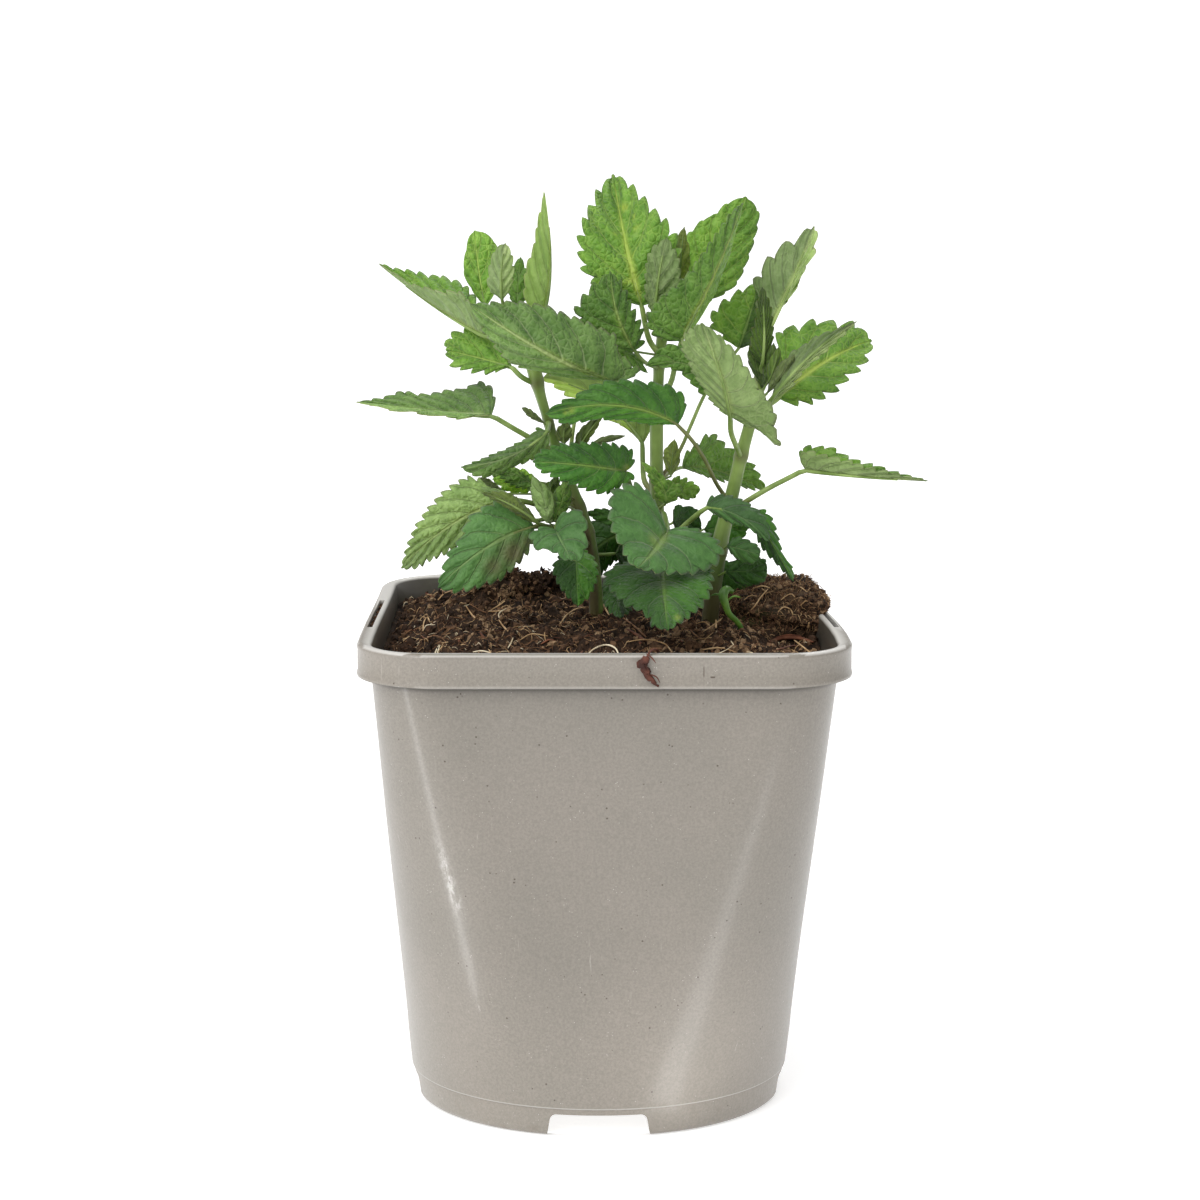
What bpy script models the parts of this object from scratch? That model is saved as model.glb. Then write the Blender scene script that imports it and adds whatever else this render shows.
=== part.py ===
"""Potted giant hyssop: square-to-round nursery pot, potting soil, three stems,
toothed leaves on stalks, a peat clump, a shred of bark and a seedling.

Drawn in millimetres and built in metres, +Z up, the front towards -Y.  The
origin is the centre of the flat underside, on the surface that the pot stands on.
"""
import math

import bmesh
import bpy
import numpy as np
from mathutils import Vector

for o in list(bpy.data.objects):
    bpy.data.objects.remove(o, do_unlink=True)

# ---------------------------------------------------------------- dimensions, mm
RIM_HALF = 65.0          # half width of the rim band
RIM_TOP = 133.0          # height of the flange's top
BAND = 9.0               # height of the turned-down band
RIM_CORNER = 22.0        # corner radius of the band
BODY_TOP_HALF = 61.2     # half width of the body just under the band
BODY_TOP_CORNER = 18.0
FOOT_R = 51.6            # the body is round where it meets the foot
FOOT_H = 8.0             # height of the foot skirt
WALL = 1.1
FLOOR_T = 1.2
NOTCH_W = 25.4           # drain channels that notch the foot, one a side
NOTCH_H = 6.2
NOTCH_IN = 26.0          # how near the middle a channel reaches
SLOT_Y = (-23.5, 19.0)   # hand slots in the flange, left and right
RIM_X = 1.6              # the rim stands this far to the right of the foot
PLANT_X = 2.6            # and the drawing of the plant is laid on this much
GAP = 0.4                # air left between pieces that touch
NAME = "potted_giant_hyssop"

# The plant is drawn on a front elevation: X across, Z up, both in the plane
# through the middle of the pot.  A third number is the drawn depth (minus is
# towards the viewer), which opened() turns into the real depth Y.  at() pushes
# the point there along the sight line from a viewing point about 1.1 m in front
# of the pot, so a drawn point keeps its place in the front view at any depth.
EYE = (-2.2, -1104.0, 325.0)


def opened(y):
    return np.where(np.asarray(y, float) < 0, 1.25, 2.2) * y


def at(x, z, y=0.0):
    y = float(opened(y))
    k = (y - EYE[1]) / -EYE[1]
    return np.array([EYE[0] + (x - EYE[0]) * k + PLANT_X, y, EYE[2] + (z - EYE[2]) * k])


def at_all(p):
    p = np.asarray(p, float)
    y = opened(p[..., 2])
    k = (y - EYE[1]) / -EYE[1]
    return np.stack([EYE[0] + (p[..., 0] - EYE[0]) * k + PLANT_X, y,
                     EYE[2] + (p[..., 1] - EYE[2]) * k], axis=-1)


def unit(v):
    v = np.asarray(v, float)
    n = np.linalg.norm(v, axis=-1, keepdims=True)
    return v / np.maximum(n, 1e-12)


def smooth_line(pts, s):
    """Centripetal Catmull-Rom curve through pts, read at s (0..1) by length."""
    p = np.asarray(pts, float)
    if len(p) == 2:
        return p[0] + (p[1] - p[0]) * np.asarray(s)[:, None]
    q = np.vstack([2 * p[0] - p[1], p, 2 * p[-1] - p[-2]])
    out = []
    for i in range(1, len(q) - 2):
        a, b, c, d = q[i - 1], q[i], q[i + 1], q[i + 2]
        t0 = 0.0
        t1 = t0 + max(np.linalg.norm(b - a) ** 0.5, 1e-6)
        t2 = t1 + max(np.linalg.norm(c - b) ** 0.5, 1e-6)
        t3 = t2 + max(np.linalg.norm(d - c) ** 0.5, 1e-6)
        for k in range(12):
            t = t1 + (t2 - t1) * k / 12.0
            a1 = (t1 - t) / (t1 - t0) * a + (t - t0) / (t1 - t0) * b
            a2 = (t2 - t) / (t2 - t1) * b + (t - t1) / (t2 - t1) * c
            a3 = (t3 - t) / (t3 - t2) * c + (t - t2) / (t3 - t2) * d
            b1 = (t2 - t) / (t2 - t0) * a1 + (t - t0) / (t2 - t0) * a2
            b2 = (t3 - t) / (t3 - t1) * a2 + (t - t1) / (t3 - t1) * a3
            out.append((t2 - t) / (t2 - t1) * b1 + (t - t1) / (t2 - t1) * b2)
    out.append(p[-1])
    out = np.array(out)
    ln = np.concatenate([[0], np.cumsum(np.linalg.norm(np.diff(out, axis=0), axis=1))])
    ln /= ln[-1]
    return np.stack([np.interp(s, ln, out[:, j]) for j in range(out.shape[1])], axis=-1)


# ---------------------------------------------------------------- stems
# (x, z, y, radius) up each stem, on the elevation.
STEMS = {
    "stem_center": [(14.8, 112, 2, 1.9), (14.5, 127, 2, 2.1), (14, 145, 1.5, 2.0), (13.3, 160, 1, 1.95),
                    (13.1, 172, 1, 1.85), (13.1, 184, 1, 1.85), (13.5, 195, 1, 1.5),
                    (14, 204, 1, 1.5), (15.5, 213, 2, 1.3), (17.3, 219, 3, 0.9)],
    "stem_left": [(-2.5, 112, 4, 1.8), (-3, 128, 4, 2.0), (-3.8, 143, 4, 2.0), (-5.8, 155, 3.5, 2.0),
                  (-9.3, 165, 3, 1.9), (-13.5, 176, 2, 1.6), (-16.4, 186, 1, 1.35),
                  (-18.2, 192, 0.5, 1.5), (-19.7, 198, 0, 1.9), (-21.5, 205, 0, 2.1),
                  (-23.2, 212, 0, 1.3)],
    "stem_right": [(26.8, 112, -2, 2.0), (27.5, 127, -2, 2.3), (28.7, 140, -3, 2.25), (30.6, 153, -4, 2.2),
                   (33.4, 164.5, -5, 1.9), (35.9, 175.5, -6, 1.75), (38.4, 185, -6, 1.6),
                   (40.2, 193, -5, 1.6), (41.3, 199, -4, 1.4), (42.2, 205, -3, 1.0)],
}


def stem_axis(name, n=60):
    """Real axis points and radii of a stem."""
    c = smooth_line(STEMS[name], np.linspace(0, 1, n))
    return at_all(c[:, :3]), c[:, 3]


# ---------------------------------------------------------------- leaves
# name: stem, height where the stalk joins, points along the stalk, blade base,
# a point half way along the midrib, tip, outline points on side A, on side C,
# depth gained per mm out from the midrib on A and on C, which face of side A
# shows to the front (1 upper, -1 under), tone, teeth a side.
LEAVES = {
 "leaf_left_high": ("stem_left", 203, [(-27, 206, -2)], (-33, 208.5, -1), (-47, 216.8, 6), (-61.6, 227.9, 13),
    [(-34, 213), (-37, 217.5), (-40.5, 220.2), (-45, 220.6), (-50, 221.4), (-55.5, 224)],
    [(-34, 215), (-37, 220.5), (-40, 223), (-45, 224.3), (-50, 225.4), (-55, 226.2)], -.5, .6, -1, "mid", 9),
 "leaf_left_bright": ("stem_left", 195, [(-23.3, 197.3, -1)], (-26, 200, -1), (-35, 202.4, 1), (-43.8, 204.6, 4),
    [(-28, 205), (-33, 209.3), (-39, 210), (-43.3, 208.2)],
    [(-29, 199.3), (-33, 198.3), (-38, 199), (-42.2, 200.6)], .3, -.3, 1, "bright", 5),
 "leaf_front_large": ("stem_center", 187, [(5.5, 192, -7)], (1, 196.4, -14), (-16, 203.3, -22), (-37.2, 217, -22),
    [(5.5, 196.9), (8.6, 199), (5, 202), (2.8, 204.5), (2.3, 208), (-4, 211.3), (-10, 213.8), (-15, 216), (-22, 217.3), (-30, 217.6)],
    [(-3, 196.8), (-10, 197.3), (-17, 198.6), (-25, 200.2), (-30, 205), (-35, 211.5)], .35, .4, 1, "grey", 12),
 "leaf_left_upright": ("stem_left", 208, [(-29, 212, 3)], (-33, 216, 4), (-34.8, 226, 6), (-35.8, 236.8, 9),
    [(-36.5, 220.5), (-38.8, 225.5), (-38.2, 231.5), (-37.3, 235)],
    [(-30.5, 220), (-29, 227), (-30, 233), (-32.3, 235.6)], .15, .15, 1, "bright", 3),
 "leaf_left_young_pale": ("stem_left", 207, [(-27, 213, -4)], (-28.5, 218, -6), (-28.7, 226, -7), (-27.5, 233.4, -5),
    [(-32.3, 221.5), (-32, 226.5), (-30.3, 231.8)], [(-26.3, 221), (-25.3, 226), (-26, 231)], .3, .3, -1, "pale", 4),
 "leaf_left_young_dark": ("stem_left", 210, [], (-24.6, 216, 3), (-24.2, 223, 4), (-23.4, 229.8, 6),
    [(-27, 220), (-26.6, 226)], [(-21.8, 219), (-21.6, 225)], .2, .2, 1, "dark", 4),
 "leaf_left_spire": ("stem_left", 207, [(-19, 209.5, -2)], (-18.3, 213, -3), (-15.7, 227, -2), (-17.2, 247.2, 5),
    [(-21, 214.5), (-22.8, 220), (-21.8, 227), (-20, 233.5), (-18.8, 239)],
    [(-20, 214.5), (-21.5, 221), (-20, 229), (-18.3, 238)], -.35, .5, -1, "pale", 6),
 "leaf_top_center": ("stem_center", 202.5, [(11, 207.5, -1)], (9, 216.5, -2), (5, 232, 1), (1.2, 251.9, 9),
    [(4, 218), (-3.5, 222), (-6.4, 225.5), (-7.8, 231), (-7.6, 236.5), (-5.3, 242.5), (-2.6, 247.5)],
    [(12, 217.5), (17, 223), (19, 230), (18, 236), (14.5, 240.2), (9.9, 244.8), (5.6, 249.5)], -.15, -.1, 1, "bright", 9),
 "leaf_center_dark": ("stem_center", 199, [(9.6, 201.5, -5)], (7, 204.5, -8), (2.5, 214.5, -9), (0.6, 225.7, -6),
    [(2, 204.5), (-4, 209), (-8.8, 214), (-7.8, 217.6), (-4.5, 221.9)],
    [(9.3, 206), (9, 211), (6.5, 216.5), (4, 221.9)], .1, .1, 1, "dark", 7),
 "leaf_young_pale": ("stem_center", 208, [], (12.8, 213.5, -3.5), (13.5, 224, -4.5), (15.8, 235, -3),
    [(10.3, 217.5), (9.9, 225), (11.3, 231.5)], [(15.9, 217.5), (19.1, 222.7), (19.1, 228.8)], .1, .1, -1, "pale", 6),
 "leaf_young_brown": ("stem_center", 219.5, [], (19.2, 222.8, 2), (19.6, 230, 2), (20.4, 237.9, 3),
    [(17.2, 226), (16.7, 231.5)], [(21.7, 226), (21.8, 231)], .3, .3, -1, "brown", 3),
 "leaf_upper_front": ("stem_center", 190, [(17, 196, -3), (18.3, 202, -4)], (19.8, 207, -7), (29.0, 226, -4), (36.2, 244.4, 4),
    [(15, 207.2), (11, 209.8), (10.3, 214), (13, 218.0), (16.5, 221.0), (21, 225), (25.2, 230.5), (29, 236), (33.2, 241.9)],
    [(24.4, 213.3), (28.0, 219.6), (30.9, 226.4), (32.6, 232), (34.9, 240.4)], -.1, 2.2, 1, "mid", 14),
 "leaf_upper_back": ("stem_center", 212, [(19, 214.5, 6)], (22.8, 215.5, 8.5), (30.3, 231, 12), (36.8, 245.9, 14),
    [(20.4, 221), (20.6, 228.3), (20.8, 234.9), (23.0, 237.4), (25.1, 239.6), (28.0, 240.8), (31.8, 244.1)],
    [(29.6, 218.9), (34.1, 221.9), (36.4, 226), (38.4, 231.5), (40.0, 237.5), (40.3, 242.1)], .1, .1, 1, "bright", 9),
 "leaf_right_high": ("stem_right", 202, [(43.4, 206.5, 2)], (43.6, 211, 4), (48.8, 222, 6), (55.2, 238, 11),
    [(41, 214.5), (39.3, 223.5), (42.3, 228.3), (46, 232.3), (50.3, 234.9)],
    [(45, 214.3), (49.8, 220.5), (53.4, 227), (56.1, 234.3)], .2, .6, -1, "grey", 5),
 "leaf_right_dark": ("stem_center", 169, [(19, 176.5, 2), (22.5, 184.5, 3), (26.3, 193, 4), (31.5, 200.5, 6)], (35.3, 205, 7), (38, 213.5, 7), (40.3, 222.6, 10),
    [(31, 208), (27.2, 212.3), (30, 217), (34.5, 220.1), (38, 221.9)],
    [(39, 206.5), (42.3, 212), (42.5, 218.5)], .1, .1, 1, "dark", 5),
 "leaf_young_ridged": ("stem_right", 197, [], (41.5, 200.5, -8), (42, 210, -9), (41.3, 221.8, -7),
    [(38.8, 203), (38.2, 207.5), (39.6, 213), (40.2, 218)], [(44, 203), (44.4, 209), (44, 215), (42.9, 219)], .3, .3, -1, "olive", 7),
 "leaf_right_bud": ("stem_right", 191.5, [], (43.2, 196, -10), (44.7, 200, -10.5), (45.9, 205.5, -10),
    [(42.7, 199), (44, 203)], [(46, 198.4), (46.8, 202.4)], .3, .3, -1, "brown", 2),
 "leaf_right_bright": ("stem_right", 188, [(43, 189.5, -3)], (46, 191.5, -2), (58.3, 201.2, 3), (71, 207.2, 9),
    [(44.6, 197), (45.2, 205), (46, 209.9), (49.5, 210.9), (55, 212.4), (61, 212.1), (67, 211.4)],
    [(49, 190.1), (55, 190.4), (59.8, 192.6), (64.6, 196.5), (68.7, 200.6), (70.7, 203.7)], .25, -.1, 1, "bright", 9),
 "leaf_right_strip": ("stem_right", 185.5, [(41.3, 187.5, -10)], (44, 191, -13), (54.3, 202.8, -13), (67, 212.4, -8),
    [(45.8, 197.5), (49.3, 203.8), (54, 207), (60, 209.8)],
    [(48.7, 194.2), (53.6, 199.8), (58.6, 204.3), (64, 209.2)], .7, .2, -1, "brown", 7),
 "leaf_right_pale": ("stem_right", 175.5, [(34.6, 178.5, -11), (33.2, 182.3, -14)], (33, 186.5, -17), (30.5, 197.5, -22), (25.2, 212, -19),
    [(31, 187.5), (27.8, 190.8), (24.5, 195.5), (21.8, 200.8), (19.7, 205.2), (21, 209.5)],
    [(37, 184.3), (41.5, 182.4), (46.4, 178.2), (45.4, 183), (45.2, 187.5), (42.8, 191.8), (39, 197.3), (34.5, 204), (30, 208.6)], .15, .25, -1, "pale", 8),
 "leaf_behind_pale": ("stem_right", 183, [(35, 189.5, -9)], (29, 196, -10), (20, 201, -10), (10, 200.3, -8),
    [(25, 204), (19.5, 206), (15, 205.8), (12.3, 203.3)], [(26, 192.3), (22, 196), (19, 198.7), (15, 199.8)], .1, .1, 1, "grey", 5),
 "leaf_far_right": ("stem_right", 159, [(37.5, 163.4, -7), (44, 167.3, -8), (50, 170.4, -9)], (53.3, 172.2, -10), (70, 170.2, -19), (86.8, 169, -27),
    [(51.9, 175), (53.2, 177), (57, 176.6), (63, 174.9), (70, 173), (78, 171)],
    [(51.7, 176), (52.3, 178.1), (57, 178.4), (60.2, 178.1), (64.8, 175.8), (70, 173.9), (77, 171.8), (83, 170.1)], -.4, .5, -1, "mid", 9),
 "leaf_behind_center": ("stem_center", 168, [(17, 171.5, 5)], (20, 172.8, 9), (31, 171.3, 15), (42.8, 166.2, 18),
    [(20.8, 176), (24.3, 179.5), (27.5, 182), (33, 178.2), (38, 174.6), (41.5, 170)],
    [(24.5, 170.9), (30, 169.3), (36.5, 167.3)], .2, -.3, 1, "mid", 9),
 "leaf_right_low_front": ("stem_center", 150, [(19, 155.2, -8), (23, 158.8, -13)], (26.5, 161.7, -17), (35.5, 159.3, -23), (43.8, 152.2, -23),
    [(27.8, 164.6), (32, 165.3), (37, 163.4), (41, 160.5), (43.5, 157.3)],
    [(28.7, 160), (33, 157.8), (38, 156), (41.7, 153.3)], .4, .1, 1, "blue", 8),
 "leaf_right_drooping": ("stem_right", 161, [(36, 162, -9)], (39, 160.8, -12), (44.3, 152.3, -15), (50.4, 141.4, -18),
    [(42.3, 161), (44.9, 158), (46.3, 153.5), (47.4, 148.7), (50.3, 145)],
    [(39.2, 156.5), (41.6, 151.2), (45.8, 146)], .3, .2, 1, "dark", 7),
 "leaf_right_behind_stem": ("stem_center", 148, [(19.5, 152.5, 6)], (26, 155.7, 8), (32, 156.3, 9), (38.8, 157.6, 8),
    [(29, 160.2), (36, 160.5)], [(29, 151.8), (36, 152.6)], .1, .1, 1, "dark", 5),
 "leaf_right_bluegreen": ("stem_right", 149.5, [], (32.3, 151.2, -9), (36.7, 150.2, -12), (41.3, 148.6, -13),
    [(34.3, 153.6), (37.8, 153), (41.2, 150.7)], [(33.8, 148.6), (35.8, 147), (38.7, 146.1), (40.7, 147.1)], .1, .1, 1, "blue", 4),
 "leaf_right_dark_low": ("stem_right", 142, [], (32, 144, -7), (37.5, 144.3, -7), (43.3, 144.3, -5),
    [(34.6, 147.2), (38.5, 148.1), (42.6, 147.6)], [(34.6, 141.3), (38.3, 140.1), (42.6, 141.6)], .1, .1, 1, "dark", 5),
 "leaf_center_shoot_a": ("stem_center", 160.5, [], (15.6, 162.7, -4), (14.3, 168.5, -6), (8.7, 174.4, -5),
    [(13, 164.5), (12.2, 167.5), (10.4, 171)], [(19.3, 164.5), (20.2, 167.3), (16, 169.6), (12.4, 172.8)], -.2, .1, 1, "mid", 5),
 "leaf_center_shoot_b": ("stem_center", 163, [], (18.3, 165.5, -0.5), (21.5, 166.9, 0.5), (25.1, 166.8, 1),
    [(20, 168.4), (22.8, 168.9)], [(20.3, 163.9), (23.2, 164.2)], .1, .1, 1, "dark", 3),
 "leaf_center_bud": ("stem_center", 168, [], (17, 170.3, -4), (17.3, 175.3, -6), (18, 180.5, -5),
    [(15.3, 173.3), (15, 177)], [(19.2, 173.3), (19.3, 177.3)], .3, .3, -1, "brown", 2),
 "leaf_center_dark_back": ("stem_center", 155, [], (17.6, 157.5, 5), (21, 158.3, 8), (25.4, 155.8, 9),
    [(18, 162.2), (20.7, 162.2), (24.4, 161.2)], [(19, 154.5), (23, 153.3)], .1, .1, 1, "dark", 4),
 "leaf_heart_front": ("stem_center", 158.5, [(15.1, 160, -8), (15.7, 158, -13)], (16.2, 155.4, -19), (13, 150.3, -29), (8, 145.1, -38),
    [(14, 158.5), (12.6, 163.5), (9.5, 167.8), (4.5, 168.1), (0.6, 165.5), (0.2, 161), (1.2, 155.5), (3.8, 150.2), (5.3, 147)],
    [(19.5, 156.2), (24, 156), (28.5, 153.8), (31.2, 149.5), (29.5, 146.2), (24, 143.9), (17, 143.4), (12, 144)], .1, .1, 1, "mid", 11),
 "leaf_front_low": ("stem_center", 147, [(14.5, 147.8, -8)], (15, 146.3, -16), (15.2, 138, -34), (16.3, 127.8, -46),
    [(8, 147), (0, 144.5), (-1.3, 141.5), (1.5, 138), (4.5, 134.7), (9.5, 132.8), (12, 129.2)],
    [(22, 146.5), (28.4, 144.5), (28.3, 140.5), (27.4, 137), (24.6, 133.7), (20.5, 130.4)], .2, .15, 1, "dark", 11),
 "leaf_front_low_dark": ("stem_center", 142, [(9.5, 143, -7)], (6.5, 142.5, -13), (3, 137.5, -20), (3.3, 131.2, -27),
    [(0, 141.5), (-1.2, 136), (0.8, 132.6)], [(7, 137), (6, 133)], .1, .1, 1, "dark", 6),
 "leaf_left_heart": ("stem_left", 157, [(-10.2, 157.4, -7), (-13.5, 157.8, -15)], (-14.3, 155.7, -21), (-12.3, 151.5, -27), (-10, 147.1, -31),
    [(-17.5, 156.4), (-21.2, 154.5), (-20, 150.7), (-16, 150), (-13, 147.9)],
    [(-13.3, 159), (-10, 161.3), (-6.4, 159.8), (-5.6, 154), (-6.2, 149.3), (-8, 147.2)], .1, .1, 1, "mid", 4),
 "leaf_left_bluegreen": ("stem_left", 152.5, [(-11, 155, 1), (-17.5, 156.6, -8)], (-20, 156.5, -15), (-33, 150.8, -21), (-46.4, 139.6, -22),
    [(-23.5, 160.8), (-28.5, 163.4), (-34.5, 161.4), (-38.3, 158.3), (-40.2, 153.5), (-43, 149.8), (-45.2, 144.5)],
    [(-20.8, 151), (-24, 146.8), (-29, 142), (-34.5, 140), (-41, 138.4)], .2, -.1, 1, "blue", 9),
 "leaf_left_pale": ("stem_left", 157, [(-14, 160.5, 3), (-21, 163, -2)], (-26.5, 164, -5), (-42.5, 157, -3), (-56.3, 145, 4),
    [(-31, 168), (-37.5, 170.1), (-42.6, 167.7), (-47.6, 163), (-51.4, 158), (-54.1, 152.5), (-55.5, 148.3)],
    [(-28.5, 158.5), (-34, 153.5), (-41.5, 150.3), (-48, 147.3), (-52.8, 144.9)], .2, .2, 1, "lime", 13),
 "leaf_left_small_bright": ("stem_left", 167, [], (-18.5, 168.6, 0), (-25, 169.3, -1), (-31.5, 169.5, 0),
    [(-22.5, 172.1), (-28.5, 172.4)], [(-22, 165.5), (-28, 166.3)], .1, .1, 1, "bright", 4),
 "leaf_left_grey": ("stem_left", 155, [(-12.5, 155.6, -6)], (-19, 157.3, -17), (-25.8, 162.2, -21), (-34.4, 165.7, -19),
    [(-21.8, 161.8), (-25.8, 165.2), (-30, 166.1)], [(-22.5, 158.3), (-27, 161.4), (-31.3, 163.8)], .3, .2, -1, "brown", 6),
 "leaf_left_curled": ("stem_left", 185, [], (-16.5, 182.3, -7), (-26.5, 175.8, -12), (-40, 172.8, -12),
    [(-19, 183.6), (-21.5, 181), (-25.3, 178.8), (-31, 176.6), (-35.5, 174.4)],
    [(-16, 179.5), (-19.8, 175.3), (-25.5, 172.6), (-31.5, 170.2), (-36.5, 170.5)], .3, .3, 1, "grey", 8),
 "leaf_left_narrow": ("stem_left", 177, [(-18.5, 179.3, -1), (-25, 183, -2)], (-31.5, 186.9, -2), (-47.5, 188.1, 4), (-68.2, 190.5, 11),
    [(-30.5, 190.5), (-31.4, 194.3), (-34.5, 196), (-40, 194), (-46.5, 193.3), (-51.5, 192.6), (-55.5, 193.4), (-60, 192.1), (-64, 191.1)],
    [(-36, 186.7), (-40.8, 186), (-48, 187), (-57, 188.1), (-63, 189.3)], .6, -.5, 1, "mid", 10),
 "leaf_front_center": ("stem_right", 163.5, [(29.3, 168.3, -10), (26.3, 174.5, -15), (22.5, 180.3, -20)], (18.7, 184.3, -23), (2, 189.6, -30), (-17.1, 187.3, -27),
    [(20.5, 187.3), (20.9, 191), (18.3, 194.1), (12, 195.9), (5, 196.5), (-3, 195.7), (-9, 192.3), (-14, 189.9)],
    [(15.5, 184.7), (9, 184.4), (3, 185.9), (-5, 185.3), (-12.5, 184.8)], .3, .5, 1, "dark", 8),
 "leaf_front_left": ("stem_center", 150, [(9, 158, -3), (6, 167.5, -7)], (4.6, 171.6, -18.5), (-7, 173.3, -27), (-20.5, 174.3, -25),
    [(7, 174), (6.2, 177.5), (2.5, 179), (-3, 179.4), (-9, 179.5), (-15, 178.6), (-19, 176.7)],
    [(7.2, 170.4), (3.5, 167.3), (-2, 165.5), (-7, 166.9), (-13, 169.3), (-18.4, 171.7)], .25, .15, 1, "dark", 9),
 "leaf_behind_large": ("stem_center", 165, [(10, 168.5, 2), (9.4, 174, 4)], (9.3, 179, 6), (-2, 191.3, 10), (-18.5, 197.1, 13),
    [(11.6, 184), (8, 192.5), (-2, 198.8), (-10, 200.7)],
    [(7, 181.8), (1.5, 185.2), (-4, 188.3), (-10, 191.5), (-15, 195)], .1, .1, -1, "pale", 7),
 "leaf_left_bud_a": ("stem_left", 176, [], (-11.8, 179, -4), (-12, 182, -5), (-11, 185.2, -4),
    [(-14.3, 181.2), (-13.3, 184)], [(-9.9, 181.3), (-9.9, 183.6)], .2, .2, -1, "brown", 3),
 "leaf_left_bud_b": ("stem_left", 172, [], (-8.6, 176.6, -2), (-5.5, 182, -3), (-1.2, 187.3, -2),
    [(-8.8, 181), (-6, 184.7)], [(-5.2, 180), (-2.6, 184)], .2, .2, -1, "olive", 4),
 "leaf_left_center_down": ("stem_left", 152, [], (-8.6, 150.6, -6), (-8.5, 142.5, -13), (-8.3, 134.4, -16),
    [(-12.3, 149.3), (-15.1, 145), (-12.6, 139)], [(-5, 149.3), (-2.6, 145), (-4.5, 138)], .1, .1, 1, "mid", 6),
 "leaf_center_shade": ("stem_left", 148, [], (2, 149, 5), (5.5, 149.2, 8), (10.4, 149, 10),
    [(3.8, 152.7), (6.5, 155.6), (9, 153.5)], [(3.8, 145.2), (6.5, 142.3), (9, 144.5)], .1, .1, 1, "dark", 5),
 "leaf_center_small_dark": ("stem_center", 156, [(8.5, 157, 4)], (4, 157.8, 5), (-1, 159.6, 6), (-6.4, 160.2, 6),
    [(1.5, 160.9), (-3.5, 161.4)], [(1, 156.6), (-3.3, 158.3)], .1, .1, 1, "dark", 4),
 "leaf_left_shoot_a": ("stem_left", 162.5, [], (-15, 163, -3), (-15.6, 166.8, -5), (-13.6, 170.6, -5),
    [(-17.9, 164.8), (-17, 168)], [(-13.8, 165.2), (-13.2, 168)], .3, .3, -1, "olive", 3),
 "leaf_left_shoot_b": ("stem_left", 161, [], (-12, 162.4, -7), (-12.3, 165.2, -9), (-12.3, 168.3, -9.5),
    [(-14, 164), (-14, 166.5)], [(-10.5, 163.8), (-10.4, 166)], .2, .2, 1, "olive", 2),
}


def midrib(leaf, t):
    """Drawn midrib point (x, z, y) at t: one bow through base, middle and tip."""
    b, m, e = (np.array(p, float) for p in leaf[3:6])
    c = 2 * m - (b + e) / 2
    t = np.asarray(t)[:, None]
    return (1 - t) ** 2 * b + 2 * t * (1 - t) * c + t * t * e


def blade_edge(leaf, side, s):
    """Drawn edge point at s (0 base .. 1 tip) and the midrib point it hangs on."""
    pts = leaf[6] if side == 0 else leaf[7]
    slope = leaf[8] if side == 0 else leaf[9]
    b, e = leaf[3], leaf[5]
    line = smooth_line([(b[0], b[1])] + list(pts) + [(e[0], e[1])], s)
    mid = midrib(leaf, np.asarray(s) ** 1.45)
    d = np.linalg.norm(line - mid[:, :2], axis=1)
    return np.column_stack([line, mid[:, 2] + slope * d]), mid


def stalk_path(leaf, gap, stalk_r):
    """Real points of the stalk, from beside its stem to the blade base."""
    axis, rad = stem_axis(leaf[0])
    zr = [at(*p) for p in [(leaf[3][0], leaf[3][1], leaf[3][2])]][0]
    pts = [at(*p) for p in leaf[2]] + [zr]
    # stem point at the drawn height
    el = EYE[2] + (axis[:, 2] - EYE[2]) * (-EYE[1]) / (axis[:, 1] - EYE[1])
    i = int(np.argmin(abs(el - leaf[1])))
    a, r = axis[i], rad[i]
    ax = unit(axis[min(i + 1, len(axis) - 1)] - axis[max(i - 1, 0)])
    d = unit(pts[0] - a)
    perp = d - ax * (d @ ax)
    sn = max(np.linalg.norm(perp), 0.35)
    if gap is None:
        start = a
    elif leaf[1] >= el[-1] - 0.05:
        start = a + d * (gap + 0.5)
    else:
        out = r + gap + stalk_r * min(1.0, abs(d @ ax) + 0.15)
        start = a + d * (out / sn)
    return [start] + pts


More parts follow.
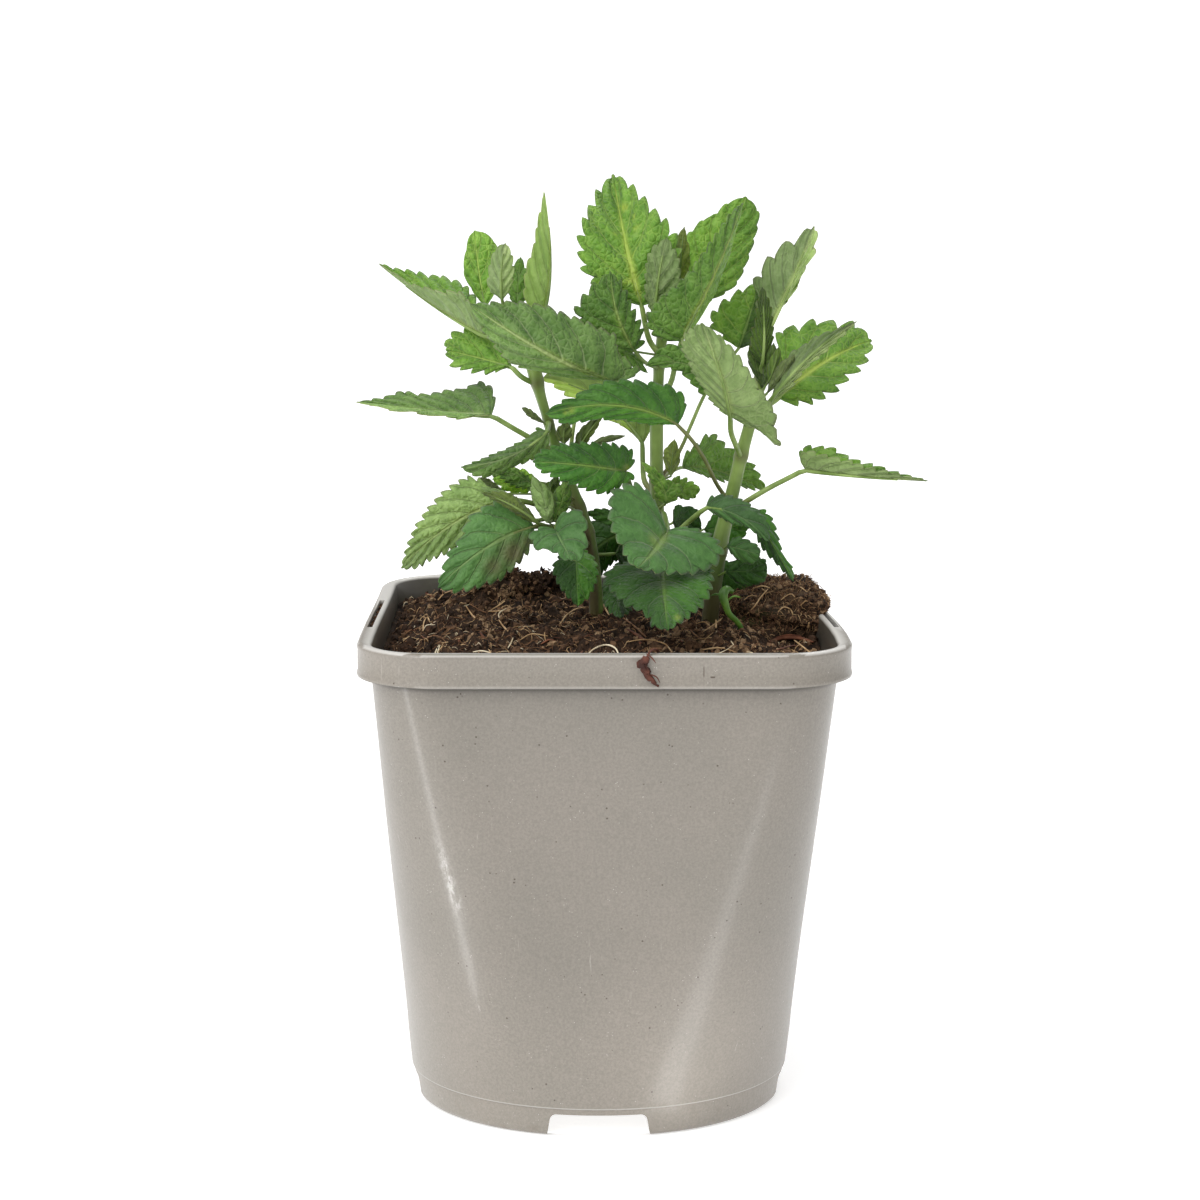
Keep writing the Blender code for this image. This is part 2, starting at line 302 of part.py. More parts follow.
def leaf_rings(leaf, gap=0.4, n_stalk=3,
               stations=(0.1, 0.2, 0.35, 0.5, 0.66, 0.82, 0.93)):
    """Six-point rings of a plain leaf solid: stalk, then the two half blades."""
    span = np.linalg.norm(at(*leaf[5]) - at(*leaf[3]))
    stalk_r = float(np.clip(0.045 * span, 0.4, 0.8))
    thick = float(np.clip(0.025 * span, 0.35, 0.6))
    s = np.array(stations)
    ea, mid = blade_edge(leaf, 0, s)
    ec, _ = blade_edge(leaf, 1, s)
    A, M, C = at_all(ea), at_all(mid), at_all(ec)
    B, T = at(*leaf[3]), at(*leaf[5])
    tang = unit(np.gradient(M, axis=0))
    na = unit(np.cross(A - M, tang))
    nc = unit(np.cross(tang, C - M))
    nm = unit(na + nc)
    rings = []
    base_n = nm[1]
    t0 = unit(M[1] - B)
    path = smooth_line(stalk_path(leaf, gap, stalk_r), np.linspace(0, 1, n_stalk + 1))
    # frames carried back down the stalk
    frames = []
    n = unit(base_n - t0 * (base_n @ t0))
    tl = t0
    for k in range(len(path) - 1, -1, -1):
        t = unit(path[min(k + 1, len(path) - 1)] - path[max(k - 1, 0)])
        n = unit(n - t * (n @ t))
        frames.append((path[k], t, n))
    frames.reverse()
    for k, (p, t, n) in enumerate(frames):
        side = np.cross(n, t)          # towards C
        r = stalk_r * (1.0 if k < len(frames) - 1 else 0.9)
        ring = []
        for a in (150, 90, 30, -30, -90, -150):
            a = np.radians(a)
            ring.append(p + r * (np.cos(a) * side + np.sin(a) * n))
        rings.append(np.array(ring))
    h = thick / 2
    for k in range(len(s)):
        hm = h * (1.4 - 0.6 * s[k])
        rings.append(np.array([A[k] + na[k] * h, M[k] + nm[k] * hm, C[k] + nc[k] * h,
                               C[k] - nc[k] * h, M[k] - nm[k] * hm, A[k] - na[k] * h]))
    return rings, T


def ring_mesh(rings, tip):
    """Vertices and faces of a closed loft: flat start, faces between rings, point."""
    n = len(rings[0])
    v = np.vstack(rings + [tip[None, :]])
    f = []
    for k in range(len(rings) - 1):
        a, b = k * n, (k + 1) * n
        for i in range(n):
            j = (i + 1) % n
            # the same diagonal above and below keeps the sheet's thickness
            p, q = n - 1 - i, n - 1 - j
            one = np.linalg.norm(v[a + i] - v[b + j]) + np.linalg.norm(v[a + p] - v[b + q])
            two = np.linalg.norm(v[a + j] - v[b + i]) + np.linalg.norm(v[a + q] - v[b + p])
            if one <= two:
                f += [(a + i, a + j, b + j), (a + i, b + j, b + i)]
            else:
                f += [(a + i, a + j, b + i), (a + j, b + j, b + i)]
    last = (len(rings) - 1) * n
    for i in range(n):
        f.append((last + i, last + (i + 1) % n, len(v) - 1))
    f.append(tuple(range(n - 1, -1, -1)))
    return v, f


# ---------------------------------------------------------------- soil surface
def ease(a, b, v):
    t = np.clip((np.asarray(v, float) - a) / (b - a), 0.0, 1.0)
    return t * t * (3 - 2 * t)


def pinch(x, y, z):
    """The thin pot gives a little at the back, most on the right."""
    t = ease(-45, 50, y) * ease(10, 133, z)
    return np.where(x > 0, x * (1 - 0.115 * t), x * (1 - 0.03 * t))


def lean(z):
    return RIM_X * np.clip((np.asarray(z, float) - FOOT_H) / (124.0 - FOOT_H), 0, 1)


def soil_top(x, y):
    """Height of the soil at a place seen from above, rim centre at x = 0."""
    x, y = np.asarray(x, float), np.asarray(y, float)
    u = np.maximum(abs(x), abs(y)) / 60.0
    h = 130.3 + 0.03 * y - 4.6 * ease(0.55, 1.0, u)
    h = h + 5.5 * np.exp(-((x + 28) / 9.5) ** 2 - ((y - 36) / 11.0) ** 2)
    h = h + 6.5 * np.exp(-((x + 17) / 5.0) ** 2 - ((y - 34) / 6.5) ** 2)
    h = h + 3.0 * np.exp(-((x - 12) / 14.0) ** 2 - ((y - 36) / 12.0) ** 2)
    h = h - 3.0 * np.exp(-((x - 46) / 11.0) ** 2 - ((y + 22) / 10.0) ** 2)
    return h + 0.7 * np.sin(x / 6.5 + 1.0) * np.cos(y / 5.5) * (1 - ease(0.8, 1.0, u))


# ---------------------------------------------------------------- pot
ARC = 10                 # steps in each rounded corner


def square_ring(half, corner, z, turn=None):
    """Rounded square, counter-clockwise from the front right corner."""
    corner = min(corner, half - 0.7)
    pts = []
    for q, (sx, sy) in enumerate(((1, -1), (1, 1), (-1, 1), (-1, -1))):
        for k in range(ARC + 1):
            a = math.radians(-90 + 90 * q + 90.0 * k / ARC)
            pts.append((sx * (half - corner) + corner * math.cos(a),
                        sy * (half - corner) + corner * math.sin(a)))
    p = np.array(pts)
    x = pinch(p[:, 0], p[:, 1], z) + lean(z)
    return np.column_stack([x, p[:, 1], np.full(len(p), float(z))])


def body_half(z):
    return FOOT_R + (BODY_TOP_HALF - FOOT_R) * (z - FOOT_H) / (124.0 - FOOT_H)


def body_corner(z):
    return (FOOT_R - 0.7) + (BODY_TOP_CORNER - FOOT_R + 0.7) * (z - FOOT_H) / (124.0 - FOOT_H)


def body_ring(z, inset):
    return square_ring(body_half(z) - inset, max(body_corner(z) - inset, 2), z)


def loft(rings, cap_start=True, cap_end=True, wrap=False):
    n = len(rings[0])
    v = np.vstack(rings)
    f = []
    for k in range(len(rings) if wrap else len(rings) - 1):
        a, b = k * n, ((k + 1) % len(rings)) * n
        for i in range(n):
            j = (i + 1) % n
            f.append((a + i, a + j, b + j, b + i))
    if cap_start and not wrap:
        f.append(tuple(range(n - 1, -1, -1)))
    if cap_end and not wrap:
        last = (len(rings) - 1) * n
        f.append(tuple(last + i for i in range(n)))
    return v, f


def pot_rings():
    under = RIM_TOP - 1.3
    r = [square_ring(49.3, 48.6, 0.0), square_ring(49.7, 49.0, 0.4),
         square_ring(50.9, 50.2, 7.6), square_ring(FOOT_R, FOOT_R - 0.7, 8.1)]
    r += [body_ring(z, 0.0) for z in (24, 44, 64, 84, 104, 124, under)]
    r += [square_ring(RIM_HALF - 1.3, RIM_CORNER - 1.3, under),
          square_ring(RIM_HALF - 1.3, RIM_CORNER - 1.3, RIM_TOP - BAND),
          square_ring(RIM_HALF - 0.3, RIM_CORNER - 0.3, RIM_TOP - BAND),
          square_ring(RIM_HALF, RIM_CORNER, RIM_TOP - BAND + 0.4),
          square_ring(RIM_HALF, RIM_CORNER, RIM_TOP - 0.9),
          square_ring(RIM_HALF - 0.3, RIM_CORNER - 0.3, RIM_TOP - 0.25),
          square_ring(RIM_HALF - 1.0, RIM_CORNER - 1.0, RIM_TOP),
          square_ring(body_half(133) - 0.5, body_corner(133) - 0.5, RIM_TOP)]
    r += [body_ring(z, WALL) for z in (132.4, 124, 104, 84, 64, 44, 24)]
    r += [body_ring(FOOT_H + 1.6, WALL), square_ring(48.9, 48.2, 7.2),
          square_ring(48.6, 47.9, FLOOR_T)]
    return r


def channel_plan(half, inner, radius, turn, z):
    """Plan of a drain channel: straight sides, its outer end an arc."""
    a1 = math.asin(half / radius)
    pts = [(-half, -inner), (half, -inner)]
    pts += [(radius * math.sin(a), -radius * math.cos(a)) for a in np.linspace(a1, -a1, 7)]
    c, s = math.cos(turn), math.sin(turn)
    return np.array([(c * x - s * y, s * x + c * y, z) for x, y in pts])


# ---------------------------------------------------------------- Blender helpers
parts = bpy.data.collections.new(NAME)
bpy.context.scene.collection.children.link(parts)
cutters = bpy.data.collections.new("cutters")
bpy.context.scene.collection.children.link(cutters)

TONES = {
    "pot": ((0.38, 0.36, 0.33), 0.45), "soil": ((0.05, 0.03, 0.02), 0.95),
    "moss": ((0.11, 0.08, 0.04), 0.95), "stem": ((0.30, 0.42, 0.11), 0.5),
    "stem_brown": ((0.16, 0.13, 0.06), 0.6), "bark": ((0.20, 0.09, 0.05), 0.8),
    "bright": ((0.16, 0.36, 0.06), 0.5), "mid": ((0.09, 0.25, 0.06), 0.5),
    "lime": ((0.14, 0.28, 0.08), 0.5), "dark": ((0.03, 0.12, 0.03), 0.5),
    "blue": ((0.04, 0.16, 0.08), 0.5), "grey": ((0.12, 0.24, 0.09), 0.55),
    "pale": ((0.28, 0.38, 0.18), 0.6), "brown": ((0.16, 0.16, 0.07), 0.6),
    "olive": ((0.14, 0.20, 0.05), 0.5),
}


def material(tone):
    m = bpy.data.materials.get(tone)
    if m is None:
        m = bpy.data.materials.new(tone)
        m.use_nodes = True
        b = m.node_tree.nodes["Principled BSDF"]
        c, rough = TONES[tone]
        b.inputs["Base Color"].default_value = (*c, 1.0)
        b.inputs["Roughness"].default_value = rough
        b.inputs["Metallic"].default_value = 0.0
    return m


def solid(name, v, f, tone=None, where=None):
    me = bpy.data.meshes.new(name)
    me.from_pydata([tuple(p * 0.001) for p in np.asarray(v, float)], [], f)
    bm = bmesh.new()
    bm.from_mesh(me)
    bmesh.ops.recalc_face_normals(bm, faces=bm.faces)
    bm.to_mesh(me)
    bm.free()
    ob = bpy.data.objects.new(name, me)
    (where or parts).objects.link(ob)
    if tone:
        me.materials.append(material(tone))
        me.shade_smooth()
        me.set_sharp_from_angle(angle=math.radians(40))
    else:
        ob.hide_render = True
        ob.display_type = "WIRE"
    return ob


def cut(ob, cutter):
    m = ob.modifiers.new("cut", "BOOLEAN")
    m.operation = "DIFFERENCE"
    m.solver = "EXACT"
    m.object = cutter


def cylinder_cutter(name, x, y, z0, z1, r):
    bm = bmesh.new()
    bmesh.ops.create_cone(bm, cap_ends=True, segments=12, radius1=r * 0.001,
                          radius2=r * 0.001, depth=(z1 - z0) * 0.001)
    me = bpy.data.meshes.new(name)
    bm.to_mesh(me)
    bm.free()
    ob = bpy.data.objects.new(name, me)
    ob.location = (x * 0.001, y * 0.001, (z0 + z1) * 0.0005)
    ob.hide_render = True
    ob.display_type = "WIRE"
    cutters.objects.link(ob)
    return ob


def tube(axis, radii, n=10, extra=0.0):
    """Closed round loft round an axis, used for the sockets in the soil."""
    rings = []
    for k in range(len(axis)):
        t = unit(axis[min(k + 1, len(axis) - 1)] - axis[max(k - 1, 0)])
        a = unit(np.cross(t, (0, 1, 0)))
        b = np.cross(t, a)
        ang = np.linspace(0, 2 * np.pi, n, endpoint=False)[:, None]
        rings.append(axis[k] + (radii[k] + extra) * (np.cos(ang) * a + np.sin(ang) * b))
    return loft(rings)


def stem_object(name, axis, radii, tone):
    cu = bpy.data.curves.new(name, "CURVE")
    cu.dimensions = "3D"
    cu.bevel_depth = 0.001
    cu.bevel_resolution = 2
    cu.use_fill_caps = True
    sp = cu.splines.new("POLY")
    sp.points.add(len(axis) - 1)
    for i, p in enumerate(axis):
        sp.points[i].co = (*(p * 0.001), 1.0)
        sp.points[i].radius = float(radii[i])
    cu.materials.append(material(tone))
    ob = bpy.data.objects.new(name, cu)
    parts.objects.link(ob)
    return ob


# ---------------------------------------------------------------- pot
pot = solid("nursery_pot", *loft(pot_rings()), tone="pot")
for i in range(4):                       # roofs and walls of the drain channels
    turn = math.radians(90 * i)
    shell = solid("channel_%d" % i, *loft([
        channel_plan(NOTCH_W / 2 + WALL, NOTCH_IN - WALL, 49.2, turn, z) for z in (0.5, NOTCH_H + WALL)]),
        where=cutters)
    m = pot.modifiers.new("join", "BOOLEAN")
    m.operation = "UNION"
    m.solver = "EXACT"
    m.object = shell
for i in range(4):                       # the channels, which notch the foot
    bm = bmesh.new()
    bmesh.ops.create_cube(bm, size=1.0)
    bmesh.ops.scale(bm, vec=(NOTCH_W * 0.001, 0.034, 2 * NOTCH_H * 0.001), verts=bm.verts)
    edges = [e for e in bm.edges if abs(e.verts[0].co.x - e.verts[1].co.x) < 1e-6
             and abs(e.verts[0].co.z - e.verts[1].co.z) < 1e-6]
    bmesh.ops.bevel(bm, geom=edges, offset=0.0012, segments=2, profile=0.5, affect="EDGES")
    me = bpy.data.meshes.new("notch_%d" % i)
    bm.to_mesh(me)
    bm.free()
    nb = bpy.data.objects.new("notch_%d" % i, me)
    a = math.radians(90 * i)
    mid = (NOTCH_IN + 17.0) * 0.001
    nb.location = (mid * math.sin(a), -mid * math.cos(a), 0.0)
    nb.rotation_euler = (0, 0, a)
    nb.hide_render = True
    nb.display_type = "WIRE"
    cutters.objects.link(nb)
    cut(pot, nb)
for i in range(12):                      # drain holes in the channels' roofs
    a = math.radians(90 * (i % 4))
    rr = (30.5, 36.5, 42.5)[i // 4]
    cut(pot, cylinder_cutter("drain_%d" % i, rr * math.cos(a), rr * math.sin(a), 4, 10, 1.9))
for side in (-1, 1):                     # hand slots in the flange
    rings = []
    for y in np.linspace(SLOT_Y[0], SLOT_Y[1], 7):
        xi, xo = side * 62.15, side * 63.55
        x0, x1 = pinch(xi, y, 133) + RIM_X, pinch(xo, y, 133) + RIM_X
        rings.append(np.array([(x0, y, 130.5), (x1, y, 130.5), (x1, y, 135), (x0, y, 135)]))
    cut(pot, solid("slot_%s" % ("left" if side < 0 else "right"), *loft(rings), where=cutters))

# ---------------------------------------------------------------- stems
stems = {}
for name in STEMS:
    axis, rad = stem_axis(name, 22)
    stems[name] = (axis, rad)
    stem_object(name, axis, rad, "stem")

SEEDLING = [(37.2, 118.5, -12), (36.6, 127.5, -12), (35.2, 130.2, -12.5), (33.0, 132.4, -13),
            (31.9, 135.2, -13), (31.3, 137.8, -12.5), (32.3, 139.3, -11.5), (33.8, 138.6, -10.8)]
sl = smooth_line([list(p) for p in SEEDLING], np.linspace(0, 1, 12))
seed_axis = at_all(sl)
seed_r = np.array([0.6, 0.6, 0.65, 0.7, 0.75, 0.8, 0.85, 0.9, 1.1, 1.4, 1.4, 0.8])
stem_object("seedling", seed_axis, seed_r, "bright")

# ---------------------------------------------------------------- soil
inner = [square_ring(48.6 - GAP, 47.9 - GAP, FLOOR_T + GAP), square_ring(48.9 - GAP, 48.2 - GAP, 7.2)]
inner += [body_ring(z, WALL + GAP) for z in (FOOT_H + 1.8, 30, 55, 80, 105)]
rim = body_ring(124.5, WALL + GAP)
rim[:, 2] = soil_top(rim[:, 0] - RIM_X, rim[:, 1])
rings = inner + [rim]
for s in (0.92, 0.82, 0.7, 0.57, 0.44, 0.31, 0.18, 0.07):
    r = rim.copy()
    r[:, 0] = (rim[:, 0] - RIM_X) * s + RIM_X
    r[:, 1] = rim[:, 1] * s
    r[:, 2] = soil_top(r[:, 0] - RIM_X, r[:, 1])
    rings.append(r)
soil = solid("potting_soil", *loft(rings), tone="soil")
for i in range(4):
    cut(soil, solid("channel_room_%d" % i, *loft([
        channel_plan(NOTCH_W / 2 + WALL + GAP, NOTCH_IN - WALL - GAP, 52.0, math.radians(90 * i), z)
        for z in (-1.0, NOTCH_H + WALL + GAP)]), where=cutters))
for name, (axis, rad) in list(stems.items()) + [("seedling", (seed_axis, seed_r))]:
    k = min(len(axis), 9)
    ax = np.vstack([axis[0] - unit(axis[1] - axis[0]) * GAP, axis[1:k]])
    v, f = tube(ax, rad[:k], 10, GAP + 0.12)
    cut(soil, solid(name + "_socket", v, f, where=cutters))

# ---------------------------------------------------------------- peat clump
CLUMP_C = np.array([52.2, 12.0, 131.4])
CLUMP_R = np.array([11.2, 27.0, 8.6])


def clump_mesh(grow):
    bm = bmesh.new()
    bmesh.ops.create_icosphere(bm, subdivisions=3, radius=1.0)
    for v in bm.verts:
        n = np.array(v.co)
        wob = 1 + 0.07 * math.sin(5 * n[0] + 2) * math.cos(6 * n[1] + 1) + 0.05 * math.sin(9 * n[2] + 4 * n[0])
        sq = (abs(n[0]) ** 2.6 + abs(n[1]) ** 2.6 + abs(n[2]) ** 2.6) ** (-1 / 2.6)
        p = n * sq * wob * (CLUMP_R + grow)
        p[0] = p[0] - 0.13 * p[1]
        v.co = Vector(tuple((p + CLUMP_C) * 0.001))
    me = bpy.data.meshes.new("clump")
    bm.to_mesh(me)
    bm.free()
    return me


clump = bpy.data.objects.new("peat_clump", clump_mesh(0.0))
parts.objects.link(clump)
clump.data.materials.append(material("moss"))
clump.data.shade_smooth()
bed = bpy.data.objects.new("clump_bed", clump_mesh(0.6))
bed.hide_render = True
bed.display_type = "WIRE"
cutters.objects.link(bed)
cut(soil, bed)
wall = [body_ring(100, WALL + GAP), body_ring(133, WALL + GAP + 0.05)]
wall[1][:, 2] = RIM_TOP + GAP
ring_in = wall[1].copy()
out_hi = square_ring(RIM_HALF + 6, RIM_CORNER + 6, RIM_TOP)
out_hi[:, 2] = RIM_TOP + GAP
out_lo = square_ring(RIM_HALF + 6, RIM_CORNER + 6, 100)
cut(clump, solid("clump_wall", *loft([wall[0], ring_in, out_hi, out_lo], wrap=True), where=cutters))

# ---------------------------------------------------------------- bark shred over the rim
SHRED = [(15.6, -57.0, 130.6, 0.9), (14.8, -60.2, 133.9, 1.0), (13.6, -63.4, 134.0, 1.3), (12.3, -65.6, 133.1, 1.5),
         (11.6, -66.0, 131.2, 1.6), (12.2, -66.0, 128.9, 1.5), (13.7, -66.0, 127.0, 1.2), (15.4, -65.9, 125.3, 0.7)]
rings = []
pts = np.array([p[:3] for p in SHRED])
for k, p in enumerate(pts):
    t = unit(pts[min(k + 1, len(pts) - 1)] - pts[max(k - 1, 0)])
    out = unit(np.array([0.0, -1.0, 1.0]) if k < 3 else np.array([0.0, -1.0, 0.15]))
    out = unit(out - t * (out @ t))
    side = np.cross(t, out)
    w = SHRED[k][3]
    rings.append(np.array([p - side * w - out * 0.2, p + side * w - out * 0.2,
                           p + side * w + out * 0.25, p - side * w + out * 0.25]))
solid("bark_shred", *loft(rings), tone="bark")

# ---------------------------------------------------------------- leaves
for name, leaf in LEAVES.items():
    rings, tip = leaf_rings(leaf)
    v, f = ring_mesh(rings, tip)
    solid(name, v, f, tone=leaf[11])
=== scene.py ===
"""Looks of the potted giant hyssop: every leaf, stem, the soil and the pot are
modelled again in fine detail round the fixed frame.  Drawn in millimetres."""
import math

import bmesh
import bpy
import numpy as np
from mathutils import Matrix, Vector, noise


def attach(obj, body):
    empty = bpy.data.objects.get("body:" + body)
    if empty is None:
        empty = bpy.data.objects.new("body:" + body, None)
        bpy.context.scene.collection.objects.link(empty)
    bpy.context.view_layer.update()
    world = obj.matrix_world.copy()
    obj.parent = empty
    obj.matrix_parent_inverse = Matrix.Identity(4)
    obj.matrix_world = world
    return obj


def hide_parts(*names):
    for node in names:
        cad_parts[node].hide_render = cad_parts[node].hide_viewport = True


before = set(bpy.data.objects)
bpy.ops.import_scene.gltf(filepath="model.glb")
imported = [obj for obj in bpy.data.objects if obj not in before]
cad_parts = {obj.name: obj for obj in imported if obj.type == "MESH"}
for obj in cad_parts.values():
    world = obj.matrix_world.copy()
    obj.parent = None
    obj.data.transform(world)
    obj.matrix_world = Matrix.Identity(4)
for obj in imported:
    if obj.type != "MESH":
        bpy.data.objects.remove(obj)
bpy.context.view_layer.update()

# ---------------------------------------------------------------- dimensions, mm
RIM_HALF = 65.0
RIM_TOP = 133.0
BAND = 9.0
RIM_CORNER = 22.0
BODY_TOP_HALF = 61.2
BODY_TOP_CORNER = 18.0
FOOT_R = 51.6
FOOT_H = 8.0
WALL = 1.1
FLOOR_T = 1.2
NOTCH_W = 25.4
NOTCH_H = 6.2
NOTCH_IN = 26.0
SLOT_Y = (-23.5, 19.0)
RIM_X = 1.6
PLANT_X = 2.6
GAP = 0.4

# The plant is drawn on a front elevation: X across, Z up, both in the plane
# through the middle of the pot.  A third number is the drawn depth (minus is
# towards the viewer), which opened() turns into the real depth Y.  at() pushes
# the point there along the sight line from a viewing point about 1.1 m in front
# of the pot, so a drawn point keeps its place in the front view at any depth.
EYE = (-2.2, -1104.0, 325.0)


def opened(y):
    return np.where(np.asarray(y, float) < 0, 1.25, 2.2) * y


def at(x, z, y=0.0):
    y = float(opened(y))
    k = (y - EYE[1]) / -EYE[1]
    return np.array([EYE[0] + (x - EYE[0]) * k + PLANT_X, y, EYE[2] + (z - EYE[2]) * k])


def at_all(p):
    p = np.asarray(p, float)
    y = opened(p[..., 2])
    k = (y - EYE[1]) / -EYE[1]
    return np.stack([EYE[0] + (p[..., 0] - EYE[0]) * k + PLANT_X, y,
                     EYE[2] + (p[..., 1] - EYE[2]) * k], axis=-1)


def unit(v):
    v = np.asarray(v, float)
    n = np.linalg.norm(v, axis=-1, keepdims=True)
    return v / np.maximum(n, 1e-12)


def smooth_line(pts, s):
    """Centripetal Catmull-Rom curve through pts, read at s (0..1) by length."""
    p = np.asarray(pts, float)
    if len(p) == 2:
        return p[0] + (p[1] - p[0]) * np.asarray(s)[:, None]
    q = np.vstack([2 * p[0] - p[1], p, 2 * p[-1] - p[-2]])
    out = []
    for i in range(1, len(q) - 2):
        a, b, c, d = q[i - 1], q[i], q[i + 1], q[i + 2]
        t0 = 0.0
        t1 = t0 + max(np.linalg.norm(b - a) ** 0.5, 1e-6)
        t2 = t1 + max(np.linalg.norm(c - b) ** 0.5, 1e-6)
        t3 = t2 + max(np.linalg.norm(d - c) ** 0.5, 1e-6)
        for k in range(12):
            t = t1 + (t2 - t1) * k / 12.0
            a1 = (t1 - t) / (t1 - t0) * a + (t - t0) / (t1 - t0) * b
            a2 = (t2 - t) / (t2 - t1) * b + (t - t1) / (t2 - t1) * c
            a3 = (t3 - t) / (t3 - t2) * c + (t - t2) / (t3 - t2) * d
            b1 = (t2 - t) / (t2 - t0) * a1 + (t - t0) / (t2 - t0) * a2
            b2 = (t3 - t) / (t3 - t1) * a2 + (t - t1) / (t3 - t1) * a3
            out.append((t2 - t) / (t2 - t1) * b1 + (t - t1) / (t2 - t1) * b2)
    out.append(p[-1])
    out = np.array(out)
    ln = np.concatenate([[0], np.cumsum(np.linalg.norm(np.diff(out, axis=0), axis=1))])
    ln /= ln[-1]
    return np.stack([np.interp(s, ln, out[:, j]) for j in range(out.shape[1])], axis=-1)


# ---------------------------------------------------------------- stems
# (x, z, y, radius) up each stem, on the elevation.
STEMS = {
    "stem_center": [(14.8, 112, 2, 1.9), (14.5, 127, 2, 2.1), (14, 145, 1.5, 2.0), (13.3, 160, 1, 1.95),
                    (13.1, 172, 1, 1.85), (13.1, 184, 1, 1.85), (13.5, 195, 1, 1.5),
                    (14, 204, 1, 1.5), (15.5, 213, 2, 1.3), (17.3, 219, 3, 0.9)],
    "stem_left": [(-2.5, 112, 4, 1.8), (-3, 128, 4, 2.0), (-3.8, 143, 4, 2.0), (-5.8, 155, 3.5, 2.0),
                  (-9.3, 165, 3, 1.9), (-13.5, 176, 2, 1.6), (-16.4, 186, 1, 1.35),
                  (-18.2, 192, 0.5, 1.5), (-19.7, 198, 0, 1.9), (-21.5, 205, 0, 2.1),
                  (-23.2, 212, 0, 1.3)],
    "stem_right": [(26.8, 112, -2, 2.0), (27.5, 127, -2, 2.3), (28.7, 140, -3, 2.25), (30.6, 153, -4, 2.2),
                   (33.4, 164.5, -5, 1.9), (35.9, 175.5, -6, 1.75), (38.4, 185, -6, 1.6),
                   (40.2, 193, -5, 1.6), (41.3, 199, -4, 1.4), (42.2, 205, -3, 1.0)],
}


def stem_axis(name, n=60):
    """Real axis points and radii of a stem."""
    c = smooth_line(STEMS[name], np.linspace(0, 1, n))
    return at_all(c[:, :3]), c[:, 3]


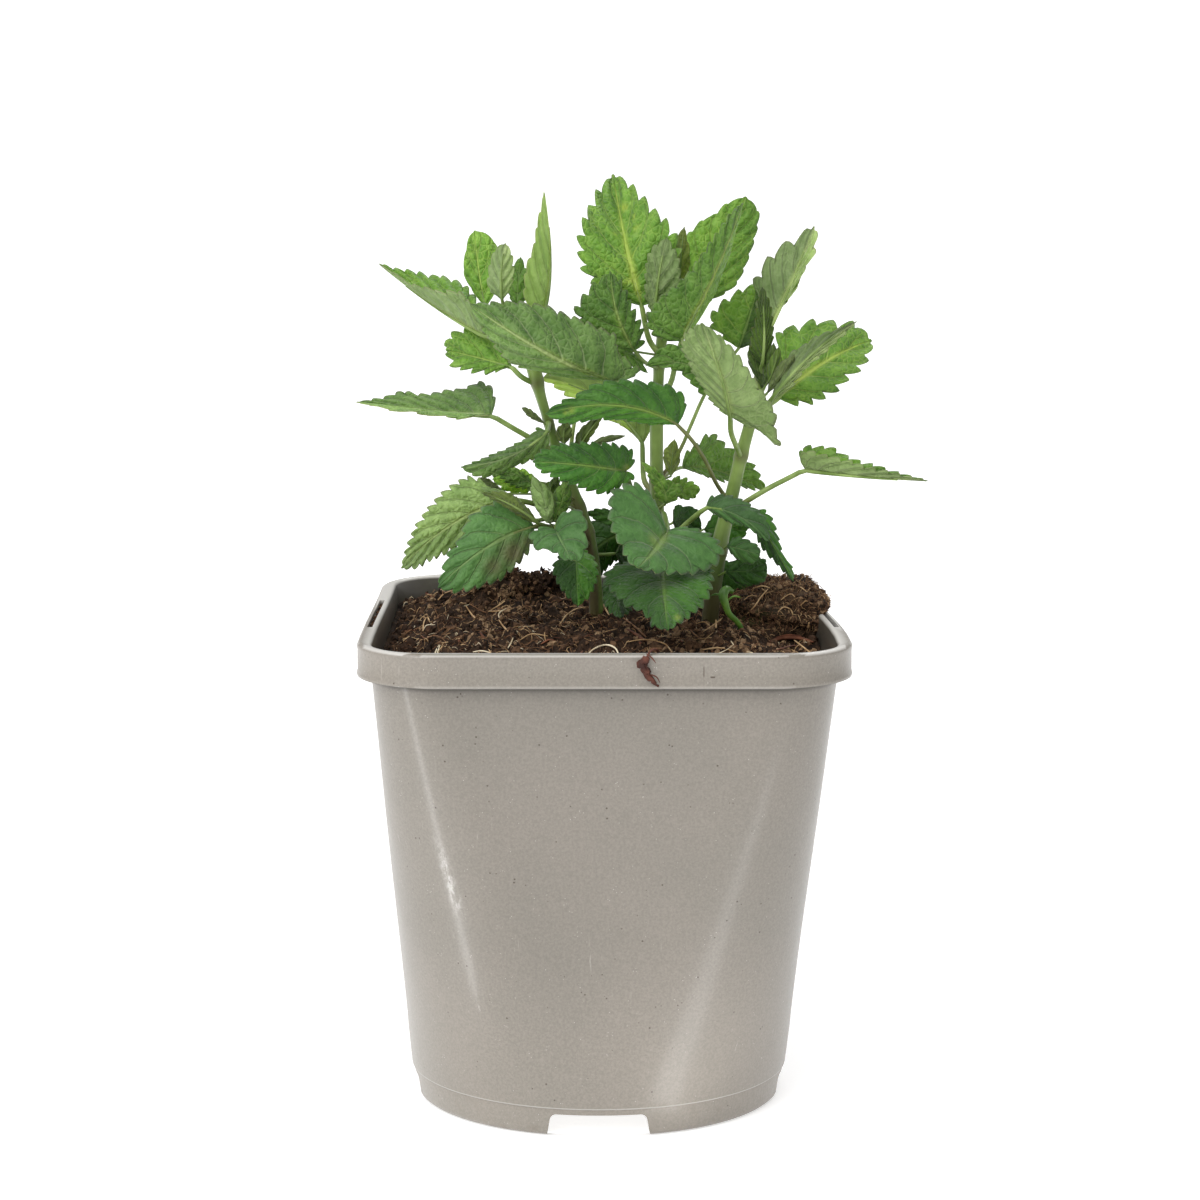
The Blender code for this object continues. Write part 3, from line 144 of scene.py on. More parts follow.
# ---------------------------------------------------------------- leaves
# name: stem, height where the stalk joins, points along the stalk, blade base,
# a point half way along the midrib, tip, outline points on side A, on side C,
# depth gained per mm out from the midrib on A and on C, which face of side A
# shows to the front (1 upper, -1 under), tone, teeth a side.
LEAVES = {
 "leaf_left_high": ("stem_left", 203, [(-27, 206, -2)], (-33, 208.5, -1), (-47, 216.8, 6), (-61.6, 227.9, 13),
    [(-34, 213), (-37, 217.5), (-40.5, 220.2), (-45, 220.6), (-50, 221.4), (-55.5, 224)],
    [(-34, 215), (-37, 220.5), (-40, 223), (-45, 224.3), (-50, 225.4), (-55, 226.2)], -.5, .6, -1, "mid", 9),
 "leaf_left_bright": ("stem_left", 195, [(-23.3, 197.3, -1)], (-26, 200, -1), (-35, 202.4, 1), (-43.8, 204.6, 4),
    [(-28, 205), (-33, 209.3), (-39, 210), (-43.3, 208.2)],
    [(-29, 199.3), (-33, 198.3), (-38, 199), (-42.2, 200.6)], .3, -.3, 1, "bright", 5),
 "leaf_front_large": ("stem_center", 187, [(5.5, 192, -7)], (1, 196.4, -14), (-16, 203.3, -22), (-37.2, 217, -22),
    [(5.5, 196.9), (8.6, 199), (5, 202), (2.8, 204.5), (2.3, 208), (-4, 211.3), (-10, 213.8), (-15, 216), (-22, 217.3), (-30, 217.6)],
    [(-3, 196.8), (-10, 197.3), (-17, 198.6), (-25, 200.2), (-30, 205), (-35, 211.5)], .35, .4, 1, "grey", 12),
 "leaf_left_upright": ("stem_left", 208, [(-29, 212, 3)], (-33, 216, 4), (-34.8, 226, 6), (-35.8, 236.8, 9),
    [(-36.5, 220.5), (-38.8, 225.5), (-38.2, 231.5), (-37.3, 235)],
    [(-30.5, 220), (-29, 227), (-30, 233), (-32.3, 235.6)], .15, .15, 1, "bright", 3),
 "leaf_left_young_pale": ("stem_left", 207, [(-27, 213, -4)], (-28.5, 218, -6), (-28.7, 226, -7), (-27.5, 233.4, -5),
    [(-32.3, 221.5), (-32, 226.5), (-30.3, 231.8)], [(-26.3, 221), (-25.3, 226), (-26, 231)], .3, .3, -1, "pale", 4),
 "leaf_left_young_dark": ("stem_left", 210, [], (-24.6, 216, 3), (-24.2, 223, 4), (-23.4, 229.8, 6),
    [(-27, 220), (-26.6, 226)], [(-21.8, 219), (-21.6, 225)], .2, .2, 1, "dark", 4),
 "leaf_left_spire": ("stem_left", 207, [(-19, 209.5, -2)], (-18.3, 213, -3), (-15.7, 227, -2), (-17.2, 247.2, 5),
    [(-21, 214.5), (-22.8, 220), (-21.8, 227), (-20, 233.5), (-18.8, 239)],
    [(-20, 214.5), (-21.5, 221), (-20, 229), (-18.3, 238)], -.35, .5, -1, "pale", 6),
 "leaf_top_center": ("stem_center", 202.5, [(11, 207.5, -1)], (9, 216.5, -2), (5, 232, 1), (1.2, 251.9, 9),
    [(4, 218), (-3.5, 222), (-6.4, 225.5), (-7.8, 231), (-7.6, 236.5), (-5.3, 242.5), (-2.6, 247.5)],
    [(12, 217.5), (17, 223), (19, 230), (18, 236), (14.5, 240.2), (9.9, 244.8), (5.6, 249.5)], -.15, -.1, 1, "bright", 9),
 "leaf_center_dark": ("stem_center", 199, [(9.6, 201.5, -5)], (7, 204.5, -8), (2.5, 214.5, -9), (0.6, 225.7, -6),
    [(2, 204.5), (-4, 209), (-8.8, 214), (-7.8, 217.6), (-4.5, 221.9)],
    [(9.3, 206), (9, 211), (6.5, 216.5), (4, 221.9)], .1, .1, 1, "dark", 7),
 "leaf_young_pale": ("stem_center", 208, [], (12.8, 213.5, -3.5), (13.5, 224, -4.5), (15.8, 235, -3),
    [(10.3, 217.5), (9.9, 225), (11.3, 231.5)], [(15.9, 217.5), (19.1, 222.7), (19.1, 228.8)], .1, .1, -1, "pale", 6),
 "leaf_young_brown": ("stem_center", 219.5, [], (19.2, 222.8, 2), (19.6, 230, 2), (20.4, 237.9, 3),
    [(17.2, 226), (16.7, 231.5)], [(21.7, 226), (21.8, 231)], .3, .3, -1, "brown", 3),
 "leaf_upper_front": ("stem_center", 190, [(17, 196, -3), (18.3, 202, -4)], (19.8, 207, -7), (29.0, 226, -4), (36.2, 244.4, 4),
    [(15, 207.2), (11, 209.8), (10.3, 214), (13, 218.0), (16.5, 221.0), (21, 225), (25.2, 230.5), (29, 236), (33.2, 241.9)],
    [(24.4, 213.3), (28.0, 219.6), (30.9, 226.4), (32.6, 232), (34.9, 240.4)], -.1, 2.2, 1, "mid", 14),
 "leaf_upper_back": ("stem_center", 212, [(19, 214.5, 6)], (22.8, 215.5, 8.5), (30.3, 231, 12), (36.8, 245.9, 14),
    [(20.4, 221), (20.6, 228.3), (20.8, 234.9), (23.0, 237.4), (25.1, 239.6), (28.0, 240.8), (31.8, 244.1)],
    [(29.6, 218.9), (34.1, 221.9), (36.4, 226), (38.4, 231.5), (40.0, 237.5), (40.3, 242.1)], .1, .1, 1, "bright", 9),
 "leaf_right_high": ("stem_right", 202, [(43.4, 206.5, 2)], (43.6, 211, 4), (48.8, 222, 6), (55.2, 238, 11),
    [(41, 214.5), (39.3, 223.5), (42.3, 228.3), (46, 232.3), (50.3, 234.9)],
    [(45, 214.3), (49.8, 220.5), (53.4, 227), (56.1, 234.3)], .2, .6, -1, "grey", 5),
 "leaf_right_dark": ("stem_center", 169, [(19, 176.5, 2), (22.5, 184.5, 3), (26.3, 193, 4), (31.5, 200.5, 6)], (35.3, 205, 7), (38, 213.5, 7), (40.3, 222.6, 10),
    [(31, 208), (27.2, 212.3), (30, 217), (34.5, 220.1), (38, 221.9)],
    [(39, 206.5), (42.3, 212), (42.5, 218.5)], .1, .1, 1, "dark", 5),
 "leaf_young_ridged": ("stem_right", 197, [], (41.5, 200.5, -8), (42, 210, -9), (41.3, 221.8, -7),
    [(38.8, 203), (38.2, 207.5), (39.6, 213), (40.2, 218)], [(44, 203), (44.4, 209), (44, 215), (42.9, 219)], .3, .3, -1, "olive", 7),
 "leaf_right_bud": ("stem_right", 191.5, [], (43.2, 196, -10), (44.7, 200, -10.5), (45.9, 205.5, -10),
    [(42.7, 199), (44, 203)], [(46, 198.4), (46.8, 202.4)], .3, .3, -1, "brown", 2),
 "leaf_right_bright": ("stem_right", 188, [(43, 189.5, -3)], (46, 191.5, -2), (58.3, 201.2, 3), (71, 207.2, 9),
    [(44.6, 197), (45.2, 205), (46, 209.9), (49.5, 210.9), (55, 212.4), (61, 212.1), (67, 211.4)],
    [(49, 190.1), (55, 190.4), (59.8, 192.6), (64.6, 196.5), (68.7, 200.6), (70.7, 203.7)], .25, -.1, 1, "bright", 9),
 "leaf_right_strip": ("stem_right", 185.5, [(41.3, 187.5, -10)], (44, 191, -13), (54.3, 202.8, -13), (67, 212.4, -8),
    [(45.8, 197.5), (49.3, 203.8), (54, 207), (60, 209.8)],
    [(48.7, 194.2), (53.6, 199.8), (58.6, 204.3), (64, 209.2)], .7, .2, -1, "brown", 7),
 "leaf_right_pale": ("stem_right", 175.5, [(34.6, 178.5, -11), (33.2, 182.3, -14)], (33, 186.5, -17), (30.5, 197.5, -22), (25.2, 212, -19),
    [(31, 187.5), (27.8, 190.8), (24.5, 195.5), (21.8, 200.8), (19.7, 205.2), (21, 209.5)],
    [(37, 184.3), (41.5, 182.4), (46.4, 178.2), (45.4, 183), (45.2, 187.5), (42.8, 191.8), (39, 197.3), (34.5, 204), (30, 208.6)], .15, .25, -1, "pale", 8),
 "leaf_behind_pale": ("stem_right", 183, [(35, 189.5, -9)], (29, 196, -10), (20, 201, -10), (10, 200.3, -8),
    [(25, 204), (19.5, 206), (15, 205.8), (12.3, 203.3)], [(26, 192.3), (22, 196), (19, 198.7), (15, 199.8)], .1, .1, 1, "grey", 5),
 "leaf_far_right": ("stem_right", 159, [(37.5, 163.4, -7), (44, 167.3, -8), (50, 170.4, -9)], (53.3, 172.2, -10), (70, 170.2, -19), (86.8, 169, -27),
    [(51.9, 175), (53.2, 177), (57, 176.6), (63, 174.9), (70, 173), (78, 171)],
    [(51.7, 176), (52.3, 178.1), (57, 178.4), (60.2, 178.1), (64.8, 175.8), (70, 173.9), (77, 171.8), (83, 170.1)], -.4, .5, -1, "mid", 9),
 "leaf_behind_center": ("stem_center", 168, [(17, 171.5, 5)], (20, 172.8, 9), (31, 171.3, 15), (42.8, 166.2, 18),
    [(20.8, 176), (24.3, 179.5), (27.5, 182), (33, 178.2), (38, 174.6), (41.5, 170)],
    [(24.5, 170.9), (30, 169.3), (36.5, 167.3)], .2, -.3, 1, "mid", 9),
 "leaf_right_low_front": ("stem_center", 150, [(19, 155.2, -8), (23, 158.8, -13)], (26.5, 161.7, -17), (35.5, 159.3, -23), (43.8, 152.2, -23),
    [(27.8, 164.6), (32, 165.3), (37, 163.4), (41, 160.5), (43.5, 157.3)],
    [(28.7, 160), (33, 157.8), (38, 156), (41.7, 153.3)], .4, .1, 1, "blue", 8),
 "leaf_right_drooping": ("stem_right", 161, [(36, 162, -9)], (39, 160.8, -12), (44.3, 152.3, -15), (50.4, 141.4, -18),
    [(42.3, 161), (44.9, 158), (46.3, 153.5), (47.4, 148.7), (50.3, 145)],
    [(39.2, 156.5), (41.6, 151.2), (45.8, 146)], .3, .2, 1, "dark", 7),
 "leaf_right_behind_stem": ("stem_center", 148, [(19.5, 152.5, 6)], (26, 155.7, 8), (32, 156.3, 9), (38.8, 157.6, 8),
    [(29, 160.2), (36, 160.5)], [(29, 151.8), (36, 152.6)], .1, .1, 1, "dark", 5),
 "leaf_right_bluegreen": ("stem_right", 149.5, [], (32.3, 151.2, -9), (36.7, 150.2, -12), (41.3, 148.6, -13),
    [(34.3, 153.6), (37.8, 153), (41.2, 150.7)], [(33.8, 148.6), (35.8, 147), (38.7, 146.1), (40.7, 147.1)], .1, .1, 1, "blue", 4),
 "leaf_right_dark_low": ("stem_right", 142, [], (32, 144, -7), (37.5, 144.3, -7), (43.3, 144.3, -5),
    [(34.6, 147.2), (38.5, 148.1), (42.6, 147.6)], [(34.6, 141.3), (38.3, 140.1), (42.6, 141.6)], .1, .1, 1, "dark", 5),
 "leaf_center_shoot_a": ("stem_center", 160.5, [], (15.6, 162.7, -4), (14.3, 168.5, -6), (8.7, 174.4, -5),
    [(13, 164.5), (12.2, 167.5), (10.4, 171)], [(19.3, 164.5), (20.2, 167.3), (16, 169.6), (12.4, 172.8)], -.2, .1, 1, "mid", 5),
 "leaf_center_shoot_b": ("stem_center", 163, [], (18.3, 165.5, -0.5), (21.5, 166.9, 0.5), (25.1, 166.8, 1),
    [(20, 168.4), (22.8, 168.9)], [(20.3, 163.9), (23.2, 164.2)], .1, .1, 1, "dark", 3),
 "leaf_center_bud": ("stem_center", 168, [], (17, 170.3, -4), (17.3, 175.3, -6), (18, 180.5, -5),
    [(15.3, 173.3), (15, 177)], [(19.2, 173.3), (19.3, 177.3)], .3, .3, -1, "brown", 2),
 "leaf_center_dark_back": ("stem_center", 155, [], (17.6, 157.5, 5), (21, 158.3, 8), (25.4, 155.8, 9),
    [(18, 162.2), (20.7, 162.2), (24.4, 161.2)], [(19, 154.5), (23, 153.3)], .1, .1, 1, "dark", 4),
 "leaf_heart_front": ("stem_center", 158.5, [(15.1, 160, -8), (15.7, 158, -13)], (16.2, 155.4, -19), (13, 150.3, -29), (8, 145.1, -38),
    [(14, 158.5), (12.6, 163.5), (9.5, 167.8), (4.5, 168.1), (0.6, 165.5), (0.2, 161), (1.2, 155.5), (3.8, 150.2), (5.3, 147)],
    [(19.5, 156.2), (24, 156), (28.5, 153.8), (31.2, 149.5), (29.5, 146.2), (24, 143.9), (17, 143.4), (12, 144)], .1, .1, 1, "mid", 11),
 "leaf_front_low": ("stem_center", 147, [(14.5, 147.8, -8)], (15, 146.3, -16), (15.2, 138, -34), (16.3, 127.8, -46),
    [(8, 147), (0, 144.5), (-1.3, 141.5), (1.5, 138), (4.5, 134.7), (9.5, 132.8), (12, 129.2)],
    [(22, 146.5), (28.4, 144.5), (28.3, 140.5), (27.4, 137), (24.6, 133.7), (20.5, 130.4)], .2, .15, 1, "dark", 11),
 "leaf_front_low_dark": ("stem_center", 142, [(9.5, 143, -7)], (6.5, 142.5, -13), (3, 137.5, -20), (3.3, 131.2, -27),
    [(0, 141.5), (-1.2, 136), (0.8, 132.6)], [(7, 137), (6, 133)], .1, .1, 1, "dark", 6),
 "leaf_left_heart": ("stem_left", 157, [(-10.2, 157.4, -7), (-13.5, 157.8, -15)], (-14.3, 155.7, -21), (-12.3, 151.5, -27), (-10, 147.1, -31),
    [(-17.5, 156.4), (-21.2, 154.5), (-20, 150.7), (-16, 150), (-13, 147.9)],
    [(-13.3, 159), (-10, 161.3), (-6.4, 159.8), (-5.6, 154), (-6.2, 149.3), (-8, 147.2)], .1, .1, 1, "mid", 4),
 "leaf_left_bluegreen": ("stem_left", 152.5, [(-11, 155, 1), (-17.5, 156.6, -8)], (-20, 156.5, -15), (-33, 150.8, -21), (-46.4, 139.6, -22),
    [(-23.5, 160.8), (-28.5, 163.4), (-34.5, 161.4), (-38.3, 158.3), (-40.2, 153.5), (-43, 149.8), (-45.2, 144.5)],
    [(-20.8, 151), (-24, 146.8), (-29, 142), (-34.5, 140), (-41, 138.4)], .2, -.1, 1, "blue", 9),
 "leaf_left_pale": ("stem_left", 157, [(-14, 160.5, 3), (-21, 163, -2)], (-26.5, 164, -5), (-42.5, 157, -3), (-56.3, 145, 4),
    [(-31, 168), (-37.5, 170.1), (-42.6, 167.7), (-47.6, 163), (-51.4, 158), (-54.1, 152.5), (-55.5, 148.3)],
    [(-28.5, 158.5), (-34, 153.5), (-41.5, 150.3), (-48, 147.3), (-52.8, 144.9)], .2, .2, 1, "lime", 13),
 "leaf_left_small_bright": ("stem_left", 167, [], (-18.5, 168.6, 0), (-25, 169.3, -1), (-31.5, 169.5, 0),
    [(-22.5, 172.1), (-28.5, 172.4)], [(-22, 165.5), (-28, 166.3)], .1, .1, 1, "bright", 4),
 "leaf_left_grey": ("stem_left", 155, [(-12.5, 155.6, -6)], (-19, 157.3, -17), (-25.8, 162.2, -21), (-34.4, 165.7, -19),
    [(-21.8, 161.8), (-25.8, 165.2), (-30, 166.1)], [(-22.5, 158.3), (-27, 161.4), (-31.3, 163.8)], .3, .2, -1, "brown", 6),
 "leaf_left_curled": ("stem_left", 185, [], (-16.5, 182.3, -7), (-26.5, 175.8, -12), (-40, 172.8, -12),
    [(-19, 183.6), (-21.5, 181), (-25.3, 178.8), (-31, 176.6), (-35.5, 174.4)],
    [(-16, 179.5), (-19.8, 175.3), (-25.5, 172.6), (-31.5, 170.2), (-36.5, 170.5)], .3, .3, 1, "grey", 8),
 "leaf_left_narrow": ("stem_left", 177, [(-18.5, 179.3, -1), (-25, 183, -2)], (-31.5, 186.9, -2), (-47.5, 188.1, 4), (-68.2, 190.5, 11),
    [(-30.5, 190.5), (-31.4, 194.3), (-34.5, 196), (-40, 194), (-46.5, 193.3), (-51.5, 192.6), (-55.5, 193.4), (-60, 192.1), (-64, 191.1)],
    [(-36, 186.7), (-40.8, 186), (-48, 187), (-57, 188.1), (-63, 189.3)], .6, -.5, 1, "mid", 10),
 "leaf_front_center": ("stem_right", 163.5, [(29.3, 168.3, -10), (26.3, 174.5, -15), (22.5, 180.3, -20)], (18.7, 184.3, -23), (2, 189.6, -30), (-17.1, 187.3, -27),
    [(20.5, 187.3), (20.9, 191), (18.3, 194.1), (12, 195.9), (5, 196.5), (-3, 195.7), (-9, 192.3), (-14, 189.9)],
    [(15.5, 184.7), (9, 184.4), (3, 185.9), (-5, 185.3), (-12.5, 184.8)], .3, .5, 1, "dark", 8),
 "leaf_front_left": ("stem_center", 150, [(9, 158, -3), (6, 167.5, -7)], (4.6, 171.6, -18.5), (-7, 173.3, -27), (-20.5, 174.3, -25),
    [(7, 174), (6.2, 177.5), (2.5, 179), (-3, 179.4), (-9, 179.5), (-15, 178.6), (-19, 176.7)],
    [(7.2, 170.4), (3.5, 167.3), (-2, 165.5), (-7, 166.9), (-13, 169.3), (-18.4, 171.7)], .25, .15, 1, "dark", 9),
 "leaf_behind_large": ("stem_center", 165, [(10, 168.5, 2), (9.4, 174, 4)], (9.3, 179, 6), (-2, 191.3, 10), (-18.5, 197.1, 13),
    [(11.6, 184), (8, 192.5), (-2, 198.8), (-10, 200.7)],
    [(7, 181.8), (1.5, 185.2), (-4, 188.3), (-10, 191.5), (-15, 195)], .1, .1, -1, "pale", 7),
 "leaf_left_bud_a": ("stem_left", 176, [], (-11.8, 179, -4), (-12, 182, -5), (-11, 185.2, -4),
    [(-14.3, 181.2), (-13.3, 184)], [(-9.9, 181.3), (-9.9, 183.6)], .2, .2, -1, "brown", 3),
 "leaf_left_bud_b": ("stem_left", 172, [], (-8.6, 176.6, -2), (-5.5, 182, -3), (-1.2, 187.3, -2),
    [(-8.8, 181), (-6, 184.7)], [(-5.2, 180), (-2.6, 184)], .2, .2, -1, "olive", 4),
 "leaf_left_center_down": ("stem_left", 152, [], (-8.6, 150.6, -6), (-8.5, 142.5, -13), (-8.3, 134.4, -16),
    [(-12.3, 149.3), (-15.1, 145), (-12.6, 139)], [(-5, 149.3), (-2.6, 145), (-4.5, 138)], .1, .1, 1, "mid", 6),
 "leaf_center_shade": ("stem_left", 148, [], (2, 149, 5), (5.5, 149.2, 8), (10.4, 149, 10),
    [(3.8, 152.7), (6.5, 155.6), (9, 153.5)], [(3.8, 145.2), (6.5, 142.3), (9, 144.5)], .1, .1, 1, "dark", 5),
 "leaf_center_small_dark": ("stem_center", 156, [(8.5, 157, 4)], (4, 157.8, 5), (-1, 159.6, 6), (-6.4, 160.2, 6),
    [(1.5, 160.9), (-3.5, 161.4)], [(1, 156.6), (-3.3, 158.3)], .1, .1, 1, "dark", 4),
 "leaf_left_shoot_a": ("stem_left", 162.5, [], (-15, 163, -3), (-15.6, 166.8, -5), (-13.6, 170.6, -5),
    [(-17.9, 164.8), (-17, 168)], [(-13.8, 165.2), (-13.2, 168)], .3, .3, -1, "olive", 3),
 "leaf_left_shoot_b": ("stem_left", 161, [], (-12, 162.4, -7), (-12.3, 165.2, -9), (-12.3, 168.3, -9.5),
    [(-14, 164), (-14, 166.5)], [(-10.5, 163.8), (-10.4, 166)], .2, .2, 1, "olive", 2),
}


def midrib(leaf, t):
    """Drawn midrib point (x, z, y) at t: one bow through base, middle and tip."""
    b, m, e = (np.array(p, float) for p in leaf[3:6])
    c = 2 * m - (b + e) / 2
    t = np.asarray(t)[:, None]
    return (1 - t) ** 2 * b + 2 * t * (1 - t) * c + t * t * e


def blade_edge(leaf, side, s):
    """Drawn edge point at s (0 base .. 1 tip) and the midrib point it hangs on."""
    pts = leaf[6] if side == 0 else leaf[7]
    slope = leaf[8] if side == 0 else leaf[9]
    b, e = leaf[3], leaf[5]
    line = smooth_line([(b[0], b[1])] + list(pts) + [(e[0], e[1])], s)
    mid = midrib(leaf, np.asarray(s) ** 1.45)
    d = np.linalg.norm(line - mid[:, :2], axis=1)
    return np.column_stack([line, mid[:, 2] + slope * d]), mid


def stalk_path(leaf, gap, stalk_r):
    """Real points of the stalk, from beside its stem to the blade base."""
    axis, rad = stem_axis(leaf[0])
    zr = [at(*p) for p in [(leaf[3][0], leaf[3][1], leaf[3][2])]][0]
    pts = [at(*p) for p in leaf[2]] + [zr]
    # stem point at the drawn height
    el = EYE[2] + (axis[:, 2] - EYE[2]) * (-EYE[1]) / (axis[:, 1] - EYE[1])
    i = int(np.argmin(abs(el - leaf[1])))
    a, r = axis[i], rad[i]
    ax = unit(axis[min(i + 1, len(axis) - 1)] - axis[max(i - 1, 0)])
    d = unit(pts[0] - a)
    perp = d - ax * (d @ ax)
    sn = max(np.linalg.norm(perp), 0.35)
    if gap is None:
        start = a
    elif leaf[1] >= el[-1] - 0.05:
        start = a + d * (gap + 0.5)
    else:
        out = r + gap + stalk_r * min(1.0, abs(d @ ax) + 0.15)
        start = a + d * (out / sn)
    return [start] + pts



# ---------------------------------------------------------------- small helpers
def ease(a, b, v):
    t = np.clip((np.asarray(v, float) - a) / (b - a), 0.0, 1.0)
    return t * t * (3 - 2 * t)


def wob(x, y, z, size, octaves=3):
    """Smooth seeded noise, about -1..1, with features of the given size."""
    out = np.zeros(len(x))
    for i in range(len(x)):
        v = Vector((x[i] / size, y[i] / size, z[i] / size))
        a, s = 0.0, 1.0
        for o in range(octaves):
            a += s * noise.noise(v)
            v = v * 2.03
            s *= 0.5
        out[i] = a
    return out


def new_mesh(name, v, f, mats, index=None, uv=None, attrs=None, smooth=True, sharp=None):
    """Mesh object from points in mm.  uv is one pair a vertex."""
    me = bpy.data.meshes.new(name)
    v = np.asarray(v, float) * 0.001
    me.from_pydata(v.tolist(), [], [tuple(int(i) for i in q) for q in f])
    for m in mats:
        me.materials.append(m)
    if index is not None:
        me.polygons.foreach_set("material_index", np.asarray(index, np.int32))
    if uv is not None:
        layer = me.uv_layers.new(name="blade")
        loops = np.zeros(len(me.loops), np.int32)
        me.loops.foreach_get("vertex_index", loops)
        layer.uv.foreach_set("vector", np.asarray(uv, np.float32)[loops].ravel())
    for k, a in (attrs or {}).items():
        at_ = me.attributes.new(k, "FLOAT", "POINT")
        at_.data.foreach_set("value", np.asarray(a, np.float32))
    me.polygons.foreach_set("use_smooth", np.full(len(me.polygons), smooth))
    if sharp:
        me.set_sharp_from_angle(angle=math.radians(sharp))
    me.update()
    ob = bpy.data.objects.new(name, me)
    bpy.context.scene.collection.objects.link(ob)
    return ob


def join_parts(parts):
    """One vertex and face list from several."""
    v, f, n = [], [], 0
    for a, b in parts:
        v.append(a)
        f += [tuple(i + n for i in q) for q in b]
        n += len(a)
    return np.vstack(v), f


def tube_mesh(path, radii, sides=8, flat=1.0, up=(0.0, 0.3, 1.0), square=0.0):
    """Closed tube along a path in mm."""
    path = np.asarray(path, float)
    radii = np.broadcast_to(np.asarray(radii, float), (len(path),))
    t = unit(np.gradient(path, axis=0))
    a = unit(np.cross(t[0], up))
    if np.linalg.norm(np.cross(t[0], up)) < 1e-6:
        a = np.array([1.0, 0, 0])
    v = []
    ang = np.linspace(0, 2 * np.pi, sides, endpoint=False)
    shape = 1 + square * np.cos(4 * ang)
    for k in range(len(path)):
        a = unit(a - t[k] * (a @ t[k]))
        b = np.cross(t[k], a)
        v.append(path[k] + radii[k] * (np.outer(np.cos(ang) * shape, a)
                                       + flat * np.outer(np.sin(ang) * shape, b)))
    v = np.vstack(v + [path[:1] - t[:1] * radii[0] * 0.5, path[-1:] + t[-1:] * radii[-1] * 0.5])
    f = []
    for k in range(len(path) - 1):
        for i in range(sides):
            j = (i + 1) % sides
            f.append((k * sides + i, k * sides + j, (k + 1) * sides + j, (k + 1) * sides + i))
    n, last = len(path) * sides, (len(path) - 1) * sides
    for i in range(sides):
        j = (i + 1) % sides
        f.append((j, i, n))
        f.append((last + i, last + j, n + 1))
    return v, f


# ---------------------------------------------------------------- node helpers
class Nodes:
    def __init__(self, name):
        self.m = bpy.data.materials.new(name)
        self.m.use_nodes = True
        self.t = self.m.node_tree
        self.bsdf = self.t.nodes["Principled BSDF"]
        self.out = self.t.nodes["Material Output"]

    def put(self, socket, x):
        if hasattr(x, "is_output"):
            self.t.links.new(x, socket)
        elif isinstance(x, (tuple, list)) and len(x) == 3 and socket.type == "RGBA":
            socket.default_value = (*x, 1.0)
        else:
            socket.default_value = x

    def node(self, kind, ins=None, **props):
        n = self.t.nodes.new(kind)
        for k, x in props.items():
            setattr(n, k, x)
        for k, x in (ins or {}).items():
            self.put(n.inputs[k], x)
        return n

    def math(self, op, a, b=0.0, c=None, clamp=False):
        n = self.node("ShaderNodeMath", {0: a, 1: b}, operation=op, use_clamp=clamp)
        if c is not None:
            self.put(n.inputs[2], c)
        return n.outputs[0]

    def mix(self, fac, a, b, kind="MIX"):
        n = self.node("ShaderNodeMix", None, data_type="RGBA", blend_type=kind)
        self.put(n.inputs[0], fac)
        self.put(n.inputs[6], a)
        self.put(n.inputs[7], b)
        return n.outputs[2]

    def coords(self, scale=(1, 1, 1), where=(0, 0, 0), turn=(0, 0, 0)):
        c = self.node("ShaderNodeTexCoord").outputs["Object"]
        n = self.node("ShaderNodeMapping", {"Vector": c})
        n.inputs["Scale"].default_value = scale
        n.inputs["Location"].default_value = where
        n.inputs["Rotation"].default_value = turn
        return n.outputs[0]

    def noise(self, scale, detail=3.0, rough=0.55, vec=None, distortion=0.0):
        n = self.node("ShaderNodeTexNoise", {"Vector": vec if vec is not None else self.coords(),
                                            "Scale": scale, "Detail": detail, "Roughness": rough,
                                            "Distortion": distortion})
        return n.outputs[0]

    def voronoi(self, scale, feature="F1", vec=None, random=1.0):
        n = self.node("ShaderNodeTexVoronoi", {"Vector": vec if vec is not None else self.coords(),
                                              "Scale": scale, "Randomness": random}, feature=feature)
        return n.outputs["Distance"]

    def step(self, x, lo, hi, a=0.0, b=1.0):
        n = self.node("ShaderNodeMapRange", {0: x, 1: lo, 2: hi, 3: a, 4: b},
                      interpolation_type="SMOOTHSTEP")
        return n.outputs[0]

    def attr(self, name):
        return self.node("ShaderNodeAttribute", attribute_name=name).outputs["Fac"]

    def bump(self, height, distance, strength=1.0, normal=None):
        n = self.node("ShaderNodeBump", {"Height": height, "Distance": distance, "Strength": strength})
        if normal is not None:
            self.put(n.inputs["Normal"], normal)
        return n.outputs[0]

    def surface(self, colour, rough, normal=None, **constants):
        self.put(self.bsdf.inputs["Base Color"], colour)
        self.put(self.bsdf.inputs["Roughness"], rough)
        if normal is not None:
            self.put(self.bsdf.inputs["Normal"], normal)
        for k, x in constants.items():
            self.bsdf.inputs[k.replace("_", " ")].default_value = x
        return self.m


def lin(r, g, b):
    """Linear colour from 0..255 display values."""
    out = []
    for c in (r, g, b):
        c = c / 255.0
        out.append(c / 12.92 if c <= 0.04045 else ((c + 0.055) / 1.055) ** 2.4)
    return tuple(out)


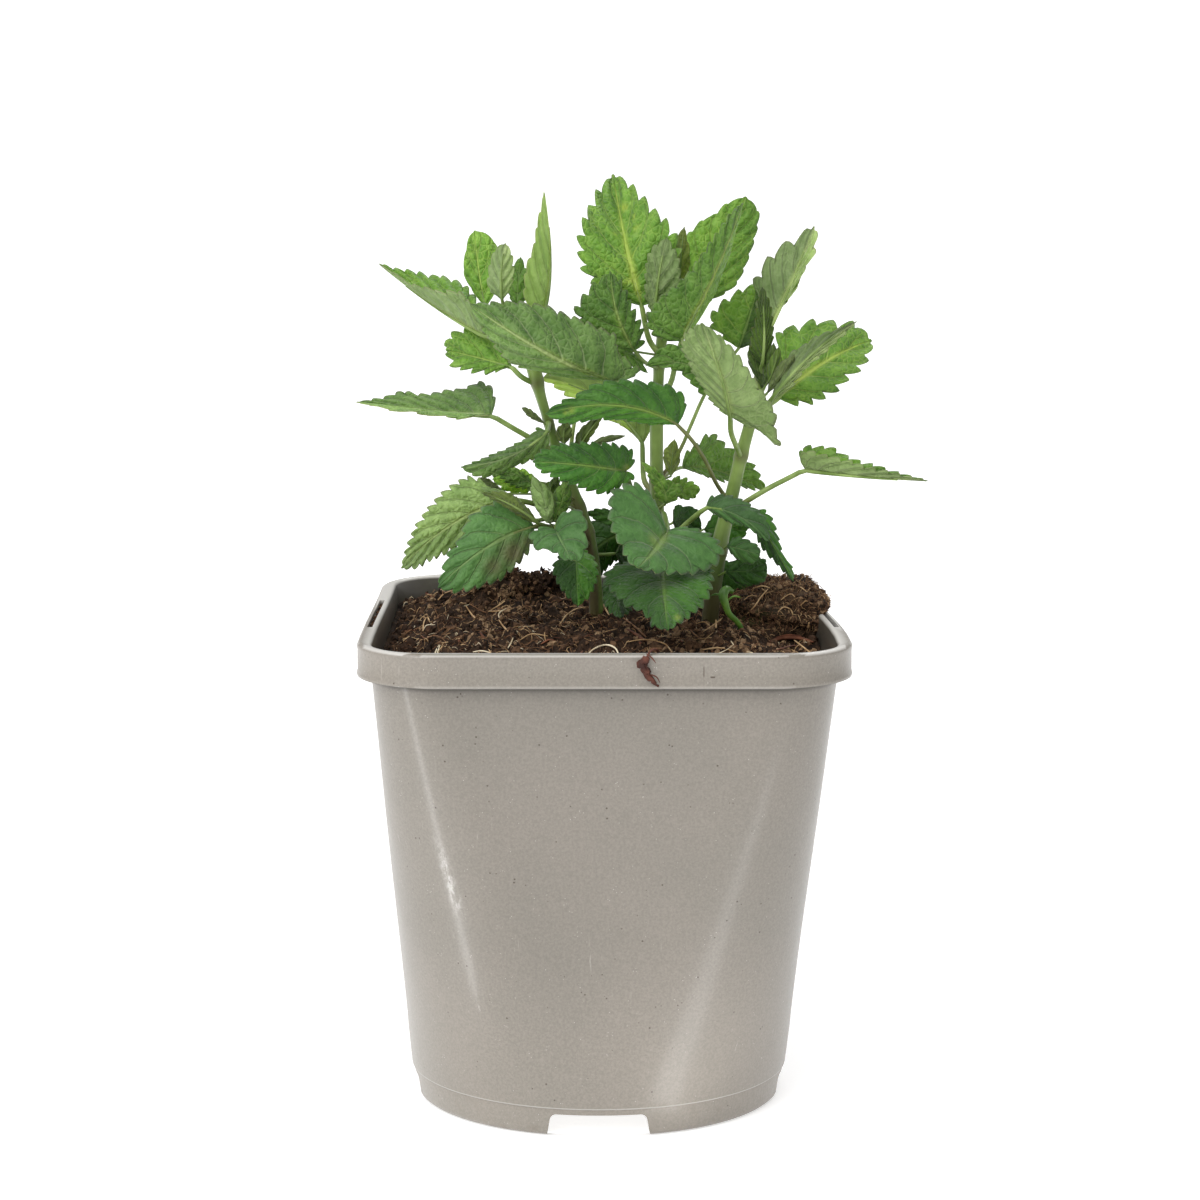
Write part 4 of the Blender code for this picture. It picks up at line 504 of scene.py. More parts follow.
# ---------------------------------------------------------------- leaf materials
def leaf_material(name, deep, light, vein, rim, through, rough=0.46, under=False, quilt=1.0, rim_on=0.5, crinkle=1.0, lace=1.0, glow=0.34):
    """deep and light are mixed by soft patches; vein colours the network."""
    n = Nodes(name)
    uvn = n.node("ShaderNodeUVMap", uv_map="blade").outputs[0]
    sep = n.node("ShaderNodeSeparateXYZ", {0: uvn})
    phi, w = sep.outputs[0], sep.outputs[1]
    # side veins: one where the phase passes a whole number, wavering a little
    waver = n.math("MULTIPLY", n.math("SUBTRACT", n.noise(260, 2), 0.5), 0.22)
    ph = n.math("ADD", phi, waver)
    d = n.math("ABSOLUTE", n.math("SUBTRACT", n.math("FRACT", n.math("ADD", ph, 0.5)), 0.5))
    wide = n.step(w, 0.0, 1.0, 0.085, 0.03)
    side = n.math("SUBTRACT", 1.0, n.math("DIVIDE", d, wide), clamp=True)
    side = n.math("MULTIPLY", side, n.step(w, 0.8, 1.0, 1.0, 0.25))
    mid = n.step(w, 0.02, 0.075, 1.0, 0.0)
    # fine network between them
    v1 = n.voronoi(560, "DISTANCE_TO_EDGE")
    net = n.step(v1, 0.0, 0.2, 1.0, 0.0)
    v2 = n.voronoi(1300, "DISTANCE_TO_EDGE")
    net2 = n.step(v2, 0.0, 0.2, 1.0, 0.0)
    strong = n.math("MAXIMUM", mid, side)
    web = n.math("MAXIMUM", n.math("MULTIPLY", net, 0.42), n.math("MULTIPLY", net2, 0.16))
    web = n.math("MULTIPLY", web, n.step(n.noise(110, 2), 0.35, 0.62, 0.35 * crinkle * lace, crinkle * lace))
    vein_all = n.math("MAXIMUM", strong, web)
    patch = n.math("ADD", n.math("MULTIPLY", n.step(n.noise(60, 3, 0.6), 0.34, 0.66), 0.5),
                   n.math("MULTIPLY", n.step(n.noise(260, 3, 0.65), 0.36, 0.64), 0.5))
    fine = n.noise(900, 2)
    base = n.mix(patch, deep, light)
    # between the side veins the blade swells, and its colour is lifted towards the light tone there: a painted
    # highlight
    swell = n.step(d, 0.1, 0.42)
    base = n.mix(n.math("MULTIPLY", swell, 0.30 * quilt), base, light)
    # painted shade: the upper face is darkened in the grooves along the side veins
    groove_shade = n.math("MULTIPLY", n.step(d, 0.03, 0.16, 1.0, 0.0), n.step(w, 0.04, 0.3))
    base = n.mix(n.math("MULTIPLY", groove_shade, 0.0 if under else 0.2), base, n.mix(1.0, deep, (0.62, 0.68, 0.6), "MULTIPLY"))
    base = n.mix(n.math("MULTIPLY", n.math("SUBTRACT", fine, 0.35, clamp=True), 0.5), base, deep)
    base = n.mix(n.math("MULTIPLY", vein_all, 0.66 if under else 0.62), base, vein)
    edge = n.step(w, 0.93, 1.0)
    base = n.mix(n.math("MULTIPLY", edge, rim_on), base, rim)
    shade = n.attr("shade")          # 0..1, 0.5 plain: the leaf or one side of it painted darker or lighter, partly its own tone, partly painted light and shade
    base = n.mix(n.step(shade, 0.5, 1.0, 0.0, 1.0), base, n.mix(1.0, base, (1.62, 1.5, 1.6), "MULTIPLY"))
    base = n.mix(n.step(shade, 0.0, 0.5, 0.8, 0.0), base, n.mix(1.0, base, (0.42, 0.46, 0.45), "MULTIPLY"))
    base = n.mix(n.attr("spot"), base, lin(196, 205, 96))
    base = n.mix(n.attr("stain"), base, lin(112, 98, 72))
    height = n.math("SUBTRACT", n.math("MULTIPLY", swell, 0.6), n.math("MULTIPLY", vein_all, 0.9))
    if under:
        height = n.math("MULTIPLY", height, -1.0)
    cells = n.step(v1, 0.0, 0.5)
    height = n.math("ADD", height, n.math("MULTIPLY", cells, (0.8 if not under else -0.5) * crinkle))
    height = n.math("ADD", height, n.math("MULTIPLY", n.noise(2200, 2), 0.3))
    nrm = n.bump(height, 0.0005, 1.0)
    n.surface(base, n.math("ADD", rough, n.math("MULTIPLY", n.math("SUBTRACT", n.noise(400, 2), 0.5), 0.2)), nrm)
    n.bsdf.inputs["Specular IOR Level"].default_value = 0.22 if under else 0.34
    n.bsdf.inputs["Sheen Weight"].default_value = 0.12
    n.bsdf.inputs["Sheen Roughness"].default_value = 0.5
    tr = n.node("ShaderNodeBsdfTranslucent", {"Color": n.mix(1.0, base, through, "MULTIPLY")})
    mx = n.node("ShaderNodeMixShader", {0: glow})
    n.t.links.new(n.bsdf.outputs[0], mx.inputs[1])
    n.t.links.new(tr.outputs[0], mx.inputs[2])
    n.t.links.new(mx.outputs[0], n.out.inputs["Surface"])
    return n.m


YG = (1.9, 1.75, 0.9)
UPPER = {
    "bright": leaf_material("leaf_bright", lin(82, 130, 38), lin(124, 169, 66), lin(182, 210, 108), lin(120, 150, 80), YG, crinkle=0.85, lace=1.4),
    "mid": leaf_material("leaf_mid", lin(66, 108, 32), lin(108, 149, 58), lin(150, 178, 104), lin(110, 116, 84), YG),
    "dark": leaf_material("leaf_dark", lin(42, 94, 22), lin(78, 129, 42), lin(112, 156, 70), lin(92, 112, 76), YG, crinkle=0.6),
    "blue": leaf_material("leaf_blue", lin(58, 100, 44), lin(92, 137, 72), lin(126, 160, 98), lin(110, 116, 100), YG, crinkle=0.32, quilt=0.4),
    "grey": leaf_material("leaf_grey", lin(72, 108, 42), lin(114, 148, 78), lin(170, 190, 140), lin(104, 96, 76), YG, rough=0.5, crinkle=0.75),
    "lime": leaf_material("leaf_lime", lin(104, 136, 66), lin(152, 180, 114), lin(170, 194, 130), lin(128, 118, 112), YG, rough=0.5, crinkle=0.6, quilt=0.3),
    "olive": leaf_material("leaf_olive", lin(60, 90, 26), lin(94, 120, 50), lin(130, 148, 84), lin(88, 84, 50), YG),
    "brown": leaf_material("leaf_brown", lin(86, 106, 50), lin(114, 132, 74), lin(140, 152, 100), lin(96, 80, 58), YG),
}
UNDER = {
    "green": leaf_material("under_green", lin(108, 134, 74), lin(146, 168, 110), lin(176, 192, 140), lin(120, 122, 92), YG, 0.6, True, crinkle=0.6, quilt=0.4, lace=1.3),
    "deep": leaf_material("under_deep", lin(62, 88, 30), lin(94, 122, 50), lin(104, 126, 60), lin(90, 72, 50), YG, 0.6, True, crinkle=0.6),
    "pale": leaf_material("under_pale", lin(120, 144, 86), lin(158, 178, 124), lin(186, 200, 154), lin(134, 132, 104), YG, 0.6, True, crinkle=0.6, quilt=0.4, lace=1.2),
    # painted light: these undersides are lifted far paler than the others, standing for leaves lit from behind
    "glow": leaf_material("under_painted_backlight", lin(164, 190, 108), lin(200, 220, 150), lin(214, 228, 172), lin(140, 138, 108), YG, 0.6, True, crinkle=0.4, quilt=0.3, glow=0.5),
    "brown": leaf_material("under_brown", lin(84, 104, 40), lin(114, 134, 64), lin(146, 158, 100), lin(90, 72, 50), YG, 0.6, True),
}


# ---------------------------------------------------------------- leaf meshes
def leaf_grid(leaf, teeth=None, tooth=None, quilt=0.3, veins=None, ruffle=0.35, cup=0.06, v_steps=8, per=8,
              smooth_rim=False, seed=0.0, reach=0.55):
    """Fine blade: returns vertices, faces, material index (0 upper, 1 under), uv, s and signed v."""
    n_teeth = teeth or max(int(round(leaf[12] * 1.35)), 4)
    span = np.linalg.norm(at(*leaf[5]) - at(*leaf[3]))
    n_side = veins or int(np.clip(round(span / 6.0), 3, 8))
    # stations along the edge follow the teeth
    s = [0.012]
    lo, hi = 0.05, 0.975
    cell = np.array([0.0, 0.16, 0.34, 0.54, 0.72, 0.86, 0.95]) if per >= 7 else np.array([0.0, 0.25, 0.55, 0.82, 0.94])
    phase = [0.0]
    amp = [0.0]
    for k in range(n_teeth):
        for p in cell:
            s.append(lo + (hi - lo) * (k + p) / n_teeth)
            phase.append(p)
            amp.append(1.0)
    s.append(hi)
    phase.append(0.0)
    amp.append(1.0)
    s.append(0.99)
    phase.append(0.0)
    amp.append(0.0)
    s, phase, amp = np.array(s), np.array(phase), np.array(amp)
    prof = np.where(phase < 0.74, 1 - np.maximum(1 - phase / 0.74, 0) ** 1.8, 1 - (np.maximum(phase - 0.74, 0) / 0.26) ** 1.35)
    env = amp * ease(0.05, 0.13, s) * (1 - 0.65 * ease(0.86, 1.0, s))
    v = np.linspace(0, 1, v_steps + 1) ** 0.92
    rows = []
    upper_n = None
    cols = []
    eye = np.array(EYE) + np.array([PLANT_X, 0, 0])
    data = []
    for side in (0, 1):
        e, m = blade_edge(leaf, side, s)
        E, M = at_all(e), at_all(m)
        data.append((E, M))
    M = data[0][1]
    tang = unit(np.gradient(M, axis=0))
    nA = np.cross(data[0][0] - M, tang)
    nC = np.cross(tang, data[1][0] - M)
    nA, nC = unit(nA), unit(nC)
    k = slice(len(s) // 4, 3 * len(s) // 4)
    front = np.sum(nA[k] * unit(eye - M[k]), axis=1).mean()
    sgn = (1.0 if front > 0 else -1.0) * leaf[10]
    nM = unit(nA + nC) * sgn
    out = []
    for side, N in ((0, nA * sgn), (1, nC * sgn)):
        E, M = data[side]
        half = np.linalg.norm(E - M, axis=1)
        size = tooth if tooth else np.clip(0.040 * span, 0.35, 1.5)
        o = unit(E - M)
        tau = unit(np.gradient(E, axis=0))
        N2 = unit(np.cross(o, tau))
        N2 = N2 * np.sign(np.sum(N2 * N, axis=1))[:, None]
        jitter = 1 + 0.25 * np.sin(np.floor((s - lo) / (hi - lo) * n_teeth + 1e-6) * 2.7 + side * 1.9 + seed)
        off = size * env * jitter
        outward = unit(o - tau * np.sum(o * tau, axis=1)[:, None])
        tip_shift = np.where(phase > 0.3, 1.0, phase / 0.3) * prof
        Et = E + outward * (off * (prof - 0.72))[:, None] + tau * (off * 0.45 * tip_shift)[:, None]
        grid = np.zeros((len(s), len(v), 3))
        for j, t in enumerate(v):
            blend = t ** 5
            base = M + (E - M) * t + (Et - E) * blend
            normal = unit(nM * (1 - ease(0.0, 0.5, t)) + N * ease(0.0, 0.5, t))
            ph = n_side * (s ** 1.1 - 0.0) - n_side * reach * 0.42 * t ** 1.15
            dd = np.abs((ph + 0.5) % 1.0 - 0.5)
            dome = ease(0.06, 0.46, dd) - 0.5
            dome = dome * ease(0.03, 0.25, t) * (1 - 0.55 * ease(0.75, 1.0, t)) * ease(0.0, 0.12, s) * (1 - ease(0.85, 1.0, s))
            h = quilt * dome * min(1.0, span / 30.0)
            h = h - 0.22 * (1 - ease(0.0, 0.10, t)) * ease(0.0, 0.1, s) * (1 - s)
            bow = cup * half * 4 * t * (1 - t) * 0.5
            wave = ruffle * t * t * np.sin(2 * np.pi * (n_side * 0.5 * s + 0.31 * side + seed)) * np.sin(np.pi * s)
            grid[:, j] = base + normal * (h + bow + wave * min(1.0, span / 28.0))[:, None]
        out.append((grid, N))
    left, right = out[0][0], out[1][0]
    # the middle row is shared
    middle = 0.5 * (left[:, 0] + right[:, 0])
    full = np.concatenate([left[:, :0:-1], middle[:, None], right[:, 1:]], axis=1)   # rows x (2V+1)
    signed = np.concatenate([-v[:0:-1], [0.0], v[1:]])
    R, C = full.shape[:2]
    du = np.gradient(full, axis=0)
    dv = np.gradient(full, axis=1)
    nn = unit(np.cross(du, dv))
    want = np.concatenate([np.repeat((nA * sgn)[:, None], v_steps, 1), nM[:, None],
                           np.repeat((nC * sgn)[:, None], v_steps, 1)], axis=1)
    nn = nn * np.where(np.sum(nn * want, axis=2) < 0, -1.0, 1.0)[..., None]
    # soften the normals so that the two faces never cross
    nn = unit(nn + 0.5 * np.roll(nn, 1, 0) + 0.5 * np.roll(nn, -1, 0))
    th = 0.17 - 0.07 * np.abs(signed)[None, :] ** 3
    top = full + nn * th[..., None]
    bot = full - nn * th[..., None]
    B, T = at(*leaf[3]), at(*leaf[5])
    verts = np.vstack([top.reshape(-1, 3), bot.reshape(-1, 3), B[None], T[None]])
    f, idx = [], []
    flip = np.sum(np.cross(full[R // 2, v_steps + 1] - full[R // 2, v_steps], full[R // 2 + 1, v_steps] - full[R // 2, v_steps]) * nn[R // 2, v_steps]) < 0

    def face(q, i):
        f.append(q[::-1] if flip else q)
        idx.append(i)
    o2 = R * C
    for r in range(R - 1):
        for c in range(C - 1):
            a, b, d, e = r * C + c, r * C + c + 1, (r + 1) * C + c + 1, (r + 1) * C + c
            face((a, b, d, e), 0)
            face((o2 + e, o2 + d, o2 + b, o2 + a), 1)
        a, e = r * C, (r + 1) * C
        face((a, e, o2 + e, o2 + a), 1)
        a, e = r * C + C - 1, (r + 1) * C + C - 1
        face((e, a, o2 + a, o2 + e), 1)
    ib, it = 2 * o2, 2 * o2 + 1
    for c in range(C - 1):
        face((c + 1, c, ib), 0)
        face((o2 + c, o2 + c + 1, ib), 1)
        a = (R - 1) * C + c
        face((a, a + 1, it), 0)
        face((o2 + a + 1, o2 + a, it), 1)
    face((0, o2, ib), 1)
    face((o2 + C - 1, C - 1, ib), 1)
    e = (R - 1) * C
    face((o2 + e, e, it), 1)
    face((e + C - 1, o2 + e + C - 1, it), 1)
    ss = np.repeat(s, C)
    vv = np.tile(signed, R)
    ph = n_side * ss ** 1.1 - n_side * reach * 0.42 * np.abs(vv) ** 1.15
    uv1 = np.column_stack([ph, np.abs(vv)])
    uv = np.vstack([uv1, uv1, [[0, 0]], [[ph.max(), 0]]])
    s_all = np.concatenate([ss, ss, [0], [1]])
    v_all = np.concatenate([vv, vv, [0], [0]])
    mids = middle - nM * 0.22
    return verts, f, idx, uv, s_all, v_all, mids, s

stem_mat = Nodes("stem_green")
_c = stem_mat.mix(stem_mat.step(stem_mat.noise(90, 3), 0.35, 0.7), lin(92, 118, 44), lin(124, 148, 72))
_s = stem_mat.noise(400, 3, 0.6, vec=stem_mat.coords((1, 1, 0.06)))
_c = stem_mat.mix(stem_mat.math("MULTIPLY", stem_mat.step(_s, 0.5, 0.75), 0.35), _c, lin(76, 102, 34))
# the shade attribute paints the stem lighter or darker: partly its own tone, partly painted shade
_h = stem_mat.attr("shade")
_c = stem_mat.mix(stem_mat.step(_h, 0.5, 1.0), _c, stem_mat.mix(1.0, _c, (1.62, 1.5, 1.6), "MULTIPLY"))
_c = stem_mat.mix(stem_mat.step(_h, 0.0, 0.5, 0.85, 0.0), _c, stem_mat.mix(1.0, _c, (0.4, 0.46, 0.38), "MULTIPLY"))
_c = stem_mat.mix(stem_mat.attr("stain"), _c, lin(78, 62, 38))
_c = stem_mat.mix(stem_mat.attr("spot"), _c, lin(176, 196, 126))
stem_mat.surface(_c, 0.42, stem_mat.bump(_s, 0.0003, 0.6), Specular_IOR_Level=0.4, Sheen_Weight=0.15)
STEM = stem_mat.m

stalk_mat = Nodes("stalk_green")
_c = stalk_mat.mix(stalk_mat.step(stalk_mat.noise(120, 3), 0.35, 0.7), lin(92, 116, 50), lin(132, 154, 86))
# the shade attribute paints the stalk lighter or darker: partly its own tone, partly painted light and shade
_h = stalk_mat.attr("shade")
_c = stalk_mat.mix(stalk_mat.step(_h, 0.5, 1.0), _c, stalk_mat.mix(1.0, _c, (1.62, 1.5, 1.6), "MULTIPLY"))
_c = stalk_mat.mix(stalk_mat.step(_h, 0.0, 0.5, 0.85, 0.0), _c, stalk_mat.mix(1.0, _c, (0.4, 0.46, 0.38), "MULTIPLY"))
_c = stalk_mat.mix(stalk_mat.attr("stain"), _c, lin(112, 92, 66))
stalk_mat.surface(_c, 0.45, stalk_mat.bump(stalk_mat.noise(900, 2), 0.0002, 0.5), Specular_IOR_Level=0.35)
STALK = stalk_mat.m

# leaf: upper material, under material, lighter or darker (0.5 plain; a pair sets side A and side C; partly the leaf's
# own tone, partly painted light and shade), extras
LOOK = {
    "leaf_left_high": ("bright", "pale", .5, dict(teeth=11, tooth=1.6, quilt=.5)),
    "leaf_left_bright": ("bright", "green", .45, dict(teeth=6, tooth=2.2, quilt=.5)),
    "leaf_front_large": ("grey", "green", (.62, .8), dict(teeth=15, tooth=1.3, quilt=.6, veins=6)),
    "leaf_left_upright": ("bright", "green", .69, dict(tooth=.25, quilt=.12)),
    "leaf_left_young_pale": ("mid", "pale", (.52, .96), dict(quilt=.25, tooth=.6, veins=5)),
    "leaf_left_young_dark": ("mid", "green", .4, dict(quilt=.4)),
    "leaf_left_spire": ("bright", "glow", (.42, .8), dict(tooth=.7, teeth=8, quilt=.12)),
    "leaf_top_center": ("bright", "green", (.52, .56), dict(teeth=10, tooth=2.3, quilt=.7, veins=6)),
    "leaf_center_dark": ("mid", "green", (.32, .26), dict(teeth=8, tooth=1.8, quilt=.6, veins=5)),
    "leaf_young_pale": ("mid", "green", .5, dict(teeth=8, tooth=.8, quilt=.15, veins=5)),
    "leaf_young_brown": ("brown", "brown", (.76, 1.0), dict(tooth=.4)),
    "leaf_upper_front": ("mid", "green", (.46, .95), dict(teeth=16, tooth=1.1, quilt=.6, veins=7)),
    "leaf_upper_back": ("bright", "green", (.55, .3), dict(teeth=9, tooth=.55, quilt=.4, veins=6)),
    "leaf_right_high": ("bright", "pale", (.27, .95), dict(teeth=5, tooth=2.2, quilt=.5, veins=6)),
    "leaf_right_dark": ("mid", "green", (.775, 0.0), dict(teeth=6, tooth=1.7, quilt=.4)),
    "leaf_young_ridged": ("olive", "deep", (.68, .66), dict(quilt=.8, veins=9, teeth=8, tooth=.8)),
    "leaf_right_bud": ("olive", "deep", .92, dict(tooth=.3)),
    "leaf_right_bright": ("bright", "green", (.52, .44), dict(teeth=8, tooth=2.4, quilt=.7, veins=5)),
    "leaf_right_strip": ("olive", "green", (.26, .86), dict(teeth=9, tooth=.9, veins=6)),
    "leaf_right_pale": ("mid", "green", .67, dict(teeth=14, tooth=.85, quilt=.25, veins=7)),
    "leaf_behind_pale": ("mid", "green", .45, dict()),
    "leaf_far_right": ("mid", "green", .70, dict(teeth=11, tooth=1.2, quilt=.4)),
    "leaf_behind_center": ("mid", "green", (.46, .42), dict(teeth=10, tooth=1.5, quilt=.5)),
    "leaf_right_low_front": ("blue", "green", (.1, .42), dict(teeth=9, tooth=.9)),
    "leaf_right_drooping": ("dark", "green", (.6, 0.0), dict(teeth=8, tooth=1.0)),
    "leaf_right_behind_stem": ("dark", "green", .4, dict()),
    "leaf_right_bluegreen": ("blue", "green", (.28, .5), dict(tooth=.5)),
    "leaf_right_dark_low": ("dark", "green", .1, dict()),
    "leaf_center_shoot_a": ("mid", "green", .95, dict(tooth=.6)),
    "leaf_center_shoot_b": ("mid", "green", (.95, .74), dict(tooth=.5)),
    "leaf_center_bud": ("olive", "brown", .84, dict(tooth=.3)),
    "leaf_center_dark_back": ("dark", "green", (.2, 0.0), dict()),
    "leaf_heart_front": ("blue", "green", (.5, .6), dict(teeth=12, tooth=1.5, quilt=.3, veins=5)),
    "leaf_front_low": ("dark", "green", (.03, .38), dict(teeth=13, tooth=1.5, quilt=.4, veins=5)),
    "leaf_front_low_dark": ("dark", "green", (0.0, .05), dict(tooth=1.0)),
    "leaf_left_heart": ("blue", "green", .46, dict(teeth=5, tooth=1.0, quilt=.25, veins=4)),
    "leaf_left_bluegreen": ("blue", "green", (.68, .64), dict(teeth=10, tooth=1.4, quilt=.12, veins=5)),
    "leaf_left_pale": ("lime", "green", (.66, .46), dict(teeth=15, tooth=1.4, quilt=.14, veins=7)),
    "leaf_left_small_bright": ("bright", "green", (1.0, 1.0), dict(tooth=.7)),
    "leaf_left_grey": ("brown", "brown", .45, dict(tooth=.6)),
    "leaf_left_curled": ("grey", "green", (.35, .74), dict(teeth=10, tooth=.8)),
    "leaf_left_narrow": ("grey", "green", (.58, 1.0), dict(teeth=13, tooth=1.1)),
    "leaf_front_center": ("dark", "green", (.34, .8), dict(teeth=11, tooth=1.1, quilt=.45, veins=6)),
    "leaf_front_left": ("dark", "green", (.31, .72), dict(teeth=12, tooth=1.2, quilt=.4, veins=5)),
    "leaf_behind_large": ("lime", "glow", (.15, .66), dict(tooth=1.2)),
    "leaf_left_bud_a": ("olive", "brown", .3, dict(tooth=.3)),
    "leaf_left_bud_b": ("olive", "brown", (0.0, .7), dict(tooth=.3)),
    "leaf_left_center_down": ("dark", "green", (0.0, .98), dict(teeth=8, tooth=.9)),
    "leaf_center_shade": ("dark", "green", .02, dict()),
    "leaf_center_small_dark": ("dark", "green", (.1, .25), dict()),
    "leaf_left_shoot_a": ("olive", "deep", .5, dict(tooth=.4)),
    "leaf_left_shoot_b": ("olive", "green", 0.0, dict(tooth=.3)),
}
# yellowed spots and brown patches: leaf, drawn x, drawn z, radius, attribute, strength
MARKS = [
    ("leaf_top_center", 4.3, 243, .8, "spot", .8), ("leaf_top_center", 7.7, 237.5, .6, "spot", .9),
    ("leaf_top_center", 5, 223, .7, "spot", .8), ("leaf_top_center", 7.0, 240.5, .5, "spot", .6),
    ("leaf_top_center", 6.2, 229, .5, "spot", .5), ("leaf_top_center", 2.0, 236, .5, "spot", .35),
    ("leaf_front_center", -10, 188.3, .9, "spot", .4), ("leaf_front_center", -11.5, 187.6, .6, "spot", .4),
    ("leaf_front_left", 5, 172.5, 1.0, "spot", .35),
    ("leaf_heart_front", 12.5, 153, 1.3, "spot", .22), ("leaf_front_low", 19, 131.5, .8, "spot", .4),
    ("leaf_left_bluegreen", -25.5, 149, 4.2, "stain", .75), ("leaf_left_bluegreen", -31, 145.5, 3.0, "stain", .6),
    ("leaf_left_bluegreen", -22, 152, 2.4, "stain", .6),
]
# small leaves that have no solid of their own: stem, height, stalk, base, middle, tip, A, C, slopes, face, tone, teeth
TINY = {
    "tiny_leaf_left_a": ("stem_left", 181, [], (-17.3, 184.8, -2), (-20.3, 186.6, -2), (-23.4, 189, -2),
                         [(-19.4, 187.3), (-22, 189)], [(-19, 185.2), (-22, 187)], .3, .3, 1, "brown", 2),
    "tiny_leaf_left_b": ("stem_left", 174, [], (-6, 178, -4), (-1, 180.2, -5), (4.7, 181.3, -6),
                         [(-3, 180.3), (1.5, 181.6)], [(-2.6, 178.8), (1.8, 180)], .3, .3, 1, "brown", 3),
    "tiny_leaf_left_c": ("stem_left", 165, [], (-28, 165.5, -8), (-31.6, 168.2, -8), (-34.8, 170, -8),
                         [(-30.3, 168.2), (-33, 169.9)], [(-30, 166.3), (-33, 168)], .3, .3, 1, "brown", 3),
    "tiny_leaf_left_d": ("stem_left", 155, [], (-15.5, 157, -15), (-17.8, 160.7, -15), (-19.5, 164, -16),
                         [(-18, 159.5), (-19.8, 162.5)], [(-15.8, 159.7), (-18, 162.8)], .3, .3, 1, "bright", 3),
    "tiny_leaf_center": ("stem_center", 203, [], (2, 205, -4), (6.6, 202.6, -6), (10.7, 198.3, -6),
                         [(6, 204.5), (9, 201.5)], [(4, 201.5), (8, 199.3)], .2, .2, 1, "mid", 4),
    "tiny_bud_left_a": ("stem_left", 164, [], (-13.4, 167, -6), (-14.2, 169.2, -7), (-14.5, 171, -7),
                        [(-14.8, 168.4)], [(-13.1, 169)], .3, .3, 1, "olive", 2),
    "tiny_bud_center_a": ("stem_center", 164, [], (16.3, 166.6, -3), (17.6, 168.6, -4), (19.5, 170.5, -4),
                          [(16.5, 168.3), (18, 170)], [(18.1, 167.8), (19.4, 169)], .3, .3, 1, "bright", 2),
    "tiny_bud_center_b": ("stem_center", 164, [], (17.3, 166.2, -3), (19.6, 168, -4), (21.5, 170, -4),
                          [(18.4, 168.1), (20.4, 169.8)], [(19.4, 166.6), (21.3, 168.4)], .3, .3, 1, "bright", 2),
    "tiny_leaf_right_a": ("stem_right", 191, [], (41.7, 194, -6), (39.9, 200.5, -7), (38.6, 207.5, -7),
                          [(40, 197), (37.6, 201.5), (37.8, 205)], [(42.3, 197.5), (41.8, 202.5), (40.2, 206)], .3, .3, 1, "olive", 4),
    "tiny_leaf_right_b": ("stem_right", 190, [], (42.3, 194.5, -8), (43.9, 200, -9), (44.6, 206.6, -9),
                          [(41.9, 198), (42.3, 202.8)], [(44.6, 197.5), (46.2, 202)], .3, .3, 1, "olive", 4),
    "tiny_leaf_right_c": ("stem_right", 189, [], (43, 193, -11), (46.6, 197.6, -12), (50.3, 203.5, -12),
                          [(43.6, 196.5), (46.6, 201.2)], [(45.9, 195.2), (49.8, 200.2)], .4, .3, 1, "brown", 4),
    "tiny_leaf_left_e": ("stem_left", 160, [], (-20, 158, -18), (-26.5, 163.8, -19), (-34.4, 167.4, -17),
                         [(-22.5, 162.3), (-28.5, 166.4)], [(-23, 159.2), (-28.5, 162.2), (-32.4, 165.3)], .4, .3, 1, "pale", 5),
    "tiny_leaf_left_f": ("stem_left", 160, [], (-16.6, 157.5, -19), (-17.5, 164.5, -20), (-20.5, 170.6, -20),
                         [(-19.3, 161), (-21, 165.5)], [(-14.5, 161), (-15.4, 166)], .3, .3, 1, "pale", 4),
    "tiny_leaf_left_g": ("stem_left", 158, [], (-14.8, 157.8, -17), (-12.4, 164, -18), (-11.2, 169.8, -18),
                         [(-15.6, 161), (-14.9, 165.5)], [(-11.4, 160.8), (-9.8, 165)], .3, .3, 1, "young", 4),
    # fill leaves: dark leaves set into the gaps of the foliage, painted deep in shade by their tone
    "fill_leaf_center_a": ("stem_center", 150, [], (8, 156, 8), (-1.5, 152, 6), (-8, 144.5, 4),
                           [(4, 160), (-4, 158.5), (-8.6, 151)], [(6, 151), (0.5, 145.5), (-4, 142)], .2, .2, 1, "shade", 8),
    "fill_leaf_center_b": ("stem_center", 146, [], (9.5, 149, 10), (4.5, 140, 8), (-1.5, 133.5, 6),
                           [(4, 147.5), (-1.5, 141)], [(9.5, 143), (4.5, 136.4)], .2, .2, 1, "shade", 6),
    "fill_leaf_center_c": ("stem_center", 150, [], (15.5, 154, 10), (22.5, 146.5, 9), (26.8, 139, 8),
                           [(20, 152.6), (25.6, 146)], [(17.2, 147.5), (21.8, 141)], .2, .2, 1, "shade", 6),
    "fill_leaf_right_k": ("stem_right", 147, [], (29.5, 147, 6), (34.5, 141.5, 6), (42, 136.5, 6),
                          [(35, 146.8), (40.5, 142.8)], [(28.6, 140.5), (34, 135.6)], .15, .15, 1, "shade", 6),
    "fill_leaf_left_h": ("stem_left", 166, [], (-19.5, 167, -4), (-24.5, 170.5, -3), (-30.6, 171.5, -2),
                         [(-22, 170.5), (-27, 173)], [(-22.3, 166.7), (-27.3, 168.4)], .2, .2, 1, "mid", 5),
}
TINY_LOOK = {"brown": ("brown", "brown"), "bright": ("bright", "green"), "mid": ("mid", "green"), "olive": ("olive", "brown"),
             "pale": ("lime", "pale"), "young": ("bright", "green"), "shade": ("dark", "green")}
# how light each tone is painted: partly the leaves' own tone, partly painted shade
TINY_SHADE = {"shade": .12, "pale": .42, "young": .12, "brown": .5}


# stalks painted lighter or darker: partly their own tone, partly painted light and shade
STALK_SHADE = {"leaf_top_center": .9, "leaf_front_center": .24, "leaf_front_left": .35, "leaf_right_high": .8, "leaf_right_dark": .7,
               "leaf_right_bright": .66, "leaf_far_right": .6, "leaf_left_narrow": .6, "leaf_left_high": .6,
               "leaf_heart_front": .55, "leaf_center_shade": .2, "leaf_center_small_dark": .2, "leaf_left_center_down": .3}
